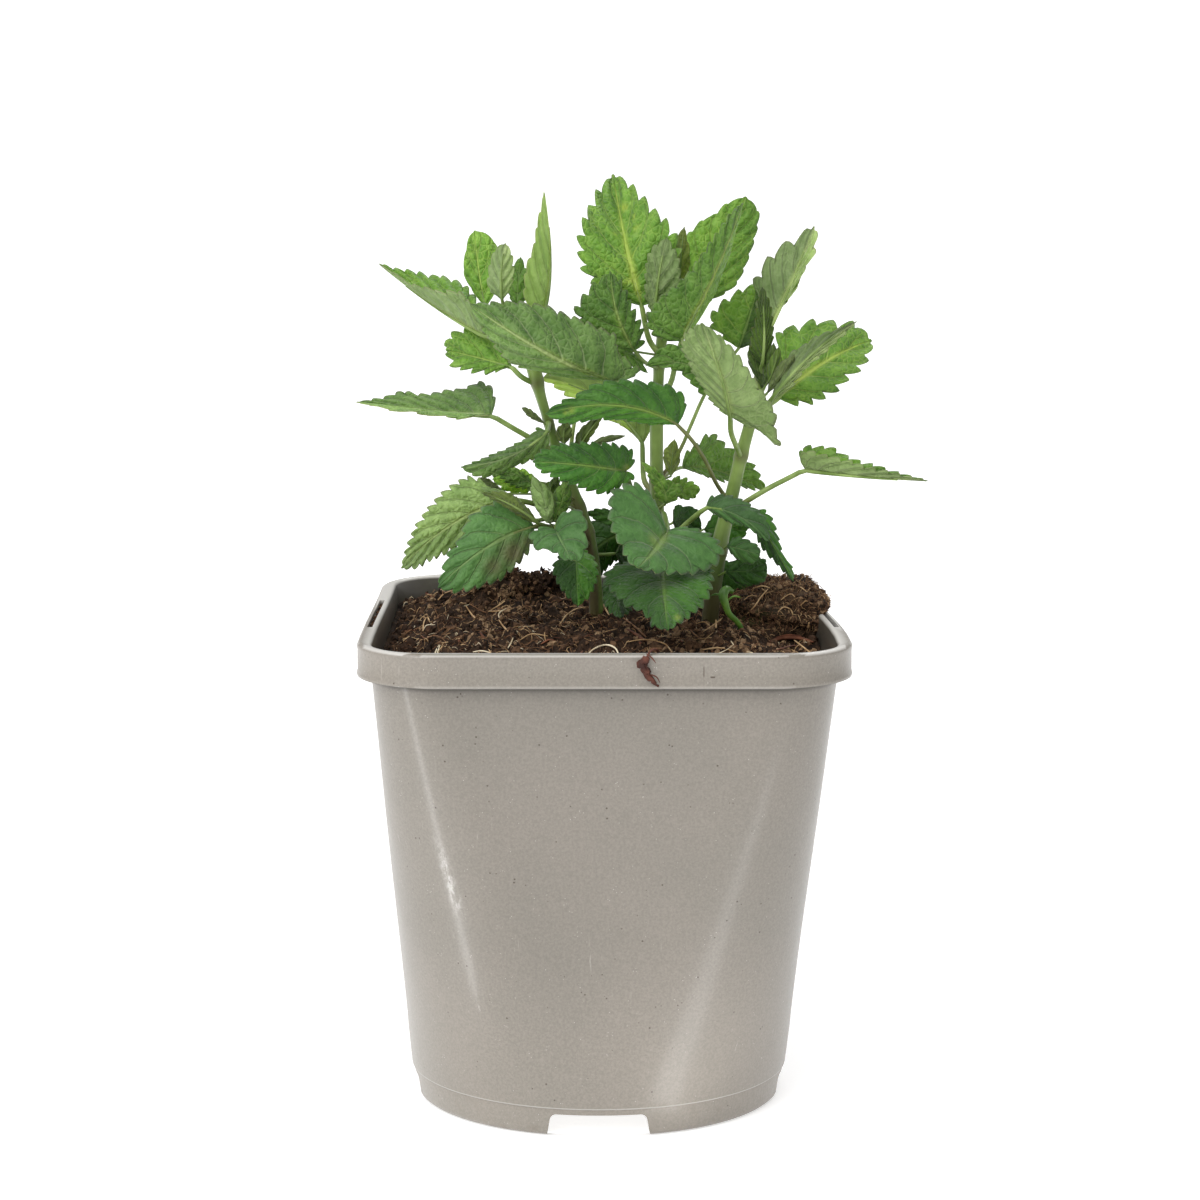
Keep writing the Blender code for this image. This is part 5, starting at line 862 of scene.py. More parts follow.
# how pale the midrib shows
MIDRIB = {"leaf_upper_front": .75, "leaf_top_center": .7, "leaf_right_bright": .75, "leaf_front_large": .45, "leaf_right_high": .4,
          "leaf_left_high": .4, "leaf_front_center": .4, "leaf_front_left": .3, "leaf_heart_front": .3, "leaf_upper_back": .35,
          "leaf_center_dark": .3, "leaf_left_pale": .3, "leaf_right_pale": .25}
SLIM = ("leaf_front_center", "leaf_right_dark", "leaf_behind_center", "leaf_center_dark")


def build_leaf(name, leaf, look):
    up, un, shade, kw = look
    span = np.linalg.norm(at(*leaf[5]) - at(*leaf[3]))
    seed = sum(ord(c) for c in name) % 17 * 0.37
    small = span < 14
    known_size = span
    verts, f, idx, uv, s_all, v_all, mids, s = leaf_grid(
        leaf, seed=seed, v_steps=5 if small else 9, per=5 if small else 8, **kw)
    # stalk, then the midrib under the blade
    r0 = float(np.clip(0.034 * span, 0.35, 0.72))
    path = smooth_line(stalk_path(leaf, None, r0), np.linspace(0, 1, 14))
    k = [int(i) for i in np.linspace(1, len(mids) * 0.82, 9)]
    path = np.vstack([path[:-1], mids[k]])
    rad = np.concatenate([np.linspace(1.12, 1.0, 13) * r0, np.linspace(0.85, 0.22, 9) * r0])
    if small:
        rad *= 0.8
    if name in SLIM:
        rad *= 0.72
    sv, sf = tube_mesh(path, rad, 8)
    n = len(verts)
    allv = np.vstack([verts, sv])
    allf = f + [tuple(i + n for i in q) for q in sf]
    allidx = idx + [2] * len(sf)
    alluv = np.vstack([uv, np.zeros((len(sv), 2))])
    # painted light and shade, partly tone: side A and side C blend across the midrib, the stalk takes its STALK_SHADE
    # value
    sa, sc = shade if isinstance(shade, tuple) else (shade, shade)
    sh = np.full(len(allv), 0.5 * (sa + sc))
    sh[:n] = sa + (sc - sa) * ease(-0.12, 0.12, v_all)
    sh[n:] = STALK_SHADE.get(name, .5)
    spot = np.zeros(len(allv))
    stain = np.zeros(len(allv))
    # drawn place of each vertex, for the marks
    depth = (verts[:, 1] - EYE[1]) / -EYE[1]
    dx = EYE[0] + (verts[:, 0] - PLANT_X - EYE[0]) / depth
    dz = EYE[2] + (verts[:, 2] - EYE[2]) / depth
    for nm, x, z, r, kind, force in MARKS:
        if nm == name:
            d = np.hypot(dx - x, dz - z) / r
            target = spot if kind == "spot" else stain
            target[:n] = np.maximum(target[:n], force * np.exp(-d ** 2))
    rib = MIDRIB.get(name, .12 if known_size > 20 else 0.0)
    spot[:len(v_all)] = np.maximum(spot[:len(v_all)], rib * np.exp(-(v_all / 0.035) ** 2) * (1 - 0.72 * s_all))
    t = np.linspace(0, 1, len(path))
    stain[n:n + len(path) * 8] = np.repeat(0.75 * (1 - ease(0.0, 0.3, t)), 8) if leaf[1] < 175 else 0
    if name in ("leaf_front_center", "leaf_left_bluegreen"):
        stain[n:n + len(path) * 8] = 0.4
    known = name in LEAVES
    ob = new_mesh(name + "_blade" if known else name, allv, allf, [UPPER[up], UNDER[un], STALK], allidx, alluv,
                  {"shade": sh, "spot": spot, "stain": stain})
    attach(ob, "root")
    if known:
        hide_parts(name)
    return ob


for _name, _leaf in LEAVES.items():
    build_leaf(_name, _leaf, LOOK[_name])
for _name, _leaf in TINY.items():
    u, w = TINY_LOOK[_leaf[11]]
    build_leaf(_name, _leaf, (u, w, TINY_SHADE.get(_leaf[11], .5),
                              dict(tooth=.9, quilt=.2) if _name.startswith("fill") else dict(tooth=.3, quilt=.1)))

# ---------------------------------------------------------------- stems
# drawn heights of the nodes, where the stem swells and browns
KNOTS = {"stem_center": [158, 169, 189, 201, 209], "stem_left": [155, 162, 172, 185, 196, 204],
         "stem_right": [150, 161, 176, 186, 197]}
# drawn heights and how light the stem is painted there: partly its own tone, partly painted shade, as at the foot of
# stem_right where it runs under the leaves
STEM_TONE = {"stem_center": ([130, 150, 175, 195, 212], [.34, .3, .36, .6, .62]),
             "stem_left": ([130, 158, 172, 192, 206], [.42, .25, .3, .5, .6]),
             "stem_right": ([125, 146, 151, 158, 168, 190, 202], [.0, .0, .12, .4, .56, .62, .7])}
for _name in STEMS:
    axis, rad = stem_axis(_name, 90)
    drawn = EYE[2] + (axis[:, 2] - EYE[2]) * (-EYE[1]) / (axis[:, 1] - EYE[1])
    swell = np.zeros(len(axis))
    for h in KNOTS[_name]:
        swell = np.maximum(swell, np.exp(-((drawn - h) / 1.6) ** 2))
    r = rad * 0.97 * (1 + 0.16 * swell)
    sides = 20
    v, f = tube_mesh(axis, r, sides, up=(0.4, 1, 0.2), square=0.055)
    stain = np.repeat(0.5 * swell, sides)
    # painted shade: the lower stem_left is darkened brown along its left flank, under the leaves above it
    if _name == "stem_left":
        ang = np.tile(np.linspace(0, 2 * np.pi, sides, endpoint=False), len(axis))
        px = v[:len(axis) * sides, 0] - np.repeat(axis[:, 0], sides)
        low = np.repeat(1 - ease(158, 172, drawn), sides)
        stain = np.maximum(stain, 0.85 * low * (1 - ease(0.4, 1.4, px)))
    # painted shade: the foot of stem_right is darkened brown as well, where it runs under the leaves
    if _name == "stem_right":
        stain = np.maximum(stain, np.repeat(0.7 * (1 - ease(136, 146, drawn)), sides))
    stain = np.concatenate([stain, [stain[0], stain[-1]]])
    tone = np.interp(drawn, *STEM_TONE[_name])
    tone = np.concatenate([np.repeat(tone, sides), tone[[0, -1]]])
    ob = new_mesh(_name + "_fine", v, f, [STEM], None, None, {"stain": stain, "spot": np.zeros(len(v)), "shade": tone})
    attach(ob, "root")
    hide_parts(_name)

# a thin pale young stem between the leaves
_ax = at_all(smooth_line([[-10.0, 178.5, 1.0], [-9.6, 182.0, 0.0], [-9.0, 185.5, -1.0], [-8.6, 188.0, -1.5]], np.linspace(0, 1, 16)))
v, f = tube_mesh(_ax, np.linspace(0.62, 0.45, 16), 8)
ob = new_mesh("thin_young_stem", v, f, [STALK], None, None,
              {"stain": np.zeros(len(v)), "shade": np.full(len(v), 1.0)})
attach(ob, "root")

# ---------------------------------------------------------------- pot
def pinch(x, y, z):
    t = ease(-45, 50, y) * ease(10, 133, z)
    return np.where(x > 0, x * (1 - 0.115 * t), x * (1 - 0.03 * t))


def lean(z):
    return RIM_X * np.clip((np.asarray(z, float) - FOOT_H) / (124.0 - FOOT_H), 0, 1)


ARC = 36


def square_ring(half, corner, z):
    corner = min(corner, half - 0.7)
    pts = []
    for q, (sx, sy) in enumerate(((1, -1), (1, 1), (-1, 1), (-1, -1))):
        for k in range(ARC + 1):
            a = math.radians(-90 + 90 * q + 90.0 * k / ARC)
            pts.append((sx * (half - corner) + corner * math.cos(a),
                        sy * (half - corner) + corner * math.sin(a)))
        # the flat side that follows, in steps, so that it can bow a little
        nx, ny = ((1, 1), (-1, 1), (-1, -1), (1, -1))[q]
        a = math.radians(90 * q)
        p = np.array(pts[-1])
        if q == 0:
            e = np.array([half, half - corner])
        elif q == 1:
            e = np.array([-(half - corner), half])
        elif q == 2:
            e = np.array([-half, -(half - corner)])
        else:
            e = np.array([half - corner, -half])
        for k in range(1, 8):
            pts.append(tuple(p + (e - p) * k / 8.0))
    p = np.array(pts)
    x = pinch(p[:, 0], p[:, 1], z) + lean(z)
    return np.column_stack([x, p[:, 1], np.full(len(p), float(z))])


def body_half(z):
    return FOOT_R + (BODY_TOP_HALF - FOOT_R) * (z - FOOT_H) / (124.0 - FOOT_H)


def body_corner(z):
    return (FOOT_R - 0.7) + (BODY_TOP_CORNER - FOOT_R + 0.7) * (z - FOOT_H) / (124.0 - FOOT_H)


def body_ring(z, inset):
    r = square_ring(body_half(z) - inset, max(body_corner(z) - inset, 2), z)
    # soft unevenness of thin moulded plastic, under 0.2 mm
    if 20 < z < 122:
        w = 0.14 * np.sin(z / 17.0 + r[:, 0] / 19.0) * np.sin(r[:, 1] / 23.0 + z / 31.0 + 0.6)
        d = unit(np.column_stack([r[:, 0], r[:, 1], np.zeros(len(r))]))
        r = r + d * w[:, None]
    return r


def loft(rings, cap_start=True, cap_end=True, wrap=False):
    n = len(rings[0])
    v = np.vstack(rings)
    f = []
    for k in range(len(rings) if wrap else len(rings) - 1):
        a, b = k * n, ((k + 1) % len(rings)) * n
        for i in range(n):
            j = (i + 1) % n
            f.append((a + i, a + j, b + j, b + i))
    if cap_start and not wrap:
        f.append(tuple(range(n - 1, -1, -1)))
    if cap_end and not wrap:
        last = (len(rings) - 1) * n
        f.append(tuple(last + i for i in range(n)))
    return v, f


def closed(name, v, f):
    me = bpy.data.meshes.new(name)
    me.from_pydata((np.asarray(v, float) * 0.001).tolist(), [], f)
    bm = bmesh.new()
    bm.from_mesh(me)
    bmesh.ops.recalc_face_normals(bm, faces=bm.faces)
    bm.to_mesh(me)
    bm.free()
    ob = bpy.data.objects.new(name, me)
    bpy.context.scene.collection.objects.link(ob)
    return ob


def band_out(z):
    """Half width of the rim band, RIM_HALF; the height z is not used."""
    return RIM_HALF


def pot_rings():
    under = RIM_TOP - 1.3
    R = square_ring
    r = [R(48.6, 47.9, 0.0), R(49.2, 48.5, 0.12), R(49.8, 49.1, 0.6), R(50.3, 49.6, 1.6), R(51.0, 50.3, 7.3),
         R(51.05, 50.35, 7.7), R(51.3, 50.6, 7.88), R(FOOT_R - 0.05, FOOT_R - 0.75, 8.05), R(FOOT_R + 0.02, FOOT_R - 0.68, 8.3)]
    r += [body_ring(z, 0.0) for z in list(range(12, 124, 4)) + [124, 128, under - 0.5]]
    r += [R(body_half(under) + 0.4, body_corner(under) + 0.4, under),
          R(RIM_HALF - 1.9, RIM_CORNER - 1.9, under),
          R(RIM_HALF - 1.3, RIM_CORNER - 1.3, under - 0.7),
          R(RIM_HALF - 1.25, RIM_CORNER - 1.25, RIM_TOP - BAND + 0.25),
          R(RIM_HALF - 1.1, RIM_CORNER - 1.1, RIM_TOP - BAND + 0.02),
          R(RIM_HALF - 0.5, RIM_CORNER - 0.5, RIM_TOP - BAND - 0.0),
          R(RIM_HALF - 0.12, RIM_CORNER - 0.12, RIM_TOP - BAND + 0.15),
          R(RIM_HALF, RIM_CORNER, RIM_TOP - BAND + 0.5),
          R(RIM_HALF - 0.02, RIM_CORNER - 0.02, RIM_TOP - BAND + 1.0),
          R(RIM_HALF - 0.22, RIM_CORNER - 0.22, RIM_TOP - BAND + 1.4),
          R(RIM_HALF - 0.22, RIM_CORNER - 0.22, RIM_TOP - 1.9),
          R(RIM_HALF - 0.12, RIM_CORNER - 0.12, RIM_TOP - 1.3),
          R(RIM_HALF - 0.18, RIM_CORNER - 0.18, RIM_TOP - 0.75),
          R(RIM_HALF - 0.45, RIM_CORNER - 0.45, RIM_TOP - 0.3),
          R(RIM_HALF - 0.9, RIM_CORNER - 0.9, RIM_TOP - 0.04),
          R(RIM_HALF - 1.3, RIM_CORNER - 1.3, RIM_TOP),
          R(body_half(133) - 0.3, body_corner(133) - 0.3, RIM_TOP - 0.02),
          R(body_half(133) - 0.75, body_corner(133) - 0.75, RIM_TOP - 0.25)]
    r += [body_ring(z, WALL) for z in (132.2, 128, 124)]
    r += [body_ring(z, WALL) for z in range(120, 10, -6)]
    r += [body_ring(FOOT_H + 1.6, WALL), R(48.9, 48.2, 7.2), R(48.6, 47.9, FLOOR_T)]
    return r


def channel_plan(half, inner, radius, turn, z):
    a1 = math.asin(half / radius)
    pts = [(-half, -inner), (half, -inner)]
    pts += [(radius * math.sin(a), -radius * math.cos(a)) for a in np.linspace(a1, -a1, 15)]
    c, s = math.cos(turn), math.sin(turn)
    return np.array([(c * x - s * y, s * x + c * y, z) for x, y in pts])


pot = closed("nursery_pot_shell", *loft(pot_rings()))
_cut = []


def bool_with(ob, other, kind):
    m = ob.modifiers.new(kind, "BOOLEAN")
    m.operation = kind
    m.solver = "EXACT"
    m.object = other
    _cut.append(other)


for i in range(4):
    bool_with(pot, closed("channel_%d" % i, *loft([
        channel_plan(NOTCH_W / 2 + WALL, NOTCH_IN - WALL, 49.2, math.radians(90 * i), z)
        for z in (0.5, NOTCH_H + WALL)])), "UNION")
for i in range(4):
    bm = bmesh.new()
    bmesh.ops.create_cube(bm, size=1.0)
    bmesh.ops.scale(bm, vec=(NOTCH_W * 0.001, 0.034, 2 * NOTCH_H * 0.001), verts=bm.verts)
    for vv in bm.verts:          # the opening widens downwards
        if vv.co.z < 0:
            vv.co.x *= 1.16
    edges = [e for e in bm.edges if abs(e.verts[0].co.x - e.verts[1].co.x) < 1e-6
             and abs(e.verts[0].co.z - e.verts[1].co.z) < 1e-6]
    bmesh.ops.bevel(bm, geom=edges, offset=0.0015, segments=6, profile=0.5, affect="EDGES")
    a = math.radians(90 * i)
    for vv in bm.verts:
        x, y = vv.co.x, vv.co.y - (NOTCH_IN + 17.0) * 0.001
        vv.co.x, vv.co.y = math.cos(a) * x - math.sin(a) * y, math.sin(a) * x + math.cos(a) * y
    me = bpy.data.meshes.new("notch_%d" % i)
    bm.to_mesh(me)
    bm.free()
    nb = bpy.data.objects.new("notch_%d" % i, me)
    bpy.context.scene.collection.objects.link(nb)
    bool_with(pot, nb, "DIFFERENCE")
for i in range(12):
    a = math.radians(90 * (i % 4))
    rr = (30.5, 36.5, 42.5)[i // 4]
    t = np.linspace(0, 2 * np.pi, 28, endpoint=False)
    ring = [np.column_stack([rr * math.cos(a) + 1.9 * np.cos(t), rr * math.sin(a) + 1.9 * np.sin(t), np.full(28, z)])
            for z in (4.0, 10.0)]
    bool_with(pot, closed("drain_%d" % i, *loft(ring)), "DIFFERENCE")
for side in (-1, 1):
    rings = []
    for y in np.linspace(SLOT_Y[0], SLOT_Y[1], 13):
        xi, xo = side * 62.15, side * 63.55
        x0, x1 = pinch(xi, y, 133) + RIM_X, pinch(xo, y, 133) + RIM_X
        rings.append(np.array([(x0, y, 130.5), (x1, y, 130.5), (x1, y, 135), (x0, y, 135)]))
    bool_with(pot, closed("slot_%d" % side, *loft(rings)), "DIFFERENCE")
bpy.context.view_layer.update()
_dg = bpy.context.evaluated_depsgraph_get()
_me = bpy.data.meshes.new_from_object(pot.evaluated_get(_dg))
pot.modifiers.clear()
pot.data = _me
for o in _cut:
    bpy.data.objects.remove(o, do_unlink=True)
_me.materials.clear()
_me.polygons.foreach_set("use_smooth", np.ones(len(_me.polygons), bool))
_me.set_sharp_from_angle(angle=math.radians(38))

# small scuffs and nicks on the front: x, z, half width, half height in mm, strength
SCARS = [(27.1, 128.6, 0.20, 1.80, 0.75), (29.4, 127.2, 0.80, 0.30, 0.95), (50.2, 125.4, 0.30, 0.30, 0.70), (17.9, 129.8, 0.50, 0.20, 0.25), (42.8, 12.5, 0.20, 1.40, 0.45), (-3.3, 38.7, 0.14, 1.20, 0.30)]

# the plastic: taupe, finely speckled, scuffed at edges, paler along its edges with painted highlights, soil smears near
# the rim
p = Nodes("pot_plastic")
_n1 = p.noise(22, 4, 0.6)
_col = p.mix(p.step(_n1, 0.3, 0.7), lin(122, 117, 109), lin(127, 121, 113))
_mot = p.noise(1500, 3, 0.75)
_col = p.mix(p.step(_mot, 0.3, 0.7), p.mix(1.0, _col, (0.88, 0.88, 0.87), "MULTIPLY"), p.mix(1.0, _col, (1.11, 1.11, 1.11), "MULTIPLY"))
_sp = p.voronoi(640)
_spn = p.noise(260, 2)
_dark = p.math("MULTIPLY", p.step(_sp, 0.13, 0.21, 1.0, 0.0), p.step(_spn, 0.62, 0.66))
_col = p.mix(p.math("MULTIPLY", _dark, 0.85), _col, lin(70, 60, 50))
_sp2 = p.voronoi(1250, vec=p.coords((1, 1, 1), (0.3, 0.1, 0.2)))
_light = p.math("MULTIPLY", p.step(_sp2, 0.10, 0.18, 1.0, 0.0), p.step(p.noise(330, 2), 0.58, 0.66))
_col = p.mix(p.math("MULTIPLY", _light, 0.42), _col, lin(222, 219, 214))
# long faint vertical scuffs
_scr = p.noise(1.0, 4, 0.65, vec=p.coords((900, 900, 26)))
_scrm = p.math("MULTIPLY", p.step(_scr, 0.66, 0.74), p.step(p.noise(30, 2), 0.5, 0.62))
_col = p.mix(p.math("MULTIPLY", _scrm, 0.35), _col, lin(200, 196, 190))
# dirt close to the rim; further down, the inner wall of the mouth is painted dark, partly dirt and partly painted shade
_geo = p.node("ShaderNodeSeparateXYZ", {0: p.coords()})
_z = _geo.outputs[2]
_top = p.step(_z, 0.1325, 0.1331)
# painted light: the wall is painted paler towards the foot and on the rim, and a little darker between
_painted_light_foot_rim = p.math("MAXIMUM", p.math("ADD", p.step(_z, 0.0, 0.06, 0.85, 0.0), p.step(_z, 0.0078, 0.0084, 0.3, 0.0)),
               p.step(_z, 0.1242, 0.1246, 0.0, 0.42))
_painted_light_foot_rim = p.math("MINIMUM", _painted_light_foot_rim, 1.0)
_col = p.mix(_painted_light_foot_rim, p.mix(1.0, _col, (0.965, 0.96, 0.95), "MULTIPLY"), p.mix(1.0, _col, (1.24, 1.23, 1.22), "MULTIPLY"))
# painted shade: a dark line in the angle under the rim band
_painted_shade_under_band = p.math("MULTIPLY", p.step(_z, 0.1220, 0.1236), p.step(_z, 0.12415, 0.12425, 1.0, 0.0))
_col = p.mix(p.math("MULTIPLY", _painted_shade_under_band, 0.85), _col, lin(58, 53, 46))
_dirt = p.math("MULTIPLY", p.step(p.noise(150, 4, 0.7), 0.5, 0.68), p.math("MAXIMUM", p.math("MULTIPLY", _top, 0.75), p.math("MULTIPLY", p.step(_z, 0.0, 0.012, 1.0, 0.0), 0.25)))
_col = p.mix(_dirt, _col, lin(112, 100, 86))
# the inner wall of the mouth is painted dark: partly dirt, partly painted shade inside the pot
_col = p.mix(p.attr("inside"), _col, p.mix(p.noise(120, 3), lin(44, 41, 36), lin(84, 79, 71)))
# pale edges: painted highlights, partly wear
_col = p.mix(p.attr("edge_wear_and_highlight"), _col, lin(196, 193, 188))
_xx, _yy = _geo.outputs[0], _geo.outputs[1]
_face = p.step(_yy, -0.04, -0.03, 1.0, 0.0)
for _mx, _mz, _mw, _mh, _ms in SCARS:
    _a1 = p.math("ABSOLUTE", p.math("SUBTRACT", _xx, _mx * 0.001))
    _b1 = p.math("ABSOLUTE", p.math("SUBTRACT", _z, _mz * 0.001))
    _mk = p.math("MULTIPLY", p.step(_a1, _mw * 0.0005, _mw * 0.001, 1.0, 0.0), p.step(_b1, _mh * 0.0005, _mh * 0.001, 1.0, 0.0))
    _col = p.mix(p.math("MULTIPLY", p.math("MULTIPLY", _mk, _face), _ms), _col, lin(74, 64, 54))
# rubbed place on the left of the wall
_a1 = p.math("ABSOLUTE", p.math("SUBTRACT", _xx, p.math("ADD", -0.0418, p.math("MULTIPLY", p.math("SUBTRACT", 0.08, _z), 0.30))))
_rub = p.math("MULTIPLY", p.step(_a1, 0.0001, 0.0024, 1.0, 0.0), p.math("MULTIPLY", p.step(_z, 0.058, 0.066), p.step(_z, 0.074, 0.086, 1.0, 0.0)))
_rub = p.math("MULTIPLY", p.math("MULTIPLY", _rub, _face), p.step(p.noise(420, 4, 0.75, vec=p.coords((1, 1, 0.5))), 0.42, 0.66))
_col = p.mix(p.math("MULTIPLY", _rub, 0.36), _col, lin(226, 224, 220))
_rg = p.math("ADD", 0.40, p.math("MULTIPLY", p.noise(60, 4, 0.7), 0.16))
_bmp = p.bump(p.noise(1500, 2), 0.00006, 0.35)
_bmp = p.bump(p.noise(16, 3, 0.5), 0.0011, 0.16, _bmp)
_bmp = p.bump(_scrm, 0.00008, 0.4, _bmp)
p.surface(_col, _rg, _bmp, Specular_IOR_Level=0.38, Coat_Weight=0.42, Coat_Roughness=0.2)
_me.materials.append(p.m)
_co = np.zeros(len(_me.vertices) * 3)
_me.vertices.foreach_get("co", _co)
_co = _co.reshape(-1, 3) * 1000
_no = np.zeros(len(_me.vertices) * 3)
_me.vertices.foreach_get("normal", _no)
_no = _no.reshape(-1, 3)
_x = _co[:, 0] - lean(_co[:, 2])
_m = np.maximum(abs(_x), abs(_co[:, 1]))
_in = ((_no[:, 0] * _x + _no[:, 1] * _co[:, 1]) < -5) & (_co[:, 2] > 9) & (_co[:, 2] < 132.6)
_a = _me.attributes.new("inside", "FLOAT", "POINT")
_a.data.foreach_set("value", (0.95 * _in).astype(np.float32))
# painted highlights, partly wear: pale lines on the rim's top edges, at the foot of the band, on the inner lip and on
# the step of the foot
_w = np.zeros(len(_co))
_w = np.maximum(_w, 0.55 * ((_co[:, 2] > 132.5) & (_m > 64.2)))
_w = np.maximum(_w, 0.2 * ((abs(_co[:, 2] - 124.2) < 0.4) & (_m > 64.2)))
_w = np.maximum(_w, 0.8 * ((_co[:, 2] > 132.6) & (_m < 62.6)))
_w = np.maximum(_w, 0.7 * (abs(_co[:, 2] - 8.0) < 0.13))
_a = _me.attributes.new("edge_wear_and_highlight", "FLOAT", "POINT")
_a.data.foreach_set("value", _w.astype(np.float32))
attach(pot, "root")
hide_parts("nursery_pot")

# ---------------------------------------------------------------- soil
def soil_top(x, y):
    x, y = np.asarray(x, float), np.asarray(y, float)
    u = np.maximum(abs(x), abs(y)) / 60.0
    h = 130.3 + 0.03 * y - 4.6 * ease(0.55, 1.0, u)
    h = h + 5.5 * np.exp(-((x + 28) / 9.5) ** 2 - ((y - 36) / 11.0) ** 2)
    h = h + 6.5 * np.exp(-((x + 17) / 5.0) ** 2 - ((y - 34) / 6.5) ** 2)
    h = h + 3.0 * np.exp(-((x - 12) / 14.0) ** 2 - ((y - 36) / 12.0) ** 2)
    h = h + 2.0 * np.exp(-((x - 35) / 8.0) ** 2 - ((y + 16) / 7.0) ** 2)
    h = h + 2.6 * np.exp(-((x - 54) / 8.0) ** 2 - ((y + 44) / 15.0) ** 2)
    h = h - 2.2 * np.exp(-((x - 47) / 9.0) ** 2 - ((y + 20) / 7.0) ** 2)
    h = h - 2.6 * np.exp(-((x + 35) / 3.6) ** 2 - ((y - 12) / 6.0) ** 2)
    return h + 0.7 * np.sin(x / 6.5 + 1.0) * np.cos(y / 5.5) * (1 - ease(0.8, 1.0, u))


def soil_material(name, dark, mid_, light, scale=1.0, specks=0.5, moss=False):
    n = Nodes(name)
    big = n.noise(70 * scale, 4, 0.65)
    small = n.noise(420 * scale, 4, 0.7)
    c = n.mix(n.step(big, 0.36, 0.66), dark, mid_)
    c = n.mix(n.math("MULTIPLY", n.step(small, 0.52, 0.72), 0.75), c, light)
    # near black where the fine bump is low: partly dark peat, partly painted shade in the hollows
    c = n.mix(n.math("MULTIPLY", n.step(small, 0.30, 0.46, 1.0, 0.0), 0.7), c, lin(22, 15, 11))
    sp = n.step(n.voronoi(1100), 0.05, 0.14, 1.0, 0.0)
    c = n.mix(n.math("MULTIPLY", n.math("MULTIPLY", sp, n.step(n.noise(200, 2), 0.52, 0.64)), specks), c, lin(172, 140, 104))
    if moss:
        c = n.mix(n.math("MULTIPLY", n.attr("moss"), n.step(n.noise(300, 3, 0.6), 0.36, 0.6, 0.35, 1.0)), c,
                  n.mix(small, lin(34, 38, 18), lin(78, 84, 42)))
    h = n.math("ADD", n.math("MULTIPLY", small, 0.8), n.math("MULTIPLY", n.noise(1500, 3, 0.7), 0.5))
    n.surface(c, 0.92, n.bump(h, 0.0009, 0.9), Specular_IOR_Level=0.18)
    return n.m


SOIL = soil_material("soil_dark", lin(30, 21, 16), lin(58, 42, 30), lin(104, 78, 56))
CRUMB = [soil_material("crumb_dark", lin(34, 24, 18), lin(62, 44, 32), lin(96, 70, 52), 1.6, 0.35),
         soil_material("crumb_mid", lin(68, 49, 36), lin(104, 78, 57), lin(142, 112, 84), 1.6, 0.5),
         soil_material("crumb_tan", lin(114, 90, 67), lin(152, 124, 95), lin(188, 162, 132), 1.6, 0.3)]


def fibre_material(name, a, b):
    n = Nodes(name)
    c = n.mix(n.step(n.noise(160, 3), 0.35, 0.65), a, b)
    n.surface(c, 0.7, n.bump(n.noise(1800, 2, 0.6), 0.0001, 0.5), Specular_IOR_Level=0.25)
    return n.m


FIBRE = [fibre_material("fibre_tan", lin(158, 124, 86), lin(202, 170, 128)),
         fibre_material("fibre_brown", lin(94, 64, 42), lin(134, 98, 68)),
         fibre_material("fibre_pale", lin(196, 178, 146), lin(226, 212, 184)),
         fibre_material("fibre_dark", lin(50, 34, 24), lin(78, 54, 38))]
BARK = fibre_material("bark_brown", lin(70, 38, 26), lin(112, 68, 46))

rng = np.random.default_rng(41)


def inside_pot(x, y, margin=0.0):
    """True where a soil point is inside the mouth of the pot."""
    half, corner = body_half(126) - WALL - 0.5 - margin, body_corner(126) - WALL
    px = x - RIM_X
    t = ease(-45, 50, y)
    px = np.where(px > 0, px / (1 - 0.115 * t), px / (1 - 0.03 * t))
    dx, dy = np.maximum(abs(px) - (half - corner), 0), np.maximum(abs(y) - (half - corner), 0)
    return (abs(px) <= half) & (abs(y) <= half) & (np.hypot(dx, dy) <= corner)


# surface, as rings drawn in towards the middle so that it fits the mouth
def evenly(ring, n):
    """The same closed outline with n points at even steps."""
    p = np.vstack([ring, ring[:1]])
    d = np.concatenate([[0.0], np.cumsum(np.linalg.norm(np.diff(p, axis=0), axis=1))])
    u = np.linspace(0, d[-1], n, endpoint=False)
    return np.column_stack([np.interp(u, d, p[:, k]) for k in range(3)])


_n = 380
_rim = evenly(body_ring(126.0, WALL + 0.16), _n)
_levels = np.concatenate([[1.0], np.linspace(0.988, 0.02, 112)])
_pts = []
for sfrac in _levels:
    r = _rim.copy()
    r[:, 0] = (_rim[:, 0] - RIM_X) * sfrac + RIM_X
    r[:, 1] = _rim[:, 1] * sfrac
    r[:, 2] = soil_top(r[:, 0] - RIM_X, r[:, 1])
    _pts.append(r)
_top = np.vstack(_pts)
_nz = wob(_top[:, 0], _top[:, 1], np.zeros(len(_top)), 7.0, 4)
_ny = wob(_top[:, 0] + 90, _top[:, 1], np.zeros(len(_top)), 3.0, 2)
_cal = np.ones(len(_top))
_cal[:_n] = 0.3
_nf = wob(_top[:, 0], _top[:, 1] + 40, np.zeros(len(_top)), 1.25, 2)
_top[:, 2] += _cal * (1.9 * _nz + 1.35 * _ny + 0.6 * _nf - 0.3)


def hollow(x, y, cx, cy, rx, ry):
    return np.exp(-((x - cx) / rx) ** 2 - ((y - cy) / ry) ** 2)


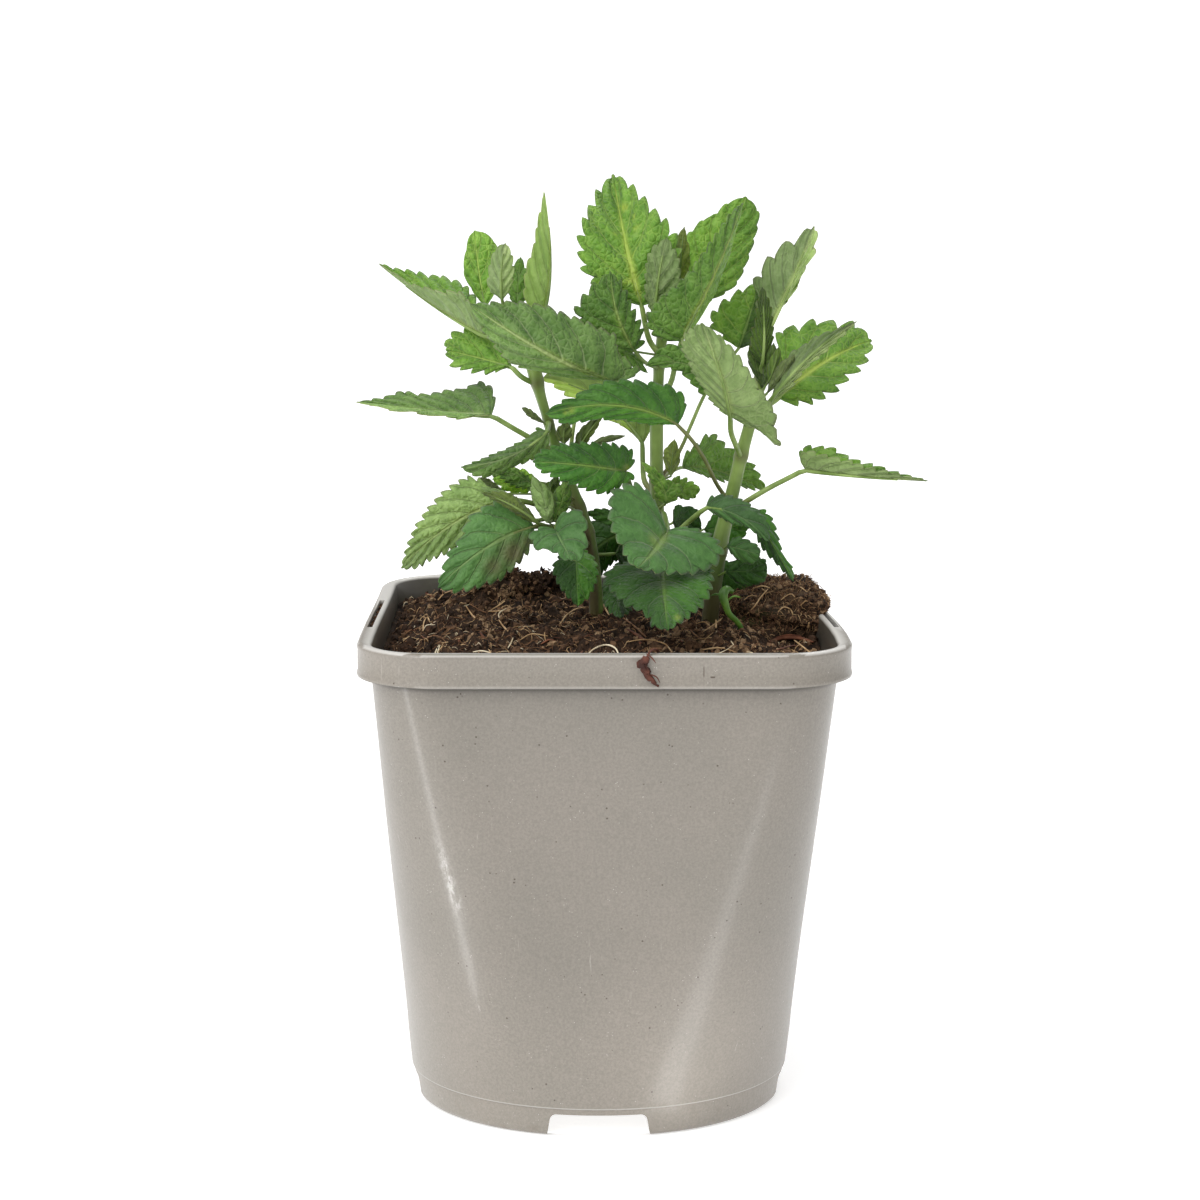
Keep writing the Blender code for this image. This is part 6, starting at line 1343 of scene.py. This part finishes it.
_top[:, 2] -= 3.4 * hollow(_top[:, 0], _top[:, 1], -50, -24, 4.5, 6.0)   # dark hollow at the left
_low = []
for z, ins in ((100, WALL + 0.12), (60, WALL + 0.12), (20, WALL + 0.12)):
    _low.append(evenly(body_ring(z, ins), _n))
_all = np.vstack([_low[2], _low[1], _low[0], _top])
_f = []
_rows = 3 + len(_levels)
for k in range(_rows - 1):
    for i in range(_n):
        j = (i + 1) % _n
        _f.append((k * _n + i, k * _n + j, (k + 1) * _n + j, (k + 1) * _n + i))
_f.append(tuple(range(_n - 1, -1, -1)))
_f.append(tuple((_rows - 1) * _n + i for i in range(_n)))
soil = new_mesh("soil_surface", _all, _f, [SOIL])
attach(soil, "root")
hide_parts("potting_soil")

# heights of the finished surface, read back for what lies on it
_gx = np.linspace(-64, 66, 131)
_gy = np.linspace(-64, 64, 129)


def ground(x, y):
    x, y = np.atleast_1d(np.asarray(x, float)), np.atleast_1d(np.asarray(y, float))
    a = wob(x, y, np.zeros(len(x)), 7.0, 4)
    b = wob(x + 90, y, np.zeros(len(x)), 3.0, 2)
    return soil_top(x - RIM_X, y) + 1.9 * a + 1.35 * b - 0.3 - 3.4 * hollow(x, y, -50, -24, 4.5, 6.0)


def drawn_on_ground(px, pz, off=0.0):
    """Ground point behind a drawn point (x, z on the elevation), walking back along the sight line."""
    best = None
    for y in np.linspace(-60, 60, 241):
        k = (y - EYE[1]) / -EYE[1]
        x = EYE[0] + (px - EYE[0]) * k + PLANT_X
        z = EYE[2] + (pz - EYE[2]) * k
        if not inside_pot(np.array([x]), np.array([y]))[0]:
            continue
        if z <= float(ground(x, y)[0]) + off:
            return np.array([x, y, z])
    return None


_ico = bmesh.new()
bmesh.ops.create_icosphere(_ico, subdivisions=1, radius=1.0)
ICO_V = np.array([v.co[:] for v in _ico.verts])
ICO_F = [tuple(v.index for v in q.verts) for q in _ico.faces]
_ico.free()
_ico = bmesh.new()
bmesh.ops.create_icosphere(_ico, subdivisions=2, radius=1.0)
ICO2_V = np.array([v.co[:] for v in _ico.verts])
ICO2_F = [tuple(v.index for v in q.verts) for q in _ico.faces]
_ico.free()


def turn_matrix(a, b, c):
    ca, sa, cb, sb, cc, sc = math.cos(a), math.sin(a), math.cos(b), math.sin(b), math.cos(c), math.sin(c)
    return (np.array([[ca, -sa, 0], [sa, ca, 0], [0, 0, 1]]) @ np.array([[cb, 0, sb], [0, 1, 0], [-sb, 0, cb]])
            @ np.array([[1, 0, 0], [0, cc, -sc], [0, sc, cc]]))


def lump(centre, r, stretch, fine=False):
    v = ICO2_V if fine else ICO_V
    d = 1 + (0.3 if fine else 0.48) * (rng.random(len(v)) - 0.5) * 2
    w = v * d[:, None] * np.array(stretch) * r
    return w @ turn_matrix(*rng.uniform(0, 6.28, 3)).T + centre, (ICO2_F if fine else ICO_F)


# crumbs: many small, few large, on the surface and banked against clods
crumbs = [[], [], []]
count = 0
while count < 8600:
    x, y = rng.uniform(-59, 62), rng.uniform(-60, 58)
    if not inside_pot(np.array([x]), np.array([y]), 1.0)[0]:
        continue
    r = 0.22 + 0.95 * rng.random() ** 3.0 + (1.2 * rng.random() if rng.random() < 0.02 else 0)
    z = float(ground(x, y)[0])
    st = (1.0, rng.uniform(0.6, 1.0), rng.uniform(0.45, 0.9))
    kind = 0 if rng.random() < 0.52 else (1 if rng.random() < 0.68 else 2)
    if y > 14 and -44 < x < -22 and rng.random() < 0.4:
        kind = min(kind + 1, 2)
    if x > 12 and y < -8 and rng.random() < 0.7:
        kind = min(kind + 1, 2)
    if noise.noise(Vector((x / 11.0, y / 9.0, 3.0))) > 0.12 and rng.random() < 0.45:
        kind = min(kind + 1, 2)
    if x < -34 and y < 14 and rng.random() < 0.85:
        kind = 0
    crumbs[kind].append(lump(np.array([x, y, z + 0.3 * r]), r, st, r > 1.2))
    count += 1
# earth caught in the slot of the left flange
for y in np.linspace(SLOT_Y[0] + 0.8, SLOT_Y[1] - 0.8, 64):
    for _ in range(3):
        x = float(pinch(np.array([-62.85 + rng.uniform(-0.42, 0.42)]), np.array([y]), 133)[0]) + RIM_X
        crumbs[int(rng.random() < 0.45)].append(lump(np.array([x, y + rng.uniform(-.4, .4), 131.5 + rng.uniform(-.4, .5)]),
                                                     rng.uniform(0.3, 0.55), (1, .8, .7)))
# the dark clod and the tan mounds at the back left
for cx, cz, yy, rr, kind in ((-21.2, 141.2, 30, 2.6, 0), (-17.1, 142.0, 30, 3.0, 0), (-14.4, 140.6, 31, 2.6, 0),
                             (-18.8, 139.0, 28, 3.2, 0), (-29.0, 139.4, 33, 2.8, 2), (-33.0, 137.6, 32, 3.0, 2),
                             (-25.0, 139.4, 33, 2.6, 1), (-36.6, 135.2, 30, 2.4, 2), (-31, 136.0, 27, 2.6, 1),
                             (-24.4, 136.6, 27, 2.4, 1), (-27.8, 133.6, 22, 2.0, 2)):
    k = (yy - EYE[1]) / -EYE[1]
    c = np.array([EYE[0] + (cx - EYE[0]) * k + PLANT_X, yy, EYE[2] + (cz - EYE[2]) * k])
    c[2] = max(c[2], float(ground(c[0], c[1])[0]) + 0.2 * rr)
    crumbs[kind].append(lump(c, rr * 0.82, (1, .85, .7), True))
    for _ in range(46):
        d = unit(rng.normal(size=3))
        d[2] = abs(d[2])
        own = kind if rng.random() < 0.6 else int(rng.integers(0, 3 if kind else 2))
        crumbs[own].append(lump(c + d * rr * rng.uniform(0.72, 1.12), rng.uniform(0.25, 0.8), (1, .8, .6)))
for i, parts_ in enumerate(crumbs):
    v, f = join_parts(parts_)
    ob = new_mesh(("crumbs_dark", "crumbs_brown", "crumbs_tan")[i], v, f, [CRUMB[i]], smooth=False)
    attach(ob, "root")


def strand(points, r, sides=5, flat=1.0, n=16, taper=0.5):
    pts = smooth_line(points, np.linspace(0, 1, n))
    t = np.linspace(0, 1, n)
    rad = r * (1 - (1 - taper) * np.abs(2 * t - 1) ** 2.5)
    return tube_mesh(pts, rad, sides, flat)


# loose fibres of root, straw and coir
fibres = [[], [], [], []]
count = 0
while count < 640:
    x, y = rng.uniform(-58, 60), rng.uniform(-59, 56)
    if not inside_pot(np.array([x]), np.array([y]), 2.0)[0]:
        continue
    ln = 1.6 + 5.0 * rng.random() ** 2.4
    a = rng.uniform(0, 6.28)
    bend = rng.normal() * 0.5
    pts = []
    ok = True
    lift = abs(rng.normal()) * 0.5
    for t in np.linspace(-0.5, 0.5, 5):
        aa = a + bend * t * 2
        px, py = x + math.cos(aa) * t * ln, y + math.sin(aa) * t * ln
        ok = ok and bool(inside_pot(np.array([px]), np.array([py]), 1.0)[0])
        pts.append((px, py, float(ground(px, py)[0]) + 0.25 + lift * (1 - 4 * t * t) + rng.normal() * 0.12))
    if not ok:
        continue
    kind = rng.choice(4, p=[0.28, 0.42, 0.06, 0.24])
    fibres[kind].append(strand(pts, rng.uniform(0.06, 0.15), 4, 1.0, 7))
    count += 1


# very fine fibre, matted through the surface
count = 0
while count < 2500:
    x, y = rng.uniform(-58, 60), rng.uniform(-60, 56)
    if not inside_pot(np.array([x]), np.array([y]), 1.6)[0]:
        continue
    ln, a, curl = rng.uniform(1.0, 4.2), rng.uniform(0, 6.28), rng.normal() * 0.6
    pts = []
    px, py = x, y
    for t in range(4):
        pts.append((px, py))
        px, py = px + math.cos(a) * ln / 3, py + math.sin(a) * ln / 3
        a += curl / 3
    pts = np.array(pts)
    if not inside_pot(pts[:, 0], pts[:, 1], 1.0).all():
        continue
    z = ground(pts[:, 0], pts[:, 1]) + 0.35 + rng.random(4) * 0.55
    kind = rng.choice(4, p=[0.26, 0.44, 0.06, 0.24])
    fibres[kind].append(strand(np.column_stack([pts, z]), rng.uniform(0.05, 0.11), 3, 1.0, 6))
    count += 1

# straws: longer, stiffer, some standing clear of the surface
count = 0
while count < 46:
    x, y = rng.uniform(-56, 58), rng.uniform(-57, 50)
    ln, a, tip = rng.uniform(4, 9), rng.uniform(0, 6.28), rng.uniform(0.2, 2.6)
    bend = rng.normal() * 0.4
    q = []
    for t in (0, .25, .5, .75, 1):
        aa = a + bend * t * 3
        px, py = x + math.cos(aa) * t * ln, y + math.sin(aa) * t * ln
        q.append((px, py))
    q = np.array(q)
    if not inside_pot(q[:, 0], q[:, 1], 2.0).all():
        continue
    g = ground(q[:, 0], q[:, 1])
    z = np.maximum(g + 0.2, g[0] + 0.1 + (g[-1] - g[0] + tip) * np.linspace(0, 1, 5))
    fibres[rng.choice(4, p=[0.55, 0.25, 0.12, 0.08])].append(strand(np.column_stack([q, z]), rng.uniform(0.09, 0.2), 5, 1.0, 10))
    count += 1


def fibre_drawn(points, r, kind, rise=0.5, flat=1.0, sides=6, n=22):
    """A fibre through drawn points, laid on the ground behind them."""
    out = []
    for q in points:
        g = drawn_on_ground(q[0], q[1], rise)
        if g is None:
            return
        out.append(g)
    fibres[kind].append(strand(out, r, sides, flat, n, 0.6))


def px_to_drawn(px, py):
    """Drawn elevation point seen at a place in a 1200 px wide view."""
    cp, sp = math.cos(math.radians(9.7)), math.sin(math.radians(9.7))
    xr, ur = (px - 600) / 4116.0, -(py - 600) / 4116.0
    d = np.array([xr, cp + ur * sp, -sp + ur * cp])
    t = -EYE[1] / d[1]
    return EYE[0] + d[0] * t, EYE[2] + d[2] * t


def fibre_px(points, r, kind, rise=0.5, flat=1.0):
    fibre_drawn([px_to_drawn(*q) for q in points], r, kind, rise, flat)


fibre_px([(404, 580), (410, 583), (416, 586)], .28, 0, 0.8)
fibre_px([(398, 594), (406, 595), (415, 597)], .28, 0, 0.8)
fibre_px([(434, 657), (436, 651), (439, 645)], .22, 2, 1.2)
fibre_px([(423, 631), (424, 622), (427, 617), (430, 622)], .18, 0, 1.0)
fibre_px([(586, 656), (594, 649), (607, 645), (615, 648), (619, 655)], .26, 2, 1.6)
fibre_px([(560, 624), (568, 614), (580, 608), (598, 607)], .22, 0, 1.2)
fibre_px([(600, 599), (609, 615)], .26, 0, 1.2)
fibre_px([(622, 617), (634, 626), (646, 637)], .24, 1, 1.0)
fibre_px([(627, 642), (638, 640), (650, 640), (663, 643), (672, 652)], .2, 0, 1.2)
fibre_px([(690, 630), (700, 638), (716, 641)], .2, 1, 0.8)
fibre_px([(520, 640), (532, 634), (548, 636)], .18, 0, 0.8)
fibre_px([(470, 604), (484, 612), (500, 611)], .2, 1, 0.8)
fibre_px([(700, 650), (722, 648), (742, 655)], .2, 0, 0.9)
fibre_px([(437, 658), (438, 651), (440, 645)], .16, 2, 1.4)
fibre_px([(473, 652), (482, 651), (491, 653)], .22, 2, 0.9)
fibre_px([(508, 648), (511, 643), (513, 638)], .2, 2, 1.2)
fibre_px([(466, 606), (470, 612), (475, 618)], .24, 0, 1.4)
fibre_px([(491, 610), (498, 606), (505, 601)], .18, 0, 1.2)
fibre_px([(499, 620), (503, 626), (508, 631)], .24, 0, 1.2)
fibre_px([(424, 640), (432, 636), (440, 637), (446, 642)], .16, 1, 0.9)
fibre_px([(438, 600), (444, 594), (453, 590)], .2, 0, 1.4)
fibre_px([(393, 593), (402, 597), (412, 597)], .22, 0, 1.0)
fibre_px([(392, 605), (393, 600), (394, 595)], .2, 0, 1.2)
fibre_px([(695, 624), (703, 622), (712, 628)], .2, 0, 1.0)
fibre_px([(716, 628), (716, 624), (716, 620)], .3, 0, 1.2)
fibre_px([(745, 652), (752, 653), (759, 658)], .2, 2, 1.0)
fibre_px([(794, 640), (803, 647), (812, 654)], .22, 0, 1.2)
fibre_px([(817, 628), (819, 636), (822, 644)], .2, 0, 1.6)
fibre_px([(788, 648), (796, 652), (804, 656)], .16, 0, 1.0)
fibre_px([(734, 648), (733, 644), (731, 641)], .2, 2, 1.2)
for i, parts_ in enumerate(fibres):
    v, f = join_parts(parts_)
    ob = new_mesh(("fibres_tan", "fibres_brown", "fibres_pale", "fibres_dark")[i], v, f, [FIBRE[i]])
    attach(ob, "root")

# flakes of bark and wood
flakes = []
count = 0
while count < 150:
    x, y = rng.uniform(-57, 59), rng.uniform(-58, 55)
    if not inside_pot(np.array([x]), np.array([y]), 2.5)[0]:
        continue
    a = rng.uniform(0, 3.14)
    ln, wd = rng.uniform(1.2, 4.2), rng.uniform(0.4, 1.1)
    z = float(ground(x, y)[0]) + 0.45
    d = np.array([math.cos(a), math.sin(a), rng.normal() * 0.25])
    c = np.array([x, y, z])
    q = [c - d * ln / 2, c + np.array([0, 0, 0.15]), c + d * ln / 2]
    flakes.append(strand(q, wd / 2, 6, 0.3, 7, 0.55))
    count += 1
for line, r, fl in ((((770, 642), (783, 638), (798, 638), (813, 642), (826, 650)), 1.15, .5),
                    (((777, 637), (788, 635), (801, 636)), .5, .5), (((627, 629), (636, 634), (644, 641)), .7, .6),
                    (((776, 650), (792, 646), (806, 648)), .6, .4), (((541, 644), (549, 640), (556, 641)), .7, .4)):
    q = [drawn_on_ground(*px_to_drawn(*w), 0.9) for w in line]
    q = [w for w in q if w is not None]
    if len(q) > 2:
        flakes.append(strand(q, r, 8, fl, 22, 0.4))
v, f = join_parts(flakes)
ob = new_mesh("bark_flakes", v, f, [BARK])
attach(ob, "root")

# ---------------------------------------------------------------- peat clump
CLUMP_C = np.array([48.6, 15.5, 131.2])
CLUMP_R = np.array([14.0, 21.0, 7.4])
_b = bmesh.new()
bmesh.ops.create_icosphere(_b, subdivisions=6, radius=1.0)
_v = np.array([q.co[:] for q in _b.verts])
_fc = [tuple(q.index for q in w.verts) for w in _b.faces]
_b.free()
_wob = 1 + 0.07 * np.sin(5 * _v[:, 0] + 2) * np.cos(6 * _v[:, 1] + 1) + 0.05 * np.sin(9 * _v[:, 2] + 4 * _v[:, 0])
_sq = (abs(_v[:, 0]) ** 2.6 + abs(_v[:, 1]) ** 2.6 + abs(_v[:, 2]) ** 2.6) ** (-1 / 2.6)
_p = _v * (_sq * _wob)[:, None] * CLUMP_R
_p[:, 0] -= 0.13 * _p[:, 1]
_p += CLUMP_C
_g = 1.25 * wob(_p[:, 0], _p[:, 1], _p[:, 2], 6.0, 4) + 0.75 * wob(_p[:, 0] + 50, _p[:, 1], _p[:, 2], 1.6, 3)
_p += unit(_v) * _g[:, None]
_p[:, 2] -= 3.0 * hollow(_p[:, 0], _p[:, 1], 49, -14, 7, 4) * (_p[:, 2] < 134)
# the clump lies on the soil and against the wall, over the flange
_lim = body_half(130) - WALL
_xr = _p[:, 0] - RIM_X
_t = 0.115 * ease(-45, 50, _p[:, 1])
_wallx = _lim * (1 - _t)
_over = (_xr > _wallx - 0.15) & (_p[:, 2] < RIM_TOP + 0.15)
_p[:, 0] = np.where(_over & (_p[:, 2] < RIM_TOP - 1.0), np.minimum(_p[:, 0], _wallx - 0.15 + RIM_X), _p[:, 0])
_p[:, 2] = np.where(_over & (_p[:, 2] >= RIM_TOP - 1.0), RIM_TOP + 0.12, _p[:, 2])
PEAT = soil_material("peat_brown", lin(40, 30, 22), lin(80, 62, 46), lin(136, 110, 84), 1.5, 0.6, True)
_front = np.clip(-unit(_v)[:, 1] * 1.4 - unit(_v)[:, 0] * 0.6, 0, 1)
_moss = 0.9 * np.exp(-((_p[:, 0] - 40.5) / 6.5) ** 2) * ease(136.5, 131, _p[:, 2]) * np.clip(_front * 1.5, 0, 1)
clump = new_mesh("peat_clump_fine", _p, _fc, [PEAT], attrs={"moss": np.clip(_moss, 0, 1)})
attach(clump, "root")
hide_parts("peat_clump")
_parts, _fib = [], []
_nrm = unit(_v)
_top_ids = np.flatnonzero((_p[:, 2] > 127.0) & (_nrm[:, 2] > -0.35))
_dark, _tan = [], []
for i in rng.choice(_top_ids, 2300, replace=False):
    r = 0.2 + 0.75 * rng.random() ** 2.4
    _q = rng.random()
    (_parts if _q < 0.5 else (_dark if _q < 0.86 else _tan)).append(lump(_p[i] + _nrm[i] * r * 0.3, r, (1, .8, .6)))
for i in rng.choice(_top_ids, 2000, replace=False):
    d = unit(_nrm[i] * 0.45 + rng.normal(size=3) * 0.75)
    ln = 0.8 + 3.4 * rng.random() ** 2
    a = _p[i] + _nrm[i] * 0.15
    side = unit(np.cross(d, rng.normal(size=3)))
    _fib.append(strand([a - d * ln * 0.5 + _nrm[i] * 0.1, a + side * ln * 0.12 + _nrm[i] * 0.5, a + d * ln * 0.5 + _nrm[i] * 0.3],
                       rng.uniform(0.04, 0.10), 3, 1.0, 6))
_depth = (_p[:, 1] - EYE[1]) / -EYE[1]
_dx = EYE[0] + (_p[:, 0] - PLANT_X - EYE[0]) / _depth
_dz = EYE[2] + (_p[:, 2] - EYE[2]) / _depth


def on_clump(px, py, off=0.35):
    """Point just in front of the clump where the sight line of a view point meets it."""
    x, z = px_to_drawn(px, py)
    near = np.flatnonzero(np.hypot(_dx - x, _dz - z) < 0.9)
    if len(near) == 0:
        return None
    y = _p[near, 1].min() - off
    k = (y - EYE[1]) / -EYE[1]
    return np.array([EYE[0] + (x - EYE[0]) * k + PLANT_X, y, EYE[2] + (z - EYE[2]) * k])


_long = []
for line, r in ((((768, 589), (761, 597), (754, 607), (746, 615)), .2), (((781, 600), (786, 596), (791, 594), (795, 597)), .16),
                (((800, 606), (806, 601), (812, 604)), .15), (((754, 588), (762, 586), (770, 588)), .2),
                (((778, 612), (784, 607), (790, 609), (793, 614)), .15), (((808, 628), (810, 622)), .42),
                (((793, 585), (800, 587), (807, 592)), .16), (((744, 600), (750, 596), (757, 596)), .16)):
    pts = [on_clump(*q) for q in line]
    if all(q is not None for q in pts):
        if len(pts) == 2:
            pts = [pts[0], 0.5 * (pts[0] + pts[1]), pts[1]]
        _long.append(strand(pts, r, 6, 1.0, 14, 0.6))
for _nm, _pp, _mt in (("clump_crumbs", _parts, CRUMB[1]), ("clump_crumbs_dark", _dark, CRUMB[0]), ("clump_crumbs_tan", _tan, CRUMB[2]),
                      ("clump_fibres", _fib[0::3] + _fib[2::3], FIBRE[1]), ("clump_threads", _long + _fib[1::3], FIBRE[0])):
    v, f = join_parts(_pp)
    ob = new_mesh(_nm, v, f, [_mt], smooth="crumbs" not in _nm)
    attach(ob, "root")

# ---------------------------------------------------------------- bark shred over the rim
_shred = [strand([(15.9, -56.5, 130.9), (15.0, -60.6, 133.7), (13.5, -63.6, 134.0), (12.4, -66.0, 132.7)], 0.45, 8, .5, 16, .7)]
_sp = smooth_line([(12.4, -65.9, 132.9), (11.5, -66.35, 131.0), (12.0, -66.3, 129.0), (13.5, -66.3, 127.0), (15.4, -66.2, 125.2)],
                  np.linspace(0, 1, 40))
_st = np.linspace(0, 1, 40)
_sp[:, 0] += 0.22 * np.sin(_st * 19) + 0.12 * np.sin(_st * 43 + 1)
_shred.append(tube_mesh(_sp, 1.12 * (1 - 0.68 * _st ** 1.6) * (1 + 0.2 * np.sin(_st * 31 + .5) + 0.13 * np.sin(_st * 57))
                        * ease(-0.06, 0.12, _st), 10, .62, square=0.16))
_shred.append(strand([(11.2, -66.2, 131.8), (12.6, -66.6, 129.8), (13.0, -66.6, 128.0)], 0.35, 6, .6, 12, .4))
_shred.append(strand([(12.6, -66.2, 128.4), (14.9, -66.5, 127.6), (15.8, -66.3, 126.0)], 0.3, 6, .6, 12, .3))
_shred.append(strand([(12.2, -65.0, 133.5), (13.6, -65.9, 132.6), (14.7, -66.0, 131.2)], 0.25, 6, .7, 12, .4))
v, f = join_parts(_shred)
ob = new_mesh("bark_shred_fine", v, f, [fibre_material("shred_brown", lin(52, 28, 22), lin(98, 58, 46))])
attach(ob, "root")
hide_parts("bark_shred")

# ---------------------------------------------------------------- seedling
SEEDLING = [(37.2, 118.5, -12), (36.6, 127.5, -12), (35.2, 130.2, -12.5), (33.0, 132.4, -13),
            (31.9, 135.2, -13), (31.3, 137.8, -12.5), (32.3, 139.3, -11.5), (33.8, 138.6, -10.8)]
_ax = at_all(smooth_line([list(q) for q in SEEDLING], np.linspace(0, 1, 40)))
_r = np.interp(np.linspace(0, 1, 40), np.linspace(0, 1, 12), [0.6, 0.6, 0.65, 0.7, 0.75, 0.8, 0.85, 0.9, 1.1, 1.4, 1.4, 0.8])
_sd = [tube_mesh(_ax, _r * 0.95, 12, 0.85)]
_sd.append(strand([at(31.5, 137.0, -12.7), at(29.5, 137.9, -12.6), at(28.0, 137.5, -12.5)], 0.42, 8, .7, 12, .4))
_sd.append(strand([at(32.4, 136.2, -12.9), at(34.3, 137.3, -12.7), at(36.0, 137.0, -12.5)], 0.40, 8, .7, 12, .4))
v, f = join_parts(_sd)
_m = Nodes("seedling_green")
_m.surface(_m.mix(_m.step(_m.noise(160, 2), 0.35, 0.65), lin(64, 106, 30), lin(112, 156, 60)), 0.35,
           _m.bump(_m.noise(700, 2), 0.0003, 0.5), Specular_IOR_Level=0.5)
ob = new_mesh("seedling_fine", v, f, [_m.m])
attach(ob, "root")
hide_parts("seedling")

# ---------------------------------------------------------------- camera, floor, light
cam = bpy.data.cameras.new("camera")
cam.sensor_fit = "HORIZONTAL"
cam.sensor_width = 36.0
cam.lens = 36.0 * 4116 / 1200
cam.clip_start, cam.clip_end = 0.05, 50
cam_ob = bpy.data.objects.new("camera", cam)
bpy.context.scene.collection.objects.link(cam_ob)
cam_ob.location = ((EYE[0] + PLANT_X) * 0.001, EYE[1] * 0.001, EYE[2] * 0.001)
cam_ob.rotation_euler = (math.radians(90 - 9.7), 0, 0)
bpy.context.scene.camera = cam_ob

bm = bmesh.new()
bmesh.ops.create_grid(bm, x_segments=1, y_segments=1, size=20.0)
me = bpy.data.meshes.new("floor")
bm.to_mesh(me)
bm.free()
floor = bpy.data.objects.new("floor", me)
bpy.context.scene.collection.objects.link(floor)
floor.location = (0, 0, -0.0002)
fl = Nodes("floor_white")
fl.surface(fl.mix(fl.noise(0.8, 2), (0.70, 0.70, 0.70), (0.72, 0.72, 0.72)), 0.8, None, Specular_IOR_Level=0.05)
fl.bsdf.inputs["Emission Color"].default_value = (1.0, 1.0, 1.0, 1.0)
fl.bsdf.inputs["Emission Strength"].default_value = 0.5
me.materials.append(fl.m)

# painted light: a disc under the pot glows brighter than the floor round it, taking away the shadow under the pot and
# lighting the notches
bm = bmesh.new()
bmesh.ops.create_circle(bm, cap_ends=True, segments=48, radius=0.047)
me = bpy.data.meshes.new("floor_below")
bm.to_mesh(me)
bm.free()
below = bpy.data.objects.new("floor_below", me)
bpy.context.scene.collection.objects.link(below)
below.location = (0, 0, -0.0001)
fb = Nodes("floor_below")
fb.surface((0.8, 0.8, 0.8), 0.8, None, Specular_IOR_Level=0.05)
fb.bsdf.inputs["Emission Color"].default_value = (1.0, 1.0, 1.0, 1.0)
fb.bsdf.inputs["Emission Strength"].default_value = 0.8
me.materials.append(fb.m)

world = bpy.data.worlds.new("studio")
bpy.context.scene.world = world
world.use_nodes = True
world.node_tree.nodes["Background"].inputs[0].default_value = (1.0, 1.0, 1.0, 1.0)
world.node_tree.nodes["Background"].inputs[1].default_value = 0.55


def area(name, place, target, size, power, colour=(1, 1, 1), size_y=None):
    li = bpy.data.lights.new(name, "AREA")
    li.shape = "RECTANGLE"
    li.size = size
    li.size_y = size_y or size
    li.energy = power
    li.color = colour
    ob = bpy.data.objects.new(name, li)
    ob.location = place
    ob.rotation_euler = (Vector(target) - Vector(place)).to_track_quat("-Z", "Y").to_euler()
    bpy.context.scene.collection.objects.link(ob)
    return ob


sun = bpy.data.lights.new("soft_sun", "SUN")
sun.energy = 2.3
sun.angle = math.radians(75)
sun_ob = bpy.data.objects.new("soft_sun", sun)
sun_ob.rotation_euler = (Vector((0, 0, 0)) - Vector((-0.55, -0.6, 1.1))).to_track_quat("-Z", "Y").to_euler()
bpy.context.scene.collection.objects.link(sun_ob)
area("key_front_left", (-0.7, -1.3, 1.1), (0, 0, 0.17), 0.7, 7)
area("back_top", (0.3, 0.9, 1.2), (0, 0, 0.17), 0.8, 6)


def low_strip(name, spine, widths, power):
    """A white strip lying on the floor, which the wall of the pot mirrors."""
    s = np.array(spine, float)
    t = unit(np.gradient(s, axis=0))
    side = np.column_stack([-t[:, 1], t[:, 0]])
    w = np.array(widths)[:, None] / 2
    k = len(s)
    v = np.column_stack([np.vstack([s + side * w, s - side * w]), np.full(2 * k, 0.3)])
    me = bpy.data.meshes.new(name)
    me.from_pydata((v * 0.001).tolist(), [], [(i, i + 1, k + i + 1, k + i) for i in range(k - 1)])
    m = Nodes(name)
    m.surface((0.8, 0.8, 0.8), 0.9)
    m.bsdf.inputs["Emission Color"].default_value = (1.0, 1.0, 1.0, 1.0)
    m.bsdf.inputs["Emission Strength"].default_value = power
    me.materials.append(m.m)
    ob = bpy.data.objects.new(name, me)
    ob.visible_camera = False
    bpy.context.scene.collection.objects.link(ob)


low_strip("strip_left", [(-84, -70), (-120, -86), (-180, -113), (-250, -144)], [6, 11, 16, 22], 11.5)
low_strip("strip_right", [(24, -57), (40, -72), (67, -91), (110, -124), (170, -160)], [12, 18, 24, 26, 28], 3.5)
bpy.context.scene.view_settings.view_transform = "Standard"
bpy.context.scene.view_settings.look = "None"
